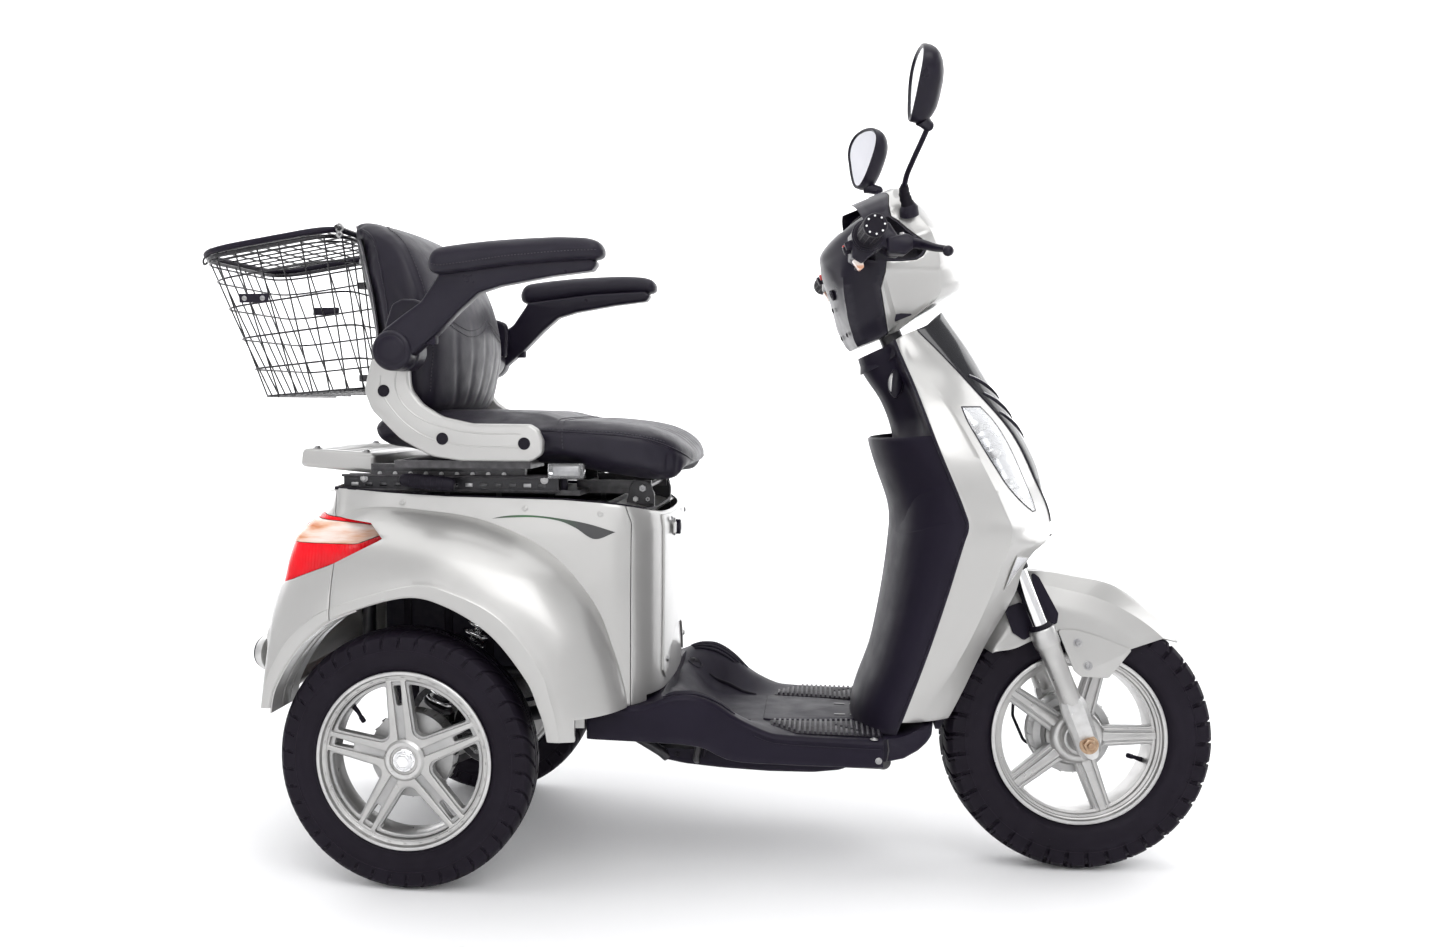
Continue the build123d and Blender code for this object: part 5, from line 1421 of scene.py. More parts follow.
# ------------------------------------------------------------------ mirrors
def mirrors():
    for side, s, turn in (("left", 1, 22.0), ("right", -1, -1.0)):
        p = Part("mirror_%s_shape" % side, "steering", STR)
        lean = math.radians(29)
        # local frame: u = from the glass to the back, v = sideways (outwards), w = up the head
        R_ = Matrix.Rotation(lean, 4, "Y") @ Matrix.Rotation(s * math.radians(turn), 4, "Z")
        cen = (136.0, s * 243.0, 1046.0) if s < 0 else (127.0, s * 243.0, 1050.0)
        T = Matrix.Translation(cen) @ R_
        half = [(-55, 7), (-51, 15), (-41, 25), (-24, 36), (-4, 46), (16, 53), (32, 53), (44, 45), (52, 31), (56, 9)]
        loop = [(s * (v + 2 * (w > 0)), w) for w, v in half] + [(-s * (v - 3), w) for w, v in half[::-1]]
        loop = spline(loop, 72, closed=True)
        if s < 0:
            loop = loop[::-1]
        rows = []
        for u, k in ((-9.5, 0.0), (-9.5, 0.885), (-11.0, 0.905), (-12.5, 0.93), (-12.5, 0.955), (-11.5, 0.985), (-8, 1.0), (0, 1.0), (7, 0.965), (14, 0.88), (20, 0.74), (24.5, 0.55), (27, 0.33), (28, 0.12), (28.2, 0.0)):
            sh = 4.0 * max(0.0, (u + 8)) / 36.0
            rows.append([(u, a * k, b * k - sh) for a, b in loop])
        for i in range(len(rows) - 1):
            pass
        k0 = 1
        p.grid(rows[1:-1], SATIN, close_c=True, M=T)
        p.add([tuple(v) for v in rows[-2]], [list(range(len(rows[-2])))], SATIN, M=T)
        gl = [(-9.7, a * 0.885, b * 0.885) for a, b in loop]
        p.add([(x - 0.2, y, z) for x, y, z in gl], [list(range(len(gl)))[::-1]], GLASS, M=T)
        # collar under the head, ball joint, stem and boot
        e = T @ Vector((6, 0, -50))
        c0 = np.array(e)
        tip = np.array([124.0, s * 236.0, 988.0])
        p.tube(np.array([c0, c0 * 0.55 + tip * 0.45, tip]), [11.5, 9.5, 8.5], SATIN, 24)
        p.ball(tuple(tip), 8.6, PLASTIC, 18)
        base = np.array([80.0, s * 120.0, 902.0])
        P = spline([base, (80, s * 128, 922), (86, s * 150, 940), (98, s * 185, 957), (110, s * 212, 971), (121, s * 232, 984), tip], 40)
        p.tube(P, 4.3, PLASTIC, 14)
        q = P[:10]
        p.tube(q, [10.5, 10.5, 9.0, 9.8, 8.4, 9.0, 7.6, 8.0, 6.8, 5.6], RUBBER, 24)
        p.tube(np.array([base - (2, 8 * s, 14), base - (0, 2 * s, 3), base + (0, 0, 2)]), [15, 14.5, 11], SILVER if s > 0 else PLASTIC, 24)
        p.build(angle=36, replaces=("mirror_" + side,))


mirrors()


# ------------------------------------------------------------------ rear body
REAR_X = [(290, -222), (300, -240), (307, -246), (350, -252), (391, -253), (400, -250), (409, -245), (418, -229), (426, -219), (440, -220), (468, -222), (510, -215), (551, -204),
          (568, -188), (580, -170), (594, -158), (612, -154), (630, -152)]


def lin(rows, z):
    R = np.asarray(rows, float)
    return [float(np.interp(z, R[:, 0], R[:, k])) for k in range(1, R.shape[1])]


def cspline(pts, per=8):
    """Catmull-Rom with a fixed number of samples in each span."""
    P = np.asarray(pts, float)
    Q = np.vstack([2 * P[0] - P[1], P, 2 * P[-1] - P[-2]])
    out = []
    for i in range(1, len(Q) - 2):
        for k in range(per):
            t = k / per
            a, b, c, d = Q[i - 1:i + 3]
            out.append(0.5 * (2 * b + (c - a) * t + (2 * a - 5 * b + 4 * c - d) * t * t + (3 * b - a - 3 * c + d) * t ** 3))
    out.append(P[-1])
    return np.array(out)


def inset2(poly, d):
    """Offset a dense closed loop inwards by d."""
    P = np.asarray(poly, float)
    a, b = np.roll(P, 1, 0), np.roll(P, -1, 0)
    T = b - a
    T /= np.linalg.norm(T, axis=1)[:, None]
    area = float(np.sum(P[:, 0] * b[:, 1] - b[:, 0] * P[:, 1]))
    N = np.stack([-T[:, 1], T[:, 0]], -1) * (1 if area > 0 else -1)
    return P + N * d


def side_w(z):
    return lin([(250, 252), (450, 252), (560, 246), (600, 240), (630, 234)], z)[0]


def body_loop(z, d=0.0):
    xr = lin(REAR_X, z)[0]
    w = side_w(z)
    wr = lin([(290, 282), (420, 286), (470, 284), (520, 274), (560, 262), (600, 242), (630, 230)], z)[0]
    f = lin([(250, 0), (560, 0), (585, -3), (600, -8), (615, -16), (630, -26)], z)[0]
    half = [(xr - 10, 0), (xr - 8.5, wr * 0.3), (xr - 5.5, wr * 0.55), (xr + 1, wr * 0.78), (xr + 12, wr * 0.92), (min(xr + 34, -129), wr), (-112, wr - 0.3), (-92, wr * 0.8 + w * 0.2 - 0.5), (-58, wr * 0.1 + w * 0.9 + 0.5), (-22, w),
            (60, w), (150, w - 0.3), (240, w - 1.5), (290 + 0.25 * f, w - 4), (326 + 0.6 * f, w - 9), (346 + 0.85 * f, w - 19), (358 + f, w - 33), (368 + f, w - 50), (378 + f, w - 72), (388 + f, w - 110), (393 + f, 80), (395 + f, 0)]
    H = cspline(half, 4)
    loop = np.vstack([H, (H * [1, -1])[-2:0:-1]])
    return inset2(loop, d) if d else loop


def body_wall(name, d0, d1, mat, z0=250, z1=640):
    """Upright wall between two offsets of the body outline, closed all round."""
    p = Part(name, None)
    zs = sorted(float(z) for z in set(list(np.arange(z0, z1, 9.0)) + [z for z in (400, 409, 414, 418, 422, 426, 432, 560, 568, 574, 580, 587, 594, 600, 606, 612, 618, 624) if z0 < z < z1] + [z1]))
    rows = [[(x, y, z) for x, y in body_loop(z, d0)] for z in zs] + [[(x, y, z) for x, y in body_loop(z, d1)] for z in zs[::-1]]
    p.grid(rows, mat, close_r=True, close_c=True)
    return p.build(angle=30)


def tool_x(name, pts, x0, x1, mat):
    """Closed solid from a (y, z) outline along X."""
    n = len(pts)
    V = [(x0, y, z) for y, z in pts] + [(x1, y, z) for y, z in pts]
    F = [list(range(n)), list(range(2 * n - 1, n - 1, -1))] + [[i, i + n, (i + 1) % n + n, (i + 1) % n] for i in range(n)]
    return Part(name, None).add(V, F, mat).build(angle=30)


R_ROOT = [(-222, 254), (-224, 290), (-226, 400), (-222, 468), (-180, 548), (-86, 594), (34, 591), (128, 574), (221, 530), (290, 456), (321, 382), (339, 317), (347, 254)]
R_LIP = [(-219, 254), (-217, 296), (-209, 334), (-186, 381), (-152, 419), (-99, 450), (25, 486), (88, 477), (165, 439), (226, 366), (243, 318), (252, 286), (257, 254)]
R_ARCH = [(-206, 254), (-201, 300), (-191, 330), (-166, 372), (-136, 405), (-88, 436), (12, 466), (76, 456), (148, 414), (203, 348), (221, 308), (231, 280), (236, 254)]


def arch_solid(name, s, mat):
    per = 7
    A, B, C = cspline(R_ROOT, per), cspline(R_LIP, per), cspline(R_ARCH, per)
    rows = []
    for a, b, c in zip(A, B, C):
        ring = [(a[0], 232.0, a[1])]
        for k in range(17):
            u = k / 16
            m = 0.42 * u + 0.58 * (1 - math.cos(u * math.pi / 2))
            y = 246 + 98 * (0.30 * u + 0.70 * math.sin(u * math.pi / 2))
            p = a + (b - a) * m
            ring.append((p[0], y, p[1]))
        ring.append((b[0] * 0.93 + c[0] * 0.07, 345.2, b[1] * 0.93 + c[1] * 0.07))
        for k, yy in ((0.3, 345.6), (0.85, 344.8), (1.0, 343.0), (1.02, 339.0), (1.02, 322.0)):
            ring.append((b[0] + (c[0] - b[0]) * k, yy, b[1] + (c[1] - b[1]) * k))
        ring.append((b[0] + (c[0] - b[0]) * 0.84, 322.0, b[1] + (c[1] - b[1]) * 0.84))
        ring.append((b[0] + (c[0] - b[0]) * 0.80, 338.0, b[1] + (c[1] - b[1]) * 0.80))
        for k in range(14, -1, -2):
            u = k / 16
            m = 0.42 * u + 0.58 * (1 - math.cos(u * math.pi / 2))
            y = 242.5 + 96 * (0.30 * u + 0.70 * math.sin(u * math.pi / 2))
            p = a + (b - a) * min(1, m + 0.045)
            ring.append((p[0], y - 1.5, p[1]))
        ring.append((a[0] + (b[0] - a[0]) * 0.05, 232.0, a[1] + (b[1] - a[1]) * 0.05))
        rows.append([(x, y * s, z) for x, y, z in ring])
    p = Part(name, None)
    p.grid(rows, mat, close_c=True, cap=True)
    return p.build(angle=30)


SEAM_TOP, SEAM_LOW = -133.0, -104.0
LAMP_OUT = [(-160, 588), (-144, 584), (-58, 575), (-31, 552), (-110, 512), (-228, 468), (-240, 470), (-216, 540), (-186, 580)]
LAMP_UP = [(-165, 580), (-192, 558), (-203, 541), (-135, 539.5), (-87, 538.5), (-49, 553), (-63, 568.5), (-84, 572)]
TOP_CUT = [(-300, 660), (-300, 627), (-146, 627), (-40, 619), (55, 614.5), (240, 611), (300, 606.5), (330, 603), (352, 598), (376, 590), (420, 570), (420, 660)]


def rear_body():
    shell = body_wall("shell", 0, 3.6, SILVER)
    cut(shell, prism("t", TOP_CUT, -330, 330, SILVER))
    cut(shell, prism("t", [(-400, 200), (-400, 289), (-150, 289), (-150, 254), (500, 254), (500, 200)], -400, 400, SILVER))
    cut(shell, prism("t", [(200, 200), (200, 300), (420, 300), (420, 200)], -201, 201, SILVER))
    hole = np.vstack([cspline(R_ARCH, 5) - [0, 0], [[240, 150], [-210, 150]]])
    for s in (1, -1):
        grow = [(8 + (x - 8) * 1.02, 208 + (z - 208) * 1.02) for x, z in hole]
        cut(shell, prism("t", grow, *sorted((s * 225, s * 400)), SILVER))
    tail = shell.copy()
    tail.data = shell.data.copy()
    bpy.context.scene.collection.objects.link(tail)
    front = shell.copy()
    front.data = shell.data.copy()
    bpy.context.scene.collection.objects.link(front)

    def seam_tool(dx):
        return [(SEAM_TOP + dx - 4, 700), (SEAM_TOP + dx, 625), (SEAM_TOP + dx + 4, 590), (SEAM_LOW + dx, 520), (SEAM_LOW + dx - 2, 200), (-500, 200), (-500, 700)]

    def front_tool(dx):
        return [(347 + dx, 200), (347 + dx, 575), (338 + dx, 600), (330 + dx, 700), (600, 700), (600, 200)]
    arches = {}
    for s in (1, -1):
        arches[s] = arch_solid("arch", s, SILVER)
    cut(tail, prism("t", seam_tool(-0.7), -400, 400, SILVER), mode="INTERSECT")
    tails = [tail]
    for s in (1, -1):
        t2 = arches[s].copy()
        t2.data = arches[s].data.copy()
        bpy.context.scene.collection.objects.link(t2)
        cut(t2, prism("t", seam_tool(-0.7), -400, 400, SILVER), mode="INTERSECT")
        cut(t2, prism("t", [(-400, 200), (-400, 289), (-150, 289), (-150, 200)], -400, 400, SILVER))
        tails.append(t2)
        cut(arches[s], prism("t", seam_tool(0.7), -400, 400, SILVER))
    cut(front, prism("t", front_tool(0.6), -400, 400, SILVER), mode="INTERSECT")
    side = shell
    cut(side, prism("t", seam_tool(0.7), -400, 400, SILVER))
    cut(side, prism("t", front_tool(-0.6), -400, 400, SILVER))
    other = side.copy()
    other.data = side.data.copy()
    bpy.context.scene.collection.objects.link(other)
    big = [(-500, 0), (500, 0), (500, 900), (-500, 900)]
    cut(side, prism("t", big, -0.001, 500, SILVER), mode="INTERSECT")
    cut(other, prism("t", big, -500, 0.001, SILVER), mode="INTERSECT")

    # lamps: proud of the tail, split in a clear upper and a red lower half
    for s in (1, -1):
        rng = sorted((s * 205, s * 330))
        for nm, d, poly, mt in (("low", -2.6, LAMP_OUT, RED_LENS), ("up", -3.4, LAMP_UP, AMBER_LENS)):
            lamp = body_wall("lamp_" + nm, d, 7.0, mt, 440, 610)
            small = fillet(inset2(even(np.vstack([poly, poly[:1]]), 60, True), 1.2), 0)
            cut(lamp, prism("t", [tuple(q) for q in small], *rng, mt), mode="INTERSECT")
            if nm == "low":
                hole2 = [tuple(q) for q in even(np.vstack([LAMP_UP, LAMP_UP[:1]]), 50, True)]
                cut(lamp, prism("t", hole2, *sorted((s * 200, s * 340)), mt))
                low = lamp
            else:
                up = lamp
        lens = join("tail_lens_" + ("left" if s > 0 else "right"), [low, up], "chassis", ("tail_lamps",) if s > 0 else (), 30)
        md = lens.modifiers.new("b", "BEVEL")
        md.width, md.segments, md.limit_method, md.angle_limit = 0.0012, 2, "ANGLE", math.radians(40)
        settle(lens)
        shade(lens, 30)
        for t3 in tails[:1]:
            cut(t3, prism("t", [tuple(q) for q in even(np.vstack([LAMP_OUT, LAMP_OUT[:1]]), 60, True)], *sorted((s * 206, s * 360)), SILVER))
        cut(tails[1 if s > 0 else 2], prism("t", [tuple(q) for q in even(np.vstack([LAMP_OUT, LAMP_OUT[:1]]), 60, True)], *sorted((s * 206, s * 360)), SILVER))
        k = arches[s]
        cut(k, prism("t", [tuple(q) for q in even(np.vstack([LAMP_OUT, LAMP_OUT[:1]]), 60, True)], *sorted((s * 206, s * 360)), SILVER))
        sidep = side if s > 0 else other
        cut(sidep, prism("t", [tuple(q) for q in even(np.vstack([LAMP_OUT, LAMP_OUT[:1]]), 60, True)], *sorted((s * 206, s * 360)), SILVER))

    # the floor tucks in below the front of the sides
    for ob in (front, side, other, arches[1], arches[-1]):
        cut(ob, prism("t", [(276.5, 100), (276.5, 286.5), (340, 288.8), (366, 290.8), (430, 297), (600, 297), (600, 100)], -400, 400, SILVER))

    def soft(ob, w=1.2):
        md = ob.modifiers.new("b", "BEVEL")
        md.width, md.segments, md.limit_method, md.angle_limit = w / 1000, 2, "ANGLE", math.radians(42)
        settle(ob)
    for ob in tails + [front, side, other, arches[1], arches[-1]]:
        soft(ob)
    join("tail_skin", tails, "chassis", ("tail_panel",), 26)
    join("side_skin_left", [side, arches[1]], "chassis", ("body_side_left",), 26)
    join("side_skin_right", [other, arches[-1]], "chassis", ("body_side_right",), 26)

    # raised middle of the pedestal front, with its lower edge rising to the middle
    mid = body_wall("mid", -3.2, -0.2, SILVER, 300, 640)
    vee = [(-140, 590), (-150, 330), (-136, 316), (-118, 318), (-66, 374), (-40, 382), (0, 385), (40, 382), (66, 374), (118, 318), (136, 316), (150, 330), (140, 590)]
    cut(mid, tool_x("t", vee, 330, 430, SILVER), mode="INTERSECT")
    cut(mid, prism("t", [(300, 660), (300, 606), (376, 586), (430, 567), (430, 660)], -300, 300, SILVER))
    soft(mid, 1.4)
    join("pedestal_skin", [front, mid], "chassis", ("pedestal_front",), 26)


rear_body()


def rear_trim():
    p = Part("wheel_arch_liner", "chassis")
    C = cspline(R_ARCH, 7)
    for s in (1, -1):
        n1 = 38
        p.grid([[(x * (1.0), s * y, z) for y in (342, 320, 300, 280, 262, 248, 236)] for x, z in C[4:n1]], SILVER)
        for k, off in ((0.0, 0),):
            for yy in (300, 270):
                p.tube([(x + 1.5, s * yy, z - 1.5) for x, z in C[5:n1 - 1]], 1.6, SILVER, 6)
        p.grid([[(x - 0.5, s * y, z + 4) for y in (330, 300, 270, 240, 214)] for x, z in C[n1 - 1:]], PLASTIC)
    p.build(angle=30, solid=2.4, inside=(0, 0, 205))

    q = Part("side_stripe", "chassis")
    up = spline([(127, 581), (150, 585.5), (190, 587), (240, 582), (284, 574), (324, 562)], 40)
    lo = spline([(127, 581), (160, 583), (200, 583.5), (238, 578), (262, 568), (292, 551), (324, 562)], 40)
    for s in (1, -1):
        rows = []
        for a, b in zip(up, lo):
            rows.append([(a[0] * (1 - t) + b[0] * t, s * (body_y(a[0] * (1 - t) + b[0] * t, a[1] * (1 - t) + b[1] * t) + 0.45), a[1] * (1 - t) + b[1] * t) for t in (0, 0.25, 0.5, 0.75, 1)])
        q.grid(rows, STRIPE)
    q.build(angle=60, solid=0.5, inside=(200, 0, 560))

    r = Part("tail_reflectors", "chassis")
    for s in (1, -1):
        T = Matrix.Translation((-244, s * 240, 357)) @ Matrix.Rotation(s * math.radians(20), 4, "Z") @ Matrix.Rotation(math.pi / 2, 4, "Z")
        prof = [(-6, 0.01), (-6, 30), (6, 29.5), (10, 27), (12.5, 25.5), (12.5, 24), (10.5, 23.6)]
        r.revolve(prof[:4], ALLOY, 48, M=T)
        r.revolve([(9.6, 27.2), (12.5, 26.5), (14.5, 25), (15, 22), (14.2, 20.5)], RUBBER, 48, M=T)
        r.revolve([(12, 21.5), (14.2, 20.5), (15.2, 14), (15.8, 7), (16, 0.01)], RED, 48, M=T)
    r.build(angle=34)

    t = Part("rear_plate_mount", "chassis")
    # plain recessed plate holder, centre reflector and screws along the lower lip of the tail
    t.box(-238, -231, -92, 92, 452, 548, PLASTIC, bevel=3)
    t.box(-240.5, -237.5, -82, 82, 460, 540, SATIN, bevel=1.2)
    for y in (-60, 60):
        t.bolt((-240, y, 500), (-1, 0, 0), 4, STEEL, h=3, hexed=False)
    t.box(-268, -262, -34, 34, 340, 362, REFLECTOR, bevel=2)
    for y in (-150, -75, 75, 150):
        t.bolt((-258 if abs(y) < 100 else -256, y, 395), (-1, 0, 0.25), 4.2, STEEL, h=3, hexed=False)
    t.build(angle=32)

    k = Part("pedestal_lock", "chassis")
    T = Matrix.Translation((397.5, -62, 556)) @ Matrix.Rotation(-math.pi / 2, 4, "Z")
    k.revolve([(-3, 0.01), (-3, 15), (1.5, 15), (2.2, 14), (2.2, 12.4)], ALLOY, 40, M=T)
    k.revolve([(2, 12.3), (9, 12.3), (10.2, 11), (10.2, 6), (8.8, 5.4), (8.8, 0.01)], PLASTIC, 40, M=T)
    k.box(398, 403, -96, -78, 548, 566, ALLOY, bevel=1.4)
    k.box(405.6, 407.4, -62.9, -61.1, 551, 561, PLASTIC, bevel=0.3)
    for y in (-126, 126):
        k.bolt((392.5, y, 345), (1, 0, 0), 4.4, STEEL, h=3.4, hexed=False)
    for y in (-100, 100):
        k.bolt((396.5, y, 572), (1, 0, 0.1), 3.6, STEEL, h=3, hexed=False)
    k.build(angle=32)

    b = Part("body_side_screws", "chassis")
    for x, z in ((-20, 604), (180, 597), (300, 590)):
        for s in (1, -1):
            b.bolt((x, s * (body_y(x, z) + 0.2), z), (0, s, 0.05), 3.4, SILVER, h=2.2, hexed=False)
    for x, z in ((-158, 610), (-150, 604)):
        pass
    # top rim round the seat opening, with a rubber edging
    rim = []
    for x in list(np.arange(-136, 330, 14)) + [336, 345, 353, 359]:
        rim.append(x)
    top = lambda x: float(np.interp(x, [-300, -146, -40, 55, 240, 300, 330, 352, 376], [627, 627, 619, 614.5, 611, 606.5, 603, 598, 590]))
    line = [(x, body_y(x, top(x)) - 6, top(x) - 0.5) for x in rim]
    loop = line + [(365, 150, top(365) - 1), (370, 90, top(370) - 1), (371, 0, top(371) - 1), (370, -90, top(370) - 1), (365, -150, top(365) - 1)] + [(x, -y, z) for x, y, z in line[::-1]]
    b.tube(loop, 3.0, RUBBER, 8)
    b.build(angle=34)
    f = Part("seat_bay_rim", "chassis")
    for s in (1, -1):
        f.grid([[(x, s * (body_y(x, top(x)) - 5), top(x) - 3), (x, s * (body_y(x, top(x)) - 14), top(x) - 3), (x, s * 214, top(x) - 3.5), (x, s * 212, top(x) - 14)] for x in rim if x < 312], SILVER)
    f.grid([[(x, y, top(x) - 3) for y in np.linspace(-(body_y(x, top(x)) - 6), body_y(x, top(x)) - 6, 12)] for x in (372, 356, 340, 326, 314)], SILVER)
    f.grid([[(x, y, 622.5) for y in np.linspace(-222, 222, 12)] for x in (-147, -140, -134)], SILVER)
    f.build(angle=40, solid=2.0)


def body_y(x, z):
    """Half width of the body side at (x, z)."""
    L = body_loop(z)
    H = L[:len(L) // 2 + 1]
    i0 = int(np.argmin(np.abs(H[:, 0] + 60)))
    K = H[i0:]
    return float(np.interp(x, K[:, 0], K[:, 1]))


rear_trim()


# ------------------------------------------------------------------ padded pieces
def seam_dist(P, line):
    """Distance of each point to a polyline."""
    best = np.full(len(P), 1e9)
    L = np.asarray(line, float)
    for a, b in zip(L[:-1], L[1:]):
        d = b - a
        t = np.clip(((P - a) @ d) / max(float(d @ d), 1e-12), 0, 1)
        best = np.minimum(best, np.linalg.norm(P - (a + t[:, None] * d), axis=1))
    return best


def coords(me):
    a = np.empty(len(me.vertices) * 3)
    me.vertices.foreach_get("co", a)
    return a.reshape(-1, 3)


def normals(me):
    a = np.empty(len(me.vertices) * 3)
    me.vertices.foreach_get("normal", a)
    return a.reshape(-1, 3)


def puff(ob, seams, voxel, cap, pressure=4.0, depth=3.0, width=9.0, sub=1):
    """Remesh, hold the seams down and let a short cloth run fill the padding out."""
    md = ob.modifiers.new("r", "REMESH")
    md.mode, md.voxel_size = "VOXEL", voxel
    md2 = ob.modifiers.new("s", "SMOOTH")
    md2.factor, md2.iterations = 0.5, 6
    settle(ob)
    A = np.array(VEH)
    lines = [np.asarray(l, float) @ A[:3, :3].T + A[:3, 3] for l in seams]
    P = coords(ob.data)
    if lines:
        D = np.min([seam_dist(P, l) for l in lines], axis=0)
    else:
        D = np.full(len(P), 1.0)
    w = width / 1000
    sink = depth / 1000 * np.clip(1 - D / w, 0, 1) ** 1.5
    P1 = P - normals(ob.data) * sink[:, None]
    ob.data.vertices.foreach_set("co", P1.ravel())
    ob.data.update()
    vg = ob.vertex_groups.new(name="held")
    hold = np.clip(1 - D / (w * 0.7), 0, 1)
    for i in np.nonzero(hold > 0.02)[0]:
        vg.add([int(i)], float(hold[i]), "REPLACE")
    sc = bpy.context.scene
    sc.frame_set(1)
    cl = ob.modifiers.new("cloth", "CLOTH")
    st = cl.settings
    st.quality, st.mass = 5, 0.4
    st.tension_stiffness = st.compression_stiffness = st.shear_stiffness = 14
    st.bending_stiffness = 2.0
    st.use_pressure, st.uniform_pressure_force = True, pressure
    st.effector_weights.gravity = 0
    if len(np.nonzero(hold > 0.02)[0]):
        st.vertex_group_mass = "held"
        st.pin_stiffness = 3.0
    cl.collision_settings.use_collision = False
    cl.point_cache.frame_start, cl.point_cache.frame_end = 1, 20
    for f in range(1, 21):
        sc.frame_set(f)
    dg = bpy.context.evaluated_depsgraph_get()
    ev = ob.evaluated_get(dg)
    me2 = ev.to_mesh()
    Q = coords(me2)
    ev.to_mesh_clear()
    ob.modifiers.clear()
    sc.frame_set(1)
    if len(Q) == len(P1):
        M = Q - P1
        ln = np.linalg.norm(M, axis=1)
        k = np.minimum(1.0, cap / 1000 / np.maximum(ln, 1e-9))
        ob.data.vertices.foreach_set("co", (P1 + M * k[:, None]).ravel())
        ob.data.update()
    if sub:
        m3 = ob.modifiers.new("s", "SMOOTH")
        m3.factor, m3.iterations = 0.5, 2
        m4 = ob.modifiers.new("sub", "SUBSURF")
        m4.levels = m4.render_levels = sub
        settle(ob)
    shade(ob, 60)
    return ob


def surface_line(ob, pts, off=0.0006):
    """Points (in mm, vehicle frame) dropped on the nearest surface of the object."""
    from mathutils.bvhtree import BVHTree
    bm = bmesh.new()
    bm.from_mesh(ob.data)
    t = BVHTree.FromBMesh(bm)
    out = []
    for p in pts:
        q = VEH @ Vector(p)
        loc, nor, _, _ = t.find_nearest(q)
        loc = loc + nor * off
        out.append(tuple(VEH.inverted() @ loc))
    bm.free()
    return np.array(out)


def stitches(name, ob, lines, body, r=0.75, pitch=6.0, gap=2.0, off=0.0005):
    """Sewn thread: a run of short raised stitches along each line."""
    p = Part(name, body)
    for l in lines:
        L = even(surface_line(ob, even(l, 160), off), 400)
        d = np.concatenate([[0], np.cumsum(np.linalg.norm(np.diff(L, axis=0), axis=1))])
        s = 0.0
        while s + pitch - gap < d[-1]:
            seg = np.array([[np.interp(v, d, L[:, k]) for k in range(3)] for v in np.linspace(s, s + pitch - gap, 4)])
            p.tube(seg, [r * 0.5, r, r, r * 0.5], THREAD, 5)
            s += pitch
    return p.build(angle=60)


def welt(name, ob, lines, body, r=2.0, off=0.0, mat=None):
    p = Part(name, body)
    for l in lines:
        p.tube(surface_line(ob, spline(l, 220), off), r, mat or LEATHER, 8)
    return p.build(angle=60)


CU = [  # x: top, bottom, half width
    (-84, 724, 708, 196), (-80, 736, 702, 214), (-66, 742, 699, 224), (-34, 743, 697, 229), (4, 743, 680, 230), (100, 741, 674, 230), (180, 739, 673, 230), (260, 735, 664, 229),
    (330, 730, 653, 224), (365, 725, 647, 214), (392, 716, 641, 198), (412, 705, 637, 176), (426, 692, 641, 148), (434, 680, 650, 112), (437, 668, 660, 66)]


def rise(v, a, b):
    return min(max((v - a) / (b - a), 0.0), 1.0)


def seat_cushion():
    rows = []
    xs = np.concatenate([np.linspace(-84, -60, 6), np.linspace(-50, 380, 34), np.linspace(388, 437, 12)])
    for x in xs:
        t, b, w = [float(np.interp(x, [r[0] for r in CU], [r[k] for r in CU])) for k in (1, 2, 3)]
        t, b, w = t - 1.5, b + 1.5, w - 1.5
        ring = []
        for k in range(56):
            a = 2 * math.pi * (k + 0.5) / 56
            c, s_ = math.cos(a), math.sin(a)
            e = 0.24
            y = w * math.copysign(abs(c) ** e, c)
            z = (t + b) / 2 + (t - b) / 2 * math.copysign(abs(s_) ** 0.42, s_)
            z += 3.0 * (1 - (y / w) ** 2) if s_ > 0 else 13.0 * rise(x, 345, 378) * (1 - rise(abs(y), 134, 152))
            ring.append((x, y, z))
        rows.append(ring)
    p = Part("sitting_pad", None)
    p.grid(rows, LEATHER, close_c=True, cap=True)
    ob = p.build(angle=60)
    f = lambda x, k: float(np.interp(x, [r[0] for r in CU], [r[k] for r in CU]))
    side = [(x, f(x, 3), f(x, 1) - 15) for x in np.linspace(-78, 400, 26)] + [(414, 168, 688), (426, 138, 678), (433, 96, 668), (436, 40, 663)]
    loop = side + [(x, -y, z) for x, y, z in side[::-1]]
    cross = [(232, y, f(232, 1) + 3) for y in np.linspace(-215, 215, 18)]
    down = [(232, 229.5, z) for z in (733, 715, 695, 678)]
    pleats = []
    for y0, y1 in ((0, 0), (62, 34), (-62, -34), (124, 74), (-124, -74)):
        pleats.append([(x, y0 + (y1 - y0) * ((x - 262) / 165) ** 1.2, f(x, 1) + 2) for x in np.linspace(262, 427, 14)])
    puff(ob, [loop, cross, down, mirror_y(down)] + pleats, 0.0075, 9.0, pressure=4.0, depth=3.4, width=10.0)
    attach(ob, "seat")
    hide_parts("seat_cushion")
    welt("sitting_pad_piping", ob, [loop], "seat", 1.7, 0.0002)
    stitches("sitting_pad_stitching", ob, [[(x, y, z + 7) for x, y, z in side[:26]], [(x, -y, z + 7) for x, y, z in side[:26]], [(x + 5, y, z) for x, y, z in cross], [(x - 5, y, z) for x, y, z in cross],
                                           [(x + 5, y, z) for x, y, z in down], [(x + 5, -y, z) for x, y, z in down]], "seat")
    q = Part("cushion_base_board", "seat")
    q.plate([fillet([(-30, 672), (186, 672), (186, 664), (-30, 664)], 1.5)], 470, PLASTIC, bevel=1.2)
    for x in (10, 90, 150):
        for y in (-170, 170):
            q.bolt((x, y, 660), (0, 0, -1), 5, STEEL)
    q.box(214, 272, -228, -210, 644, 668, CLEAR, bevel=2)
    q.box(214, 272, 210, 228, 644, 668, CLEAR, bevel=2)
    q.box(222, 264, -224, -213, 648, 664, STEEL, bevel=2.5)
    q.build(angle=32)


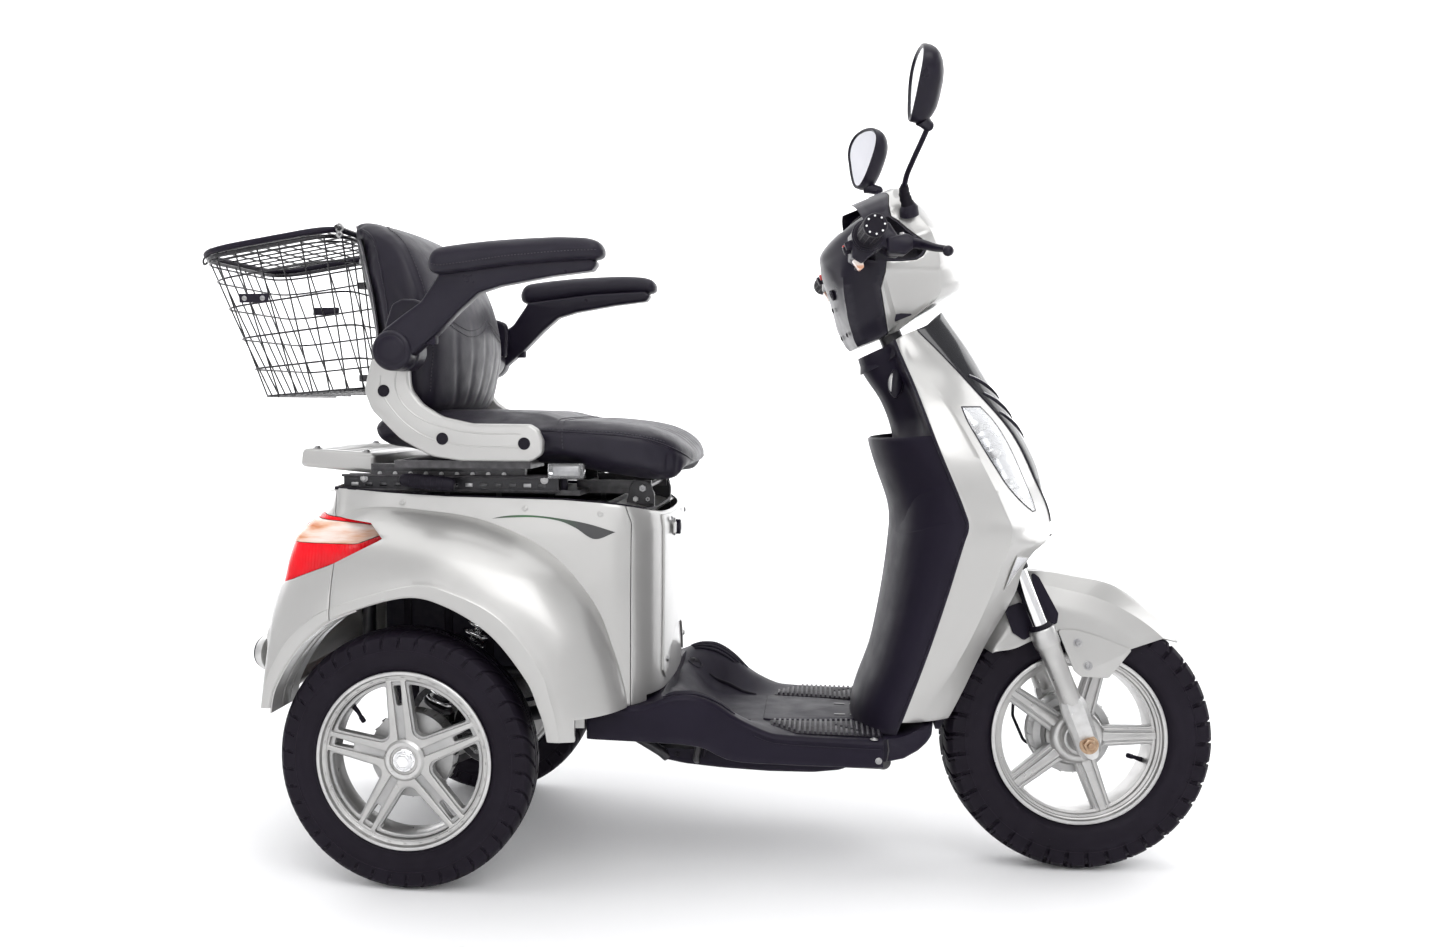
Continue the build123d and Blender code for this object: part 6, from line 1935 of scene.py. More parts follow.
BK = [  # z: front x on the centre line, rear x, half width, front x drop at the sides, rear x gain at the sides
    (746, 34, -70, 206, 28, 14), (760, 46, -84, 216, 34, 26), (780, 55, -96, 224, 42, 38), (810, 63, -102, 228, 48, 46), (845, 69, -104, 230, 51, 49), (880, 68, -106, 231, 51, 50), (915, 59, -112, 231, 47, 52),
    (950, 46, -120, 230, 42, 54), (985, 27, -130, 228, 35, 56), (1015, 4, -138, 222, 25, 56), (1038, -24, -144, 212, 17, 50), (1052, -56, -146, 196, 12, 34), (1061, -90, -138, 172, 6, 14), (1064, -108, -122, 130, 2, 4)]


def bk(z, k):
    return float(np.interp(z, [r[0] for r in BK], [r[k] for r in BK]))


def seat_back():
    rows = []
    for z in np.concatenate([np.linspace(746, 1035, 44), np.linspace(1040, 1064, 9)]):
        xf, xr, w, dr = bk(z, 1) - 1.5, bk(z, 2) + 1.5, bk(z, 3) - 1.5, bk(z, 4)
        ring = []
        for k in range(30):                                  # front, from one side to the other
            u = -1 + 2 * (k + 0.5) / 30
            y = w * math.copysign(abs(u) ** 0.82, u)
            x = xf - dr * abs(y / w) ** 2.3
            edge = max(0.0, (abs(u) - 0.84) / 0.16)
            ring.append((x - 17 * edge ** 2, y, z))
        for k in range(22):
            u = 1 - 2 * (k + 0.5) / 22
            y = w * math.copysign(abs(u) ** 0.6, u)
            x = xr + bk(z, 5) * abs(y / w) ** 2.2
            ring.append((x, y, z))
        rows.append(ring)
    p = Part("back_pad", None)
    p.grid(rows, LEATHER, close_c=True, cap=True)
    ob = p.build(angle=60)
    fx = lambda y, z: bk(z, 1) - bk(z, 4) * abs(y / bk(z, 3)) ** 2.3
    edge = [(fx(k * bk(z, 3), z) - 4, k * bk(z, 3), z) for z, k in zip(np.linspace(752, 1044, 24), np.full(24, 0.93))]
    arc = edge + [(-66, 168, 1056), (-78, 120, 1062), (-84, 60, 1064), (-86, 0, 1065)]
    loop = arc + [(x, -y, z) for x, y, z in arc[::-1][1:]]
    rear = [(bk(z, 2) + bk(z, 5) + 6, bk(z, 3) * 0.995, z) for z in np.linspace(752, 1040, 20)] + [(-134, 172, 1056), (-128, 100, 1062), (-126, 0, 1064)]
    rloop = rear + [(x, -y, z) for x, y, z in rear[::-1][1:]]
    mid = []
    for y in np.linspace(-206, 206, 42):
        a = abs(y)
        z = 905 - 26 * math.sin(min(1, a / 110) * math.pi / 2) ** 1 + (26 + 14) * max(0.0, (a - 110) / 100) ** 1.5
        mid.append((fx(y, z) + 1, y, z))
    chans = []
    for y0 in (-142, -86, -30, 30, 86, 142):
        c = []
        for z in np.linspace(762, 886, 14):
            t = (z - 762) / 124
            y = y0 * (0.86 + 0.20 * math.sin(t * math.pi * 0.62))
            c.append((fx(y, z) + 1, y, z))
        chans.append(c)
    puff(ob, [loop, rloop, mid] + chans, 0.0075, 9.0, pressure=4.0, depth=3.6, width=10.0)
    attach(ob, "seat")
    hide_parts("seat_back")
    welt("back_pad_piping", ob, [rloop], "seat", 1.7, 0.0002)
    stitches("back_pad_stitching", ob, [[(x, y * 0.965, z) for x, y, z in loop[2:-2]], [(x, y, z + 5) for x, y, z in mid], [(x, y, z - 5) for x, y, z in mid]], "seat")
    q = Part("back_rest_board", "seat")
    q.grid([[(bk(z, 2) - 3 + bk(z, 5) * abs(y / bk(z, 3)) ** 2.2, y, z) for y in np.linspace(-0.86, 0.86, 16) * bk(z, 3)] for z in np.linspace(772, 1030, 18)], SATIN)
    for y in (-120, 120):
        for z in (800, 1000):
            q.bolt((bk(z, 2) - 5 + bk(z, 5) * abs(y / bk(z, 3)) ** 2.2, y, z), (-1, 0, 0), 5, STEEL)
    q.build(angle=40, solid=2.5, inside=(60, 0, 900))


def arm_pad(s):
    rows = []
    top = [(49, 972), (52, 986), (63, 997), (90, 1001), (150, 1006), (253, 1010), (296, 1008), (312, 1003), (320, 994), (323, 984)]
    bot = [(49, 966), (56, 958), (70, 955), (110, 959), (170, 967), (240, 972), (290, 974), (312, 973), (320, 977), (323, 982)]
    for x in np.concatenate([np.linspace(50, 70, 5), np.linspace(80, 300, 24), np.linspace(305, 322.5, 6)]):
        t = float(np.interp(x, [q[0] for q in top], [q[1] for q in top])) - 1
        b = float(np.interp(x, [q[0] for q in bot], [q[1] for q in bot])) + 1
        e = min(1.0, (x - 46) / 16, (326 - x) / 16)
        w = 26.5 * max(0.35, e) ** 0.5
        ring = []
        for k in range(28):
            a = 2 * math.pi * (k + 0.5) / 28
            c, d = math.cos(a), math.sin(a)
            ring.append((x, s * (317 + w * math.copysign(abs(c) ** 0.42, c)), (t + b) / 2 + (t - b) / 2 * math.copysign(abs(d) ** 0.55, d)))
        rows.append(ring)
    nm = "left" if s > 0 else "right"
    p = Part("elbow_pad_" + nm, None)
    p.grid(rows, LEATHER, close_c=True, cap=True)
    ob = p.build(angle=60)
    seam = [(x, s * (317 + 26.5), float(np.interp(x, [q[0] for q in bot], [q[1] for q in bot])) + 9) for x in np.linspace(58, 314, 20)]
    seam = seam + [(322, s * 330, 985), (323, s * 317, 985), (322, s * 304, 985)] + [(x, s * (317 - 26.5), z) for x, y, z in seam[::-1]] + [(50, s * 304, 968), (49, s * 317, 968), (50, s * 330, 968), seam[0]]
    puff(ob, [seam], 0.0047, 2.6, pressure=4.0, depth=1.5, width=6.0)
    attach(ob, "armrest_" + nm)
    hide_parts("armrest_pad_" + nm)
    stitches("elbow_pad_stitching_" + nm, ob, [[(x, y, z + 4.5) for x, y, z in seam[:20]]], "armrest_" + nm, r=0.6, pitch=5)


def arm_frame(s):
    nm = "left" if s > 0 else "right"
    p = Part("arm_beam_" + nm, "armrest_" + nm)
    poly = [(-24, 872), (10, 897), (38, 916), (62, 950), (68, 960), (120, 966), (200, 975), (300, 979), (311, 971), (302, 959), (240, 952), (162, 939), (128, 929), (96, 902), (58, 864), (24, 836), (6, 820), (-20, 830)]
    out = fillet(poly, [8, 40, 20, 14, 6, 60, 80, 8, 10, 8, 60, 24, 20, 40, 40, 20, 14, 14], 5)
    p.plate([out], 36, SATIN, bevel=6.0, res=3, y=s * 309)
    k = Matrix.Translation((-7, 0, 843))
    ys = s
    prof = [(289, 9), (289, 27), (291, 30), (294, 31.2), (324, 31.2), (328, 30.4), (331, 28), (332.5, 24), (332.2, 22.5), (333.2, 21), (333.8, 12), (333.9, 0.01)]
    p.revolve([(ys * y, r) for y, r in prof], SATIN, 56, M=k)
    # angle adjuster under the beam
    p.box(28, 60, *sorted((s * 300, s * 318)), 852, 866, PLASTIC, bevel=3)
    p.build(angle=34)


BRK = [(-62, 832), (-74, 783), (-62, 752), (-14, 705), (35, 679), (83, 672), (196, 672), (213, 684), (214, 704), (206, 722), (193, 730), (100, 731), (51, 742), (20, 761), (0, 786), (-1, 812), (4, 836)]


def brackets():
    p = Part("seat_bracket_shapes", "seat")
    out = fillet(BRK, [6, 26, 30, 60, 60, 40, 18, 12, 12, 14, 14, 60, 50, 40, 34, 20, 4], 6)
    p.plate([out], 22, SILVER, bevel=5.0, res=3, y=254, sides=2)
    con = spline([(-46, 806), (-47, 788), (-38, 768), (-8, 733), (32, 708), (84, 697), (150, 694), (190, 693)], 60)
    p.tube([(x, 264.2, z) for x, z in con], 1.7, SILVER, 8, sides=2)
    con = spline([(-20, 812), (-22, 790), (-10, 762), (20, 738), (60, 724), (110, 716), (180, 715)], 60)
    p.tube([(x, 264.2, z) for x, z in con], 1.7, SILVER, 8, sides=2)
    for x, z in ((-41, 782), (54, 707), (185, 700)):
        for s in (1, -1):
            M = Matrix.Translation((x, 0, z))
            p.revolve([(s * 264, 0.01), (s * 264, 9.6), (s * 265.6, 9.6), (s * 266.6, 8.8), (s * 267.2, 6), (s * 267.4, 0.01)], RUBBER, 28, M=M)
            p.revolve([(s * 264, 10.4), (s * 265.2, 10.4), (s * 265.4, 9.8), (s * 264, 9.6)], SILVER, 28, M=M)
    # hub and pin for the arm, upper ear behind it
    for s in (1, -1):
        M = Matrix.Translation((-7, 0, 843))
        p.revolve([(s * 243, 0.01), (s * 243, 29), (s * 245, 31), (s * 283, 31), (s * 285, 29), (s * 285, 8), (s * 322, 8), (s * 322, 0.01)], SATIN, 48, M=M)
    ear = fillet([(-36, 850), (-33, 886), (-22, 917), (-6, 925), (14, 924), (32, 917), (34, 890), (30, 852)], [4, 16, 12, 10, 10, 12, 20, 4], 5)
    p.plate([ear], 18, SATIN, bevel=5.0, res=3, y=270, sides=2)
    p.build(angle=30, replaces=("seat_brackets",))


seat_cushion()
seat_back()
for _s in (1, -1):
    arm_pad(_s)
    arm_frame(_s)
for _n in ("armrest_left", "armrest_right"):
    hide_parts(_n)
brackets()


# ------------------------------------------------------------------ rails, handle, shelf
def rails():
    p = Part("rail_details", "seat_base")
    for s in (1, -1):
        for k in range(14):
            x = -118 + 24 * k
            p.box(x, x + 12, *sorted((s * 201.6, s * 203.2)), 628, 634, STEEL if k % 4 == 0 else GLOSS, bevel=0.5)
        p.tube([(-134, s * 203, 622), (230, s * 203, 622)], 2.2, FRAME, 8)
        p.tube([(-134, s * 203, 645), (230, s * 203, 645)], 2.2, FRAME, 8)
        for x in (-96, 204):
            p.bolt((x, s * 203, 640), (0, s, 0), 4.4, STEEL)
        # hinge ears and their bolts
        p.bolt((352, s * 113, 624), (0, s, 0), 7, STEEL, h=5)
        p.box(229, 238, *sorted((s * 179, s * 193)), 623, 650, PLASTIC, bevel=1.6)
    # round pull handle with its grip
    P = spline([(-22, -236, 640.5), (4, -239, 638.5), (34, -240, 636), (66, -238.5, 633)], 30)
    r = np.interp(np.linspace(0, 1, 30), [0, 0.05, 0.12, 0.9, 0.96, 1], [8.4, 10.6, 11.6, 11.6, 10.2, 7.8])
    p.tube(P, r, RUBBER, 20)
    for k in range(7):
        q = P[5 + 3 * k]
        p.tube([q - (0.8, 0, -0.05), q + (0.8, 0, -0.05)], 12.2, RUBBER, 20)
    p.build(angle=34)
    q = Part("slide_details", "seat")
    for s in (1, -1):
        for k in range(9):
            x = -72 + 26 * k
            q.bolt((x, s * 194.6, 648), (0, s, 0), 2.6, STEEL, h=2.0, hexed=False)
        q.box(-84, 168, *sorted((s * 194.6, s * 197.5)), 652, 662, FRAME, bevel=1.0)
        q.tube([(-22, s * 120, 661), (40, s * 60, 661), (140, s * 120, 661)], 3.2, FRAME, 8)
    q.build(angle=34)
    sh = Part("shelf_skin", "seat_base")
    out = fillet([(-219, 657), (-215, 688), (-94, 680), (-88, 676), (-88, 649), (-94, 646.5)], [8, 9, 4, 3, 3, 3], 5)
    sh.plate([out], 344, SILVER, bevel=7.0, res=3)
    for y in np.linspace(-130, 130, 7):
        sh.tube([(-204, y, 686.6), (-150, y, 683.2), (-104, y, 680.0)], [1.0, 2.0, 1.0], SILVER, 8)
    for y in (-150, 150):
        sh.bolt((-110, y, 681.5), (0.06, 0, 1), 5, STEEL)
        sh.bolt((-196, y, 687.0), (0.06, 0, 1), 5, STEEL)
    for s in (1, -1):
        sh.tube([(-120, s * 75, 622), (-122, s * 75, 650)], 8, FRAME, 14)
    sh.build(angle=30, replaces=("luggage_shelf",))
    h = Part("hinge_details", "chassis")
    for s in (1, -1):
        h.plate([fillet([(324, 597), (331, 628), (340, 637), (356, 637), (366, 630), (371, 610), (371, 597)], 4, 4)], 3, FRAME, bevel=0.8, y=124, sides=1) if s > 0 else None
        h.bolt((352, s * 124, 624), (0, s, 0), 6.4, STEEL, h=6)
        h.bolt((340, s * 122, 606), (0, s, 0), 5, STEEL, h=5)
        h.bolt((360, s * 122, 606), (0, s, 0), 4, STEEL, h=4)
    h.plate([fillet([(324, 597), (331, 628), (340, 637), (356, 637), (366, 630), (371, 610), (371, 597)], 4, 4)], 3, FRAME, bevel=0.8, y=-124)
    h.build(angle=34)


rails()


# ------------------------------------------------------------------ footboard
def at(x, rows):
    return float(np.interp(x, [r[0] for r in rows], [r[1] for r in rows]))


# height of the outer edge and of the bottom of the skirt, by x
EDGE_TOP = [(278, 284), (282, 286), (340, 288), (366, 290), (384, 296), (402, 304), (418, 308.5), (444, 309), (464, 302), (486, 289), (503, 274), (522, 262), (545, 251), (566, 243.5), (600, 241.5), (680, 240.5), (738, 239.5)]
EDGE_BOT = [(278, 234), (384, 233), (421, 232), (445, 229), (464, 224), (480, 212), (500, 201), (520, 196.5), (545, 195.2), (610, 195), (738, 196)]
EDGE_Y = [(278, 240), (290, 242), (400, 243), (424, 242), (445, 238), (466, 229), (486, 217), (506, 206), (526, 200.5), (548, 199), (700, 199), (728, 197), (738, 194)]


def soft_step(t):
    t = min(1.0, max(0.0, t))
    return t * t * (3 - 2 * t)


def smooth_at(x, rows):
    return sum(at(x + d, rows) * w for d, w in ((-8, 0.15), (-4, 0.2), (0, 0.3), (4, 0.2), (8, 0.15)))


def crest_h(x, y):
    """Height of the floor: wide hips either side behind, a flat deck in front of them."""
    a, hw = abs(y), at(x, EDGE_Y)
    top = smooth_at(x, EDGE_TOP)
    deck = 240.5
    if x < 392:
        return top
    crest = hw - 20
    low = crest - 112 + 26 * soft_step((x - 470) / 60)
    k = soft_step((a - low) / (crest - low))
    ramp = 46 * (1 - soft_step((x - 394) / 78)) ** 1.3
    base = deck + ramp * (0.75 + 0.25 * soft_step(a / 90))
    return max(base, deck) + (max(top, deck) - base) * k if top > base else base


def floor_skin():
    p = Part("floor_skin", "chassis")
    xs = np.concatenate([[278.0, 279.2, 282.0], np.linspace(287, 386, 14), np.linspace(391, 566, 62), np.linspace(572, 730, 22), [734, 738.0]])
    rows = []
    for x in xs:
        zb, ze = smooth_at(x, EDGE_BOT), smooth_at(x, EDGE_TOP)
        hw = smooth_at(x, EDGE_Y) - (3.0 if x < 278.5 else 0.9 if x < 280 else 0)
        R = 9.0 if x > 292 else 5.0
        ring = [(x, -(hw - 4.5), zb)]
        for t in (0.0, 0.2, 0.4, 0.6, 0.8, 1.0):
            ring.append((x, -(hw - 1.6 + 1.6 * math.sin(math.pi * t * 0.9)), zb + 1.5 + (ze - R - 1 - zb) * t))
        for k in range(1, 7):
            g = math.pi / 2 * k / 6
            ring.append((x, -(hw - R + R * math.cos(g)), ze - R + R * math.sin(g)))
        n = 101
        for y in np.linspace(-(hw - R - 2), hw - R - 2, n):
            ring.append((x, y, crest_h(x, y)))
        for k in range(6, 0, -1):
            g = math.pi / 2 * k / 6
            ring.append((x, hw - R + R * math.cos(g), ze - R + R * math.sin(g)))
        for t in (1.0, 0.8, 0.6, 0.4, 0.2, 0.0):
            ring.append((x, hw - 1.6 + 1.6 * math.sin(math.pi * t * 0.9), zb + 1.5 + (ze - R - 1 - zb) * t))
        ring.append((x, hw - 4.5, zb))
        # open trough below, so the skirts read as walls
        for y in (hw - 8, hw - 14, hw - 16):
            ring.append((x, y, zb + (0 if y > hw - 10 else 2 if y > hw - 15 else (ze - zb) * 0.5)))
        low = min(zb + (ze - zb) * 0.5, 226)
        for y in np.linspace(hw - 20, -(hw - 20), 14):
            ring.append((x, y, max(low, zb + 1) if x < 500 else zb + 1))
        for y in (hw - 16, hw - 14, hw - 8):
            ring.append((x, -y, zb + (0 if y > hw - 10 else 2 if y > hw - 15 else (ze - zb) * 0.5)))
        rows.append(ring)
    p.grid(np.array(rows), PLASTIC, close_c=True, cap=True)
    ob = p.build(angle=40)
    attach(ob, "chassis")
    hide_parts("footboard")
    return ob


def floor_detail():
    p = Part("floor_details", "chassis")
    # ribs running over the hips
    for k in range(4):
        off = 4 + 9.5 * k
        xs = np.linspace(398 + 3 * k, 508 - 8 * k, 34)
        P = []
        for x in xs:
            y = at(x, EDGE_Y) - 12 - off
            P.append((x, y, crest_h(x, y) + 0.7))
        r = 3.2 * np.sin(np.linspace(0.10, math.pi - 0.10, 34)) ** 0.4
        p.tube(P, r, PLASTIC, 8, sides=2)
    for s in (1, -1):
        # oval opening on the flank of the hip, filled with a dark rubber disc as painted shade for its dark inside
        c = np.array([413.0, s * 150.0])
        ring = []
        for k in range(30):
            a = 2 * math.pi * k / 30
            x, y = c[0] + 12 * math.cos(a), c[1] + 13 * math.sin(a)
            ring.append((x, y, crest_h(x, y) + 0.5))
        p.tube(ring + ring[:1], 1.3, PLASTIC, 8)
        # near-flush dark disc: painted shade standing for the depth of the opening
        p.grid([[(c[0] + (x - c[0]) * k, c[1] + (y - c[1]) * k, z + 0.5 - 0.2 * (1 - k)) for x, y, z in ring] for k in (0.98, 0.6, 0.05)], RUBBER, close_c=True)
        # long notch where the flank meets the deck: a raised dark rubber strip, painted shade standing for the shaded
        # slot
        P = [(x, s * (at(x, EDGE_Y) - 96 - (x - 440) * 0.05), 0) for x in np.linspace(440, 528, 30)]
        P = [(x, y, crest_h(x, y) + 0.4) for x, y, _ in P]
        p.tube(P, np.sin(np.linspace(0.15, math.pi - 0.15, 30)) ** 0.6 * 4.2, RUBBER, 10, flat=0.8)
        # seam line below the rim of the skirt
        P = [(x, s * (smooth_at(x, EDGE_Y) + 0.1), smooth_at(x, EDGE_TOP) - 13) for x in np.linspace(540, 734, 50)]
        p.tube(P, 0.7, PLASTIC, 6)
    # plain centre panel between the mats, with slots near the leg shield
    out = fillet([(548, -86), (560, -92), (640, -84), (690, -70), (706, -56), (706, 56), (690, 70), (640, 84), (560, 92), (548, 86)], [6, 10, 30, 14, 10, 10, 14, 30, 10, 6], 4)
    V, F = plate2d([out], 3.0, 1.2)
    V = np.stack([V[:, 0], V[:, 2], V[:, 1] + 241.2], -1)
    p.add(V, F, PLASTIC)
    for s in (1, -1):
        for x in (664, 690):
            p.box(x, x + 18, *sorted((s * 36, s * 44)), 242.2, 243.6, FRAME, bevel=0.5)
        p.bolt((724, s * 190, 240), (0, 0, 1), 4.5, STEEL, h=2.4, hexed=False)
        p.bolt((318, s * 226, 287.5), (0, 0, 1), 4.0, RUBBER, h=2.0, hexed=False)
        p.bolt((731, s * 195.5, 208), (0, s, 0), 3.6, STEEL, h=2.6, hexed=False)
    p.build(angle=34)
    # toe piece under the leg shield: a swept wedge with a lip
    q = Part("toe_skin", "chassis")
    sec = [(739, 198.5), (748, 200), (772, 206), (800, 220), (815, 232), (823, 243), (824, 252), (819, 257), (806, 257), (790, 250.5), (772, 244), (756, 240.5), (744, 239), (739, 238)]
    rows = []
    for y in np.concatenate([np.linspace(-175.5, -168, 5), np.linspace(-160, 160, 28), np.linspace(168, 175.5, 5)]):
        k = max(0.0, (abs(y) - 160) / 15.5)
        e = 1 - 0.10 * k ** 2.4
        back = 22 * (abs(y) / 175) ** 2
        rows.append([(739 + (x - 739) * e - max(0.0, (x - 770)) / 54 * back * 0.55, y, 228 + (z - 228) * (1 - 0.12 * k ** 2.4)) for x, z in even(np.array(sec + sec[:1], float), 60, True)])
    q.grid(rows, PLASTIC, close_c=True, cap=True)
    for s in (1, -1):
        q.tube([(744, s * 176, 202), (747, s * 176.2, 220), (745, s * 176, 237)], 1.0, FRAME, 6)
    q.build(angle=38)


def mats():
    p = Part("mat_ribs", "chassis")
    inner = [(549, 96), (600, 92), (640, 88), (684, 76), (712, 112), (730, 140), (738, 151)]
    for s in (1, -1):
        # thin base sheet
        out = [(560, 96), (562, 128), (604, 180), (736, 182), (738, 151), (730, 140), (712, 112), (690, 84), (640, 89), (600, 93)]
        V, F = plate2d([fillet([(x, s * y) for x, y in out], 3, 3)], 1.6, 0.5)
        V = np.stack([V[:, 0], V[:, 2], V[:, 1] + 241.9], -1)
        p.add(V, F, RUBBER)
        x = 566.0
        while x < 735:
            y0 = float(np.interp(x, [q[0] for q in inner], [q[1] for q in inner])) + 4
            if 664 < x < 700:                                 # chevron break
                y1 = 128 + (x - 664) * 0.9
                segs = [(y0, y1 - 5), (y1 + 5, 178)]
            else:
                segs = [(y0, 178)]
            if x < 606:                                       # rear corner cut at a slant
                segs = [(y0, min(175, 128 + (x - 566) * 1.2))]
            for a, b in segs:
                if b - a > 6:
                    p.box(x, x + 3.8, *sorted((s * a, s * b)), 242.2, 246.4, MAT_RUBBER, bevel=0.9)
            x += 8.2
    ob = p.build(angle=34)
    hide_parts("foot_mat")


def underside():
    p = Part("belly_details", "chassis")
    for s in (1, -1):
        for x in (410, 540, 666):
            p.bolt((x, s * 123.6, 186), (0, s, 0), 3.6, RUBBER, h=3.0)
    # cradle tube joints, straps and the cable clips that show under the skirt
    for s in (1, -1):
        for a in (0.25, 0.6):
            q0 = np.array([372.0, s * 94, 180.0]) * (1 - a) + np.array([330.0, s * 94, 310.0]) * a
            p.tube([q0 - (3, 0, -6), q0 + (3, 0, -6)], 14.5, FRAME, 18)
        p.tube(spline([(446, s * 132, 214), (444, s * 131, 196), (441, s * 129, 182), (442, s * 120, 176)], 16), 5.5, FRAME, 12)
        p.tube(spline([(456, s * 132, 212), (455, s * 131, 196), (453, s * 129, 184)], 12), 3.0, RUBBER, 10)
        p.tube(spline([(330, s * 120, 218), (356, s * 124, 205), (382, s * 124, 190), (392, s * 118, 180)], 20), 8.5, FRAME, 14)
    p.build(angle=40)


floor_skin()
floor_detail()
mats()
underside()


# ------------------------------------------------------------------ wire basket and lid
def basket():
    lo = np.array([(-300, -134, 774), (-300, 134, 774), (-122, 138, 788), (-122, -138, 788)], float)
    hi = np.array([(-397, -176, 1004), (-397, 176, 1004), (-153, 179, 1041), (-153, -179, 1041)], float)

    def ring(t, grow=0.0, n=140):
        c = lo + (hi - lo) * t
        cen = c.mean(0)
        c = cen + (c - cen) * (1 + grow)
        q = []
        m = len(c)
        for i in range(m):
            a, b, d = c[i - 1], c[i], c[(i + 1) % m]
            u, v = (a - b) / np.linalg.norm(a - b), (d - b) / np.linalg.norm(d - b)
            p0, p1 = b + u * (30 + 40 * t), b + v * (30 + 40 * t)
            for k in range(9):
                s = k / 8
                q.append((1 - s) ** 2 * p0 + 2 * s * (1 - s) * b + s * s * p1)
        q = np.array(q)
        q = np.vstack([q, q[:1]])
        return even(q, n, True)
    p = Part("basket_wires", "seat")
    sag = {0.0: 1.8, 0.2: 1.7, 0.42: 1.7, 0.64: 1.7, 0.84: 1.7, 1.0: 3.6}
    for t, r in sag.items():
        p.tube(ring(t), r, WIRE, 8, closed=True)
    p.tube(ring(0.965, 0.004), 1.8, WIRE, 8, closed=True)
    A, B = ring(0.0, -0.006, 140), ring(1.0, -0.006, 140)
    for k in range(0, 140, 5):
        a, b = A[k], B[k]
        m = (a + b) / 2 + (B[k] - B.mean(0)) * [0.012, 0.012, 0]
        p.tube(spline([a - [0, 0, 1], m, b + [0, 0, 1]], 8), 1.55, WIRE, 6)
    for k in range(1, 9):                                    # floor
        t = k / 9
        a, b = lo[0] * (1 - t) + lo[1] * t, lo[3] * (1 - t) + lo[2] * t
        p.tube([a, b], 1.6, WIRE, 6)
    for k in range(1, 6):
        t = k / 6
        a, b = lo[0] * (1 - t) + lo[3] * t, lo[1] * (1 - t) + lo[2] * t
        p.tube([a - [0, 0, 2.6], b - [0, 0, 2.6]], 1.6, WIRE, 6)
    # flat plate at the rear and the brackets to the backrest
    for s in (1, -1):
        M = Matrix.Translation((-299, s * 165.5, 938)) @ Matrix.Rotation(s * math.radians(-10.3), 4, "X")
        p.box(-26, 26, -1.6, 1.6, -7.5, 7.5, PLASTIC, bevel=1.4, M=M)
        for x in (-16, 16):
            p.bolt((x, s * 1.4, 0), (0, s, 0), 3.0, STEEL, h=2.4, hexed=False, M=M)
    for s in (1, -1):
        p.box(-156, -124, *sorted((s * 40, s * 56)), 800, 812, FRAME, bevel=1.5)
        p.box(-156, -132, *sorted((s * 40, s * 56)), 960, 972, FRAME, bevel=1.5)
        p.tube([(-155, s * 160, 1041), (-150, s * 160, 1047), (-145, s * 160, 1041), (-150, s * 160, 1036), (-155, s * 160, 1041)], 2.4, STEEL, 8)
    p.build(angle=60, replaces=("basket",))

    q = Part("basket_cover_wires", "basket_lid")
    c = np.array([(-402, -182, 1012), (-402, 182, 1012), (-152, 182, 1050.5), (-152, -182, 1050.5)], float)
    out = []
    for i in range(4):
        a, b, d = c[i - 1], c[i], c[(i + 1) % 4]
        u, v = (a - b) / np.linalg.norm(a - b), (d - b) / np.linalg.norm(d - b)
        rr = 84 if i < 2 else 58
        p0, p1 = b + u * rr, b + v * rr
        for k in range(9):
            s = k / 8
            out.append((1 - s) ** 2 * p0 + 2 * s * (1 - s) * b + s * s * p1)
    out = np.array(out)
    frame_ = even(np.vstack([out, out[:1]]), 120, True)
    q.tube(frame_, 5.2, PLASTIC, 12, closed=True)
    q.tube([(x, y, z + 1.5) for x, y, z in frame_ * [1, 1, 1]], 3.8, WIRE, 8, closed=True)
    def inset_x(y):
        """How far the rounded corners pull the ends of the bars in."""
        a = max(0.0, abs(y) - 118) / 64
        return 62 * (1 - math.sqrt(max(0.0, 1 - a * a * 0.96)))
    for k in range(1, 10):                                   # along
        y = -182 + 364 * k / 10
        x0, x1 = -401 + inset_x(y), -153 - inset_x(y) * 0.7
        q.tube([(x0, y, 1012.3 + (x0 + 402) * 0.154), (x1, y, 1012.3 + (x1 + 402) * 0.154)], 1.6, WIRE, 6)
    for k in range(1, 8):                                    # across
        x = -402 + 250 * k / 8
        z = 1012.3 + (x + 402) * 0.154
        e = max(0.0, (-402 + 66 - x) / 66, (x + 152 + 46) / 46)
        w = 181 - 34 * (1 - math.sqrt(max(0.0, 1 - e * e)))
        q.tube([(x, -w, z + 2.6), (x, w, z + 2.6)], 1.6, WIRE, 6)
    q.tube([(-150, -176, 1052), (-150, 176, 1052)], 3.4, WIRE, 10)
    for y in (-120, 120):
        q.tube(spline([(-398, y - 16, 1012), (-405, y - 10, 1006), (-408, y, 1000), (-405, y + 10, 1006), (-398, y + 16, 1012)], 24), 2.0, WIRE, 8)
    for y in (-160, 160):
        q.tube(spline([(-157, y, 1054), (-150, y, 1058.5), (-143, y, 1052), (-150, y, 1045.5), (-157, y, 1050)], 20), 2.2, STEEL, 8)
    q.build(angle=60, replaces=("basket_lid",))


basket()


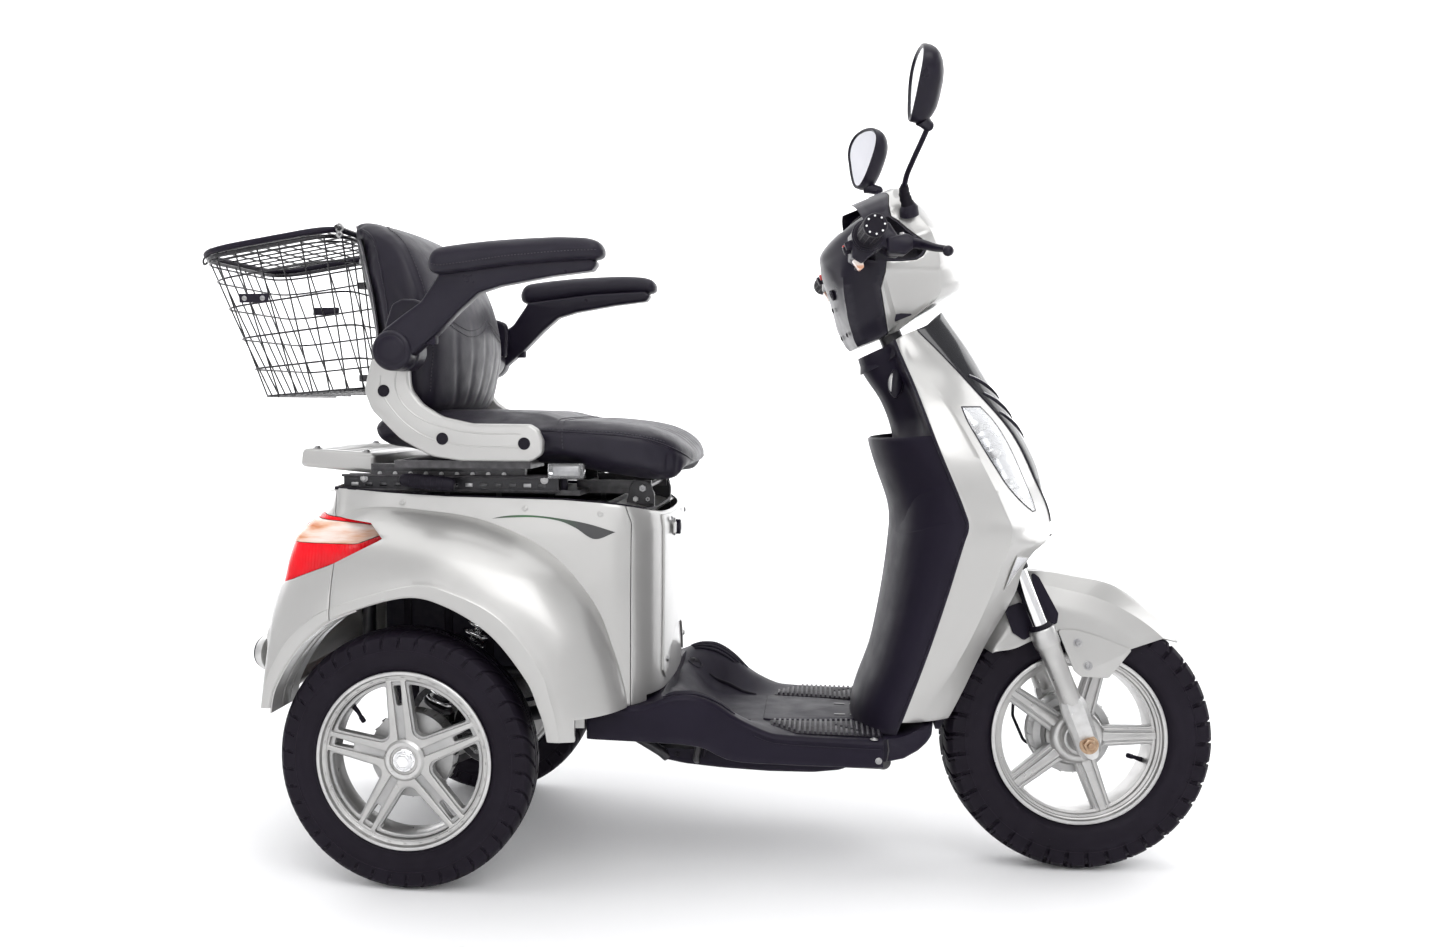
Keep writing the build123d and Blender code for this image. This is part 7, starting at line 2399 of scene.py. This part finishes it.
# ------------------------------------------------------------------ springs, axle, frame, cables
def springs():
    p = Part("coil_springs", "chassis")
    for s in (1, -1):
        a, b = np.array([4.0, s * 184, 236.0]), np.array([116.0, s * 174, 446.0])
        d = (b - a) / np.linalg.norm(b - a)
        u = np.cross(d, [0, 1, 0])
        u /= np.linalg.norm(u)
        v = np.cross(d, u)
        L = np.linalg.norm(b - a)
        turns, n = 9.0, 330
        P = []
        for k in range(n):
            t = k / (n - 1)
            w = 2 * math.pi * turns * t
            h = 0.17 + 0.66 * (t + 0.035 * math.sin(2 * math.pi * t) * -1)
            P.append(a + d * L * h + (u * math.cos(w) + v * math.sin(w)) * 20.5)
        p.tube(P, 3.8, CHROME, 10)

        def M_at(h):
            q = Vector((0, 1, 0)).rotation_difference(Vector(d)).to_matrix().to_4x4()
            return Matrix.Translation(Vector(a + d * L * h)) @ q
        p.revolve([(-5, 0.01), (-5, 20), (-3, 25.5), (0, 26.5), (3, 25.5), (3.6, 22), (3.6, 0.01)], FRAME, 36, M=M_at(0.145))
        p.revolve([(-3.6, 0.01), (-3.6, 22), (-3, 25.5), (0, 26.5), (3, 25.5), (5, 20), (5, 0.01)], FRAME, 36, M=M_at(0.855))
        p.revolve([(0, 0.01), (0, 14), (2, 15), (38, 15), (40, 14), (40, 0.01)], FRAME, 32, M=M_at(0.13))
        p.revolve([(0, 0.01), (0, 7.2), (L * 0.56, 7.2), (L * 0.56, 0.01)], CHROME, 24, M=M_at(0.28))
        p.revolve([(0, 0.01), (0, 11), (1.6, 12.5), (14, 12.5), (15, 11), (15, 0.01)], RUBBER, 24, M=M_at(0.60))
        for h in (0.035, 0.965):
            c = a + d * L * h
            M = Matrix.Translation(Vector(c))
            p.revolve([(-13, 0.01), (-13, 11), (-12, 13), (12, 13), (13, 11), (13, 0.01)], RUBBER, 28, M=M)
            p.revolve([(-16, 0.01), (-16, 6), (16, 6), (16, 0.01)], STEEL, 6, M=M)
    p.build(angle=40, replaces=("rear_shocks",))


def axle():
    p = Part("axle_details", "chassis")
    R = 205.0
    # motor: finned can with an end cap and cable gland
    M = Matrix.Translation((92, 0, R + 12))
    for k in range(15):
        y = -108 + 9 * k
        p.revolve([(y - 1.4, 58), (y - 1.4, 65.4), (y - 0.8, 66), (y + 0.8, 66), (y + 1.4, 65.4), (y + 1.4, 58)], ALLOY_DARK, 56, M=M)
    p.revolve([(-118, 0.01), (-118, 52), (-116, 60), (-112, 63), (-110, 63)], ALLOY_DARK, 56, M=M)
    p.revolve([(-119, 0.01), (-119.4, 20), (-121, 22), (-124, 22), (-126, 19), (-126, 0.01)], FRAME, 32, M=M)
    for k in range(6):
        a = 2 * math.pi * k / 6
        p.bolt((92 + 48 * math.cos(a), -117.4, R + 12 + 48 * math.sin(a)), (0, -1, 0), 4, STEEL)
    # gearbox: ribbed drum with a split flange and bolts
    M = Matrix.Translation((0, 0, R))
    p.revolve([(-7, 70), (-7, 77.5), (-6, 78.5), (0, 78.5), (1, 77.5), (1, 70)], ALLOY_DARK, 64, M=M)
    p.revolve([(-52.4, 20), (-52.6, 56), (-51, 66), (-48, 71.5), (-44, 72.6), (-44, 71)], ALLOY_DARK, 64, M=M)
    p.revolve([(46.4, 20), (46.6, 56), (45, 66), (42, 71.5), (38, 72.6), (38, 71)], ALLOY_DARK, 64, M=M)
    for k in range(10):
        a = 2 * math.pi * k / 10
        c, s_ = math.cos(a), math.sin(a)
        p.bolt((75 * c, 1.2, R + 75 * s_), (0, 1, 0), 3.6, STEEL)
        p.box(69, 75.5, -46, -8, -1.6, 1.6, ALLOY_DARK, bevel=0.6, M=Matrix.Translation((0, 0, R)) @ Matrix.Rotation(a + 0.3, 4, "Y"))
        p.box(69, 75.5, 2, 40, -1.6, 1.6, ALLOY_DARK, bevel=0.6, M=Matrix.Translation((0, 0, R)) @ Matrix.Rotation(a + 0.3, 4, "Y"))
    for s in (1, -1):
        for y in (60, 96, 132, 204):
            p.revolve([(s * (y - 5), 19), (s * (y - 5), 23), (s * (y - 4), 24), (s * (y + 4), 24), (s * (y + 5), 23), (s * (y + 5), 19)], FRAME, 40, M=M)
        # brake back plate and its ribs, lever and cable stop
        p.revolve([(s * 221.4, 24), (s * 221.2, 40), (s * 220.4, 44), (s * 220.4, 60), (s * 221.4, 66.4), (s * 231, 66.6), (s * 231.6, 66)], ALLOY_DARK, 56, M=M)
        for k in range(6):
            a = 2 * math.pi * k / 6
            p.bolt((50 * math.cos(a), s * 220.2, R + 50 * math.sin(a)), (0, -s, 0), 3.4, STEEL, h=3)
        p.tube([(-6, s * 216, R - 44), (-30, s * 214, R - 58), (-58, s * 214, R - 60)], [6, 5, 4], FRAME, 12)
        p.tube(spline([(-58, s * 214, R - 60), (-20, s * 206, R - 46), (40, s * 178, R + 20), (120, s * 150, 262), (220, s * 138, 282)], 50), 3.2, RUBBER, 10)
        # trailing arm collars and clamp bolts
        d = np.array([246.0, 0, 57.0])
        for t in (0.12, 0.5, 0.86):
            c = np.array([0, s * 150, 211.0]) + d * t
            p.tube([c - d * 0.02, c + d * 0.02], 14.2, FRAME, 24)
        for x in (-18, 18):
            for y in (146, 188):
                p.bolt((x, s * y, 238), (0, 0, 1), 5, STEEL, h=5)
                p.bolt((x, s * y, 188), (0, 0, -1), 5, STEEL, h=7)
        p.revolve([(s * 104, 5), (s * 103, 17.5), (s * 105, 18.5), (s * 112, 18.5), (s * 113, 16)], FRAME, 32, M=Matrix.Translation((246, 0, 268)))
        p.bolt((246, s * 164, 268), (0, s, 0), 8, STEEL, h=6)
    p.build(angle=36)


def chassis_bits():
    p = Part("frame_details", "chassis")
    for s in (1, -1):
        for x in (-60, 60, 180):
            p.box(x - 9, x + 9, *sorted((s * 106, s * 108.5)), 303, 321, FRAME, bevel=2)
            p.bolt((x, s * 108, 312), (0, s, 0), 4.2, STEEL)
        for x in (-100, 300):
            for z in (452, 592, 330):
                p.tube([(x, s * 172, z - 15), (x, s * 172, z + 11)], 12.4, FRAME, 20)
        for x in (-60, 40, 140, 240):
            p.tube([(x - 5, s * 172, 592), (x + 5, s * 172, 592)], 12.2, FRAME, 20)
        p.box(298, 338, *sorted((s * 136, s * 139)), 572, 588, FRAME, bevel=1.5)
    # main wiring loom clipped along the cradle
    p.tube(spline([(-96, 84, 330), (0, 86, 327), (140, 84, 328), (286, 82, 327), (330, 80, 306), (352, 80, 250), (372, 78, 206)], 70), 5.0, RUBBER, 10)
    for t in (-60, 20, 110, 220):
        p.tube([(t - 3, 85, 327.5), (t + 3, 85, 327.5)], 6.4, PLASTIC, 12)
    # head tube rings and neck gussets
    for sl in (342, 352, 582, 592):
        a = steer_pt(0, 0, sl - 3)
        b = steer_pt(0, 0, sl + 3)
        p.tube([a, b], 28.4, FRAME, 36)
    p.build(angle=40)
    q = Part("battery_details", "chassis")
    for x in (-40, 30, 100, 170, 240):
        q.box(x - 7, x + 7, -153, 153, 326, 331, RUBBER, bevel=1.5)
        q.box(x - 7, x + 7, *(-153, -149.5), 330, 560, RUBBER, bevel=1.2)
        q.box(x - 7, x + 7, *(149.5, 153), 330, 560, RUBBER, bevel=1.2)
        q.box(x - 7, x + 7, -153, 153, 558, 562.5, RUBBER, bevel=1.5)
        q.box(x - 11, x + 11, -14, 14, 561, 566, STEEL, bevel=1.5)
    for y in (-60, 60):
        q.revolve([(0, 0.01), (0, 12), (2, 13), (14, 13), (16, 11), (16, 0.01)], PLASTIC, 28, M=Matrix.Translation((262, y, 560)) @ Matrix.Rotation(math.pi / 2, 4, "X"))
    q.tube(spline([(262, -60, 574), (262, -30, 583), (262, 0, 585), (262, 30, 583), (262, 60, 574)], 24), 4.5, RUBBER, 10)
    q.build(angle=36)


springs()
axle()
chassis_bits()


# ------------------------------------------------------------------ tray under the floor
def belly():
    p = Part("belly_skin", "chassis")
    low = [(382, 181), (392, 173), (420, 168), (480, 163.5), (560, 161), (630, 162.5), (672, 168), (694, 176), (700, 184)]
    xs = np.concatenate([np.linspace(382, 400, 8), np.linspace(406, 670, 30), np.linspace(676, 700, 9)])
    rows = []
    for x in xs:
        b = at(x, low)
        t = 195.2 if x > 516 else 195.2
        hw = 123.6 * (1 - 0.10 * max(0.0, (x - 672) / 28) ** 2 - 0.06 * max(0.0, (396 - x) / 14) ** 2)
        R = min(15.0, (t - b) * 0.8)
        ring = [(x, -hw, t), (x, -hw, t - 4), (x, -hw, (t + b + R) / 2)]
        for k in range(7):
            g = math.pi / 2 * k / 6
            ring.append((x, -hw + R - R * math.cos(g), b + R - R * math.sin(g)))
        for y in np.linspace(-90, 90, 31):
            rib = 1.8 * max(0.0, 1 - (abs((y + 18) % 36 - 18)) / 4.0)
            ring.append((x, y, b + 1.2 - rib))
        for k in range(6, -1, -1):
            g = math.pi / 2 * k / 6
            ring.append((x, hw - R + R * math.cos(g), b + R - R * math.sin(g)))
        ring += [(x, hw, (t + b + R) / 2), (x, hw, t - 4), (x, hw, t)]
        rows.append(ring)
    p.grid(rows, PLASTIC, close_c=True, cap=True)
    ob = p.build(angle=36)
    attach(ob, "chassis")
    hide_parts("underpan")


belly()


# ------------------------------------------------------------------ studio, camera
def studio():
    sc = bpy.context.scene
    w = bpy.data.worlds.new("studio")
    sc.world = w
    w.use_nodes = True
    bg = w.node_tree.nodes["Background"]
    bg.inputs["Color"].default_value = (0.93, 0.935, 0.95, 1)
    bg.inputs["Strength"].default_value = 0.66
    me = bpy.data.meshes.new("floor")
    R_, n = 9.0, 64
    prof = [(0.0, 0.0), (3.0, 0.0), (5.0, 0.02), (6.2, 0.35), (7.0, 1.2), (7.3, 2.6), (7.3, 6.0)]
    bm = bmesh.new()
    rows = []
    for r, z in prof:
        rows.append([bm.verts.new((0.1 + r * math.cos(2 * math.pi * k / n), r * math.sin(2 * math.pi * k / n), z - 0.0004)) for k in range(n)] if r > 0 else None)
    c = bm.verts.new((0.1, 0, -0.0004))
    for k in range(n):
        bm.faces.new((c, rows[1][k], rows[1][(k + 1) % n]))
    for i in range(1, len(rows) - 1):
        for k in range(n):
            bm.faces.new((rows[i][k], rows[i + 1][k], rows[i + 1][(k + 1) % n], rows[i][(k + 1) % n]))
    bm.to_mesh(me)
    bm.free()
    fl = bpy.data.objects.new("floor", me)
    sc.collection.objects.link(fl)
    for p in me.polygons:
        p.use_smooth = True
    m, nt, b = new_mat("studio_floor")
    nt.links.new(ramp(nt, tex(nt, "noise", 1.5), [(0.3, (0.90, 0.90, 0.905)), (0.7, (0.92, 0.92, 0.925))]), b.inputs["Base Color"])
    b.inputs["Roughness"].default_value = 0.55
    b.inputs["Specular IOR Level"].default_value = 0.2
    me.materials.append(m)

    def area(name, loc, target, size, power, colour=(1, 1, 1)):
        ld = bpy.data.lights.new(name, "AREA")
        ld.shape, ld.size, ld.size_y = "RECTANGLE", size[0], size[1]
        ld.energy, ld.color = power, colour
        ob = bpy.data.objects.new(name, ld)
        ob.location = loc
        ob.rotation_euler = (Vector(target) - Vector(loc)).to_track_quat("-Z", "Y").to_euler()
        sc.collection.objects.link(ob)
    area("key", (1.2, -2.8, 3.2), (0.1, 0, 0.6), (3.0, 2.2), 66)
    area("top", (-0.2, 0.2, 3.6), (0, 0, 0.5), (5.0, 4.0), 88)
    area("left_back", (-3.2, 1.4, 2.0), (0, 0, 0.6), (1.8, 2.4), 14)
    area("right_back", (3.4, 1.6, 2.0), (0.3, 0, 0.7), (1.8, 2.4), 26)
    area("front_fill", (-0.6, -3.8, 1.2), (0, 0, 0.6), (3.0, 1.6), 14)
    area("backdrop_left", (-2.6, 3.2, 3.4), (-2.6, 7.2, 1.4), (3.6, 1.8), 170)
    area("backdrop_right", (2.6, 3.2, 3.4), (2.6, 7.2, 1.4), (3.6, 1.8), 170)
    sc.view_settings.view_transform = "Standard"
    sc.view_settings.look = "None"
    sc.view_settings.exposure = 0.0


studio()
cam = bpy.data.cameras.new("camera")
cam.sensor_width = 36.0
cam.lens = 1336.155 * 36.0 / 1444.0
cam.shift_x = (722.0 - 599.214) / 1444.0
cam.shift_y = 0.0
cam.clip_start, cam.clip_end = 0.05, 100
co = bpy.data.objects.new("camera", cam)
co.location = (0.639461 - 0.433, -2.286185, 0.763445)
co.rotation_euler = (math.pi / 2 - 0.053, 0, 0.165)
bpy.context.scene.collection.objects.link(co)
bpy.context.scene.camera = co

# finishes for the pieces that stay as the frame has them
for node, mt in (("frame", FRAME), ("underpan", PLASTIC), ("battery_pack", PLASTIC), ("drive_axle", FRAME), ("seat_base_frame", FRAME),
                 ("seat_pan", FRAME), ("handlebar", FRAME), ("brake_cable", RUBBER), ("foot_mat", MAT_RUBBER), ("luggage_shelf", SILVER),
                 ("fork_stem", CHROME), ("fork_legs", ALLOY), ("front_fender", SILVER), ("grips", RUBBER), ("brake_levers", SATIN),
                 ("dash_cover", PLASTIC), ("head_cowl", SILVER), ("mirror_left", SATIN), ("mirror_right", SATIN), ("footboard", PLASTIC),
                 ("rear_shocks", CHROME), ("body_side_left", SILVER), ("body_side_right", SILVER), ("pedestal_front", SILVER), ("tail_panel", SILVER),
                 ("tail_lamps", RED_LENS), ("seat_cushion", LEATHER), ("seat_back", LEATHER), ("seat_brackets", SILVER), ("armrest_left", SATIN),
                 ("armrest_right", SATIN), ("armrest_pad_left", LEATHER), ("armrest_pad_right", LEATHER), ("basket", WIRE), ("basket_lid", WIRE)):
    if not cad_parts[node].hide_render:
        repaint(node, mt)
        if node not in ("frame",):
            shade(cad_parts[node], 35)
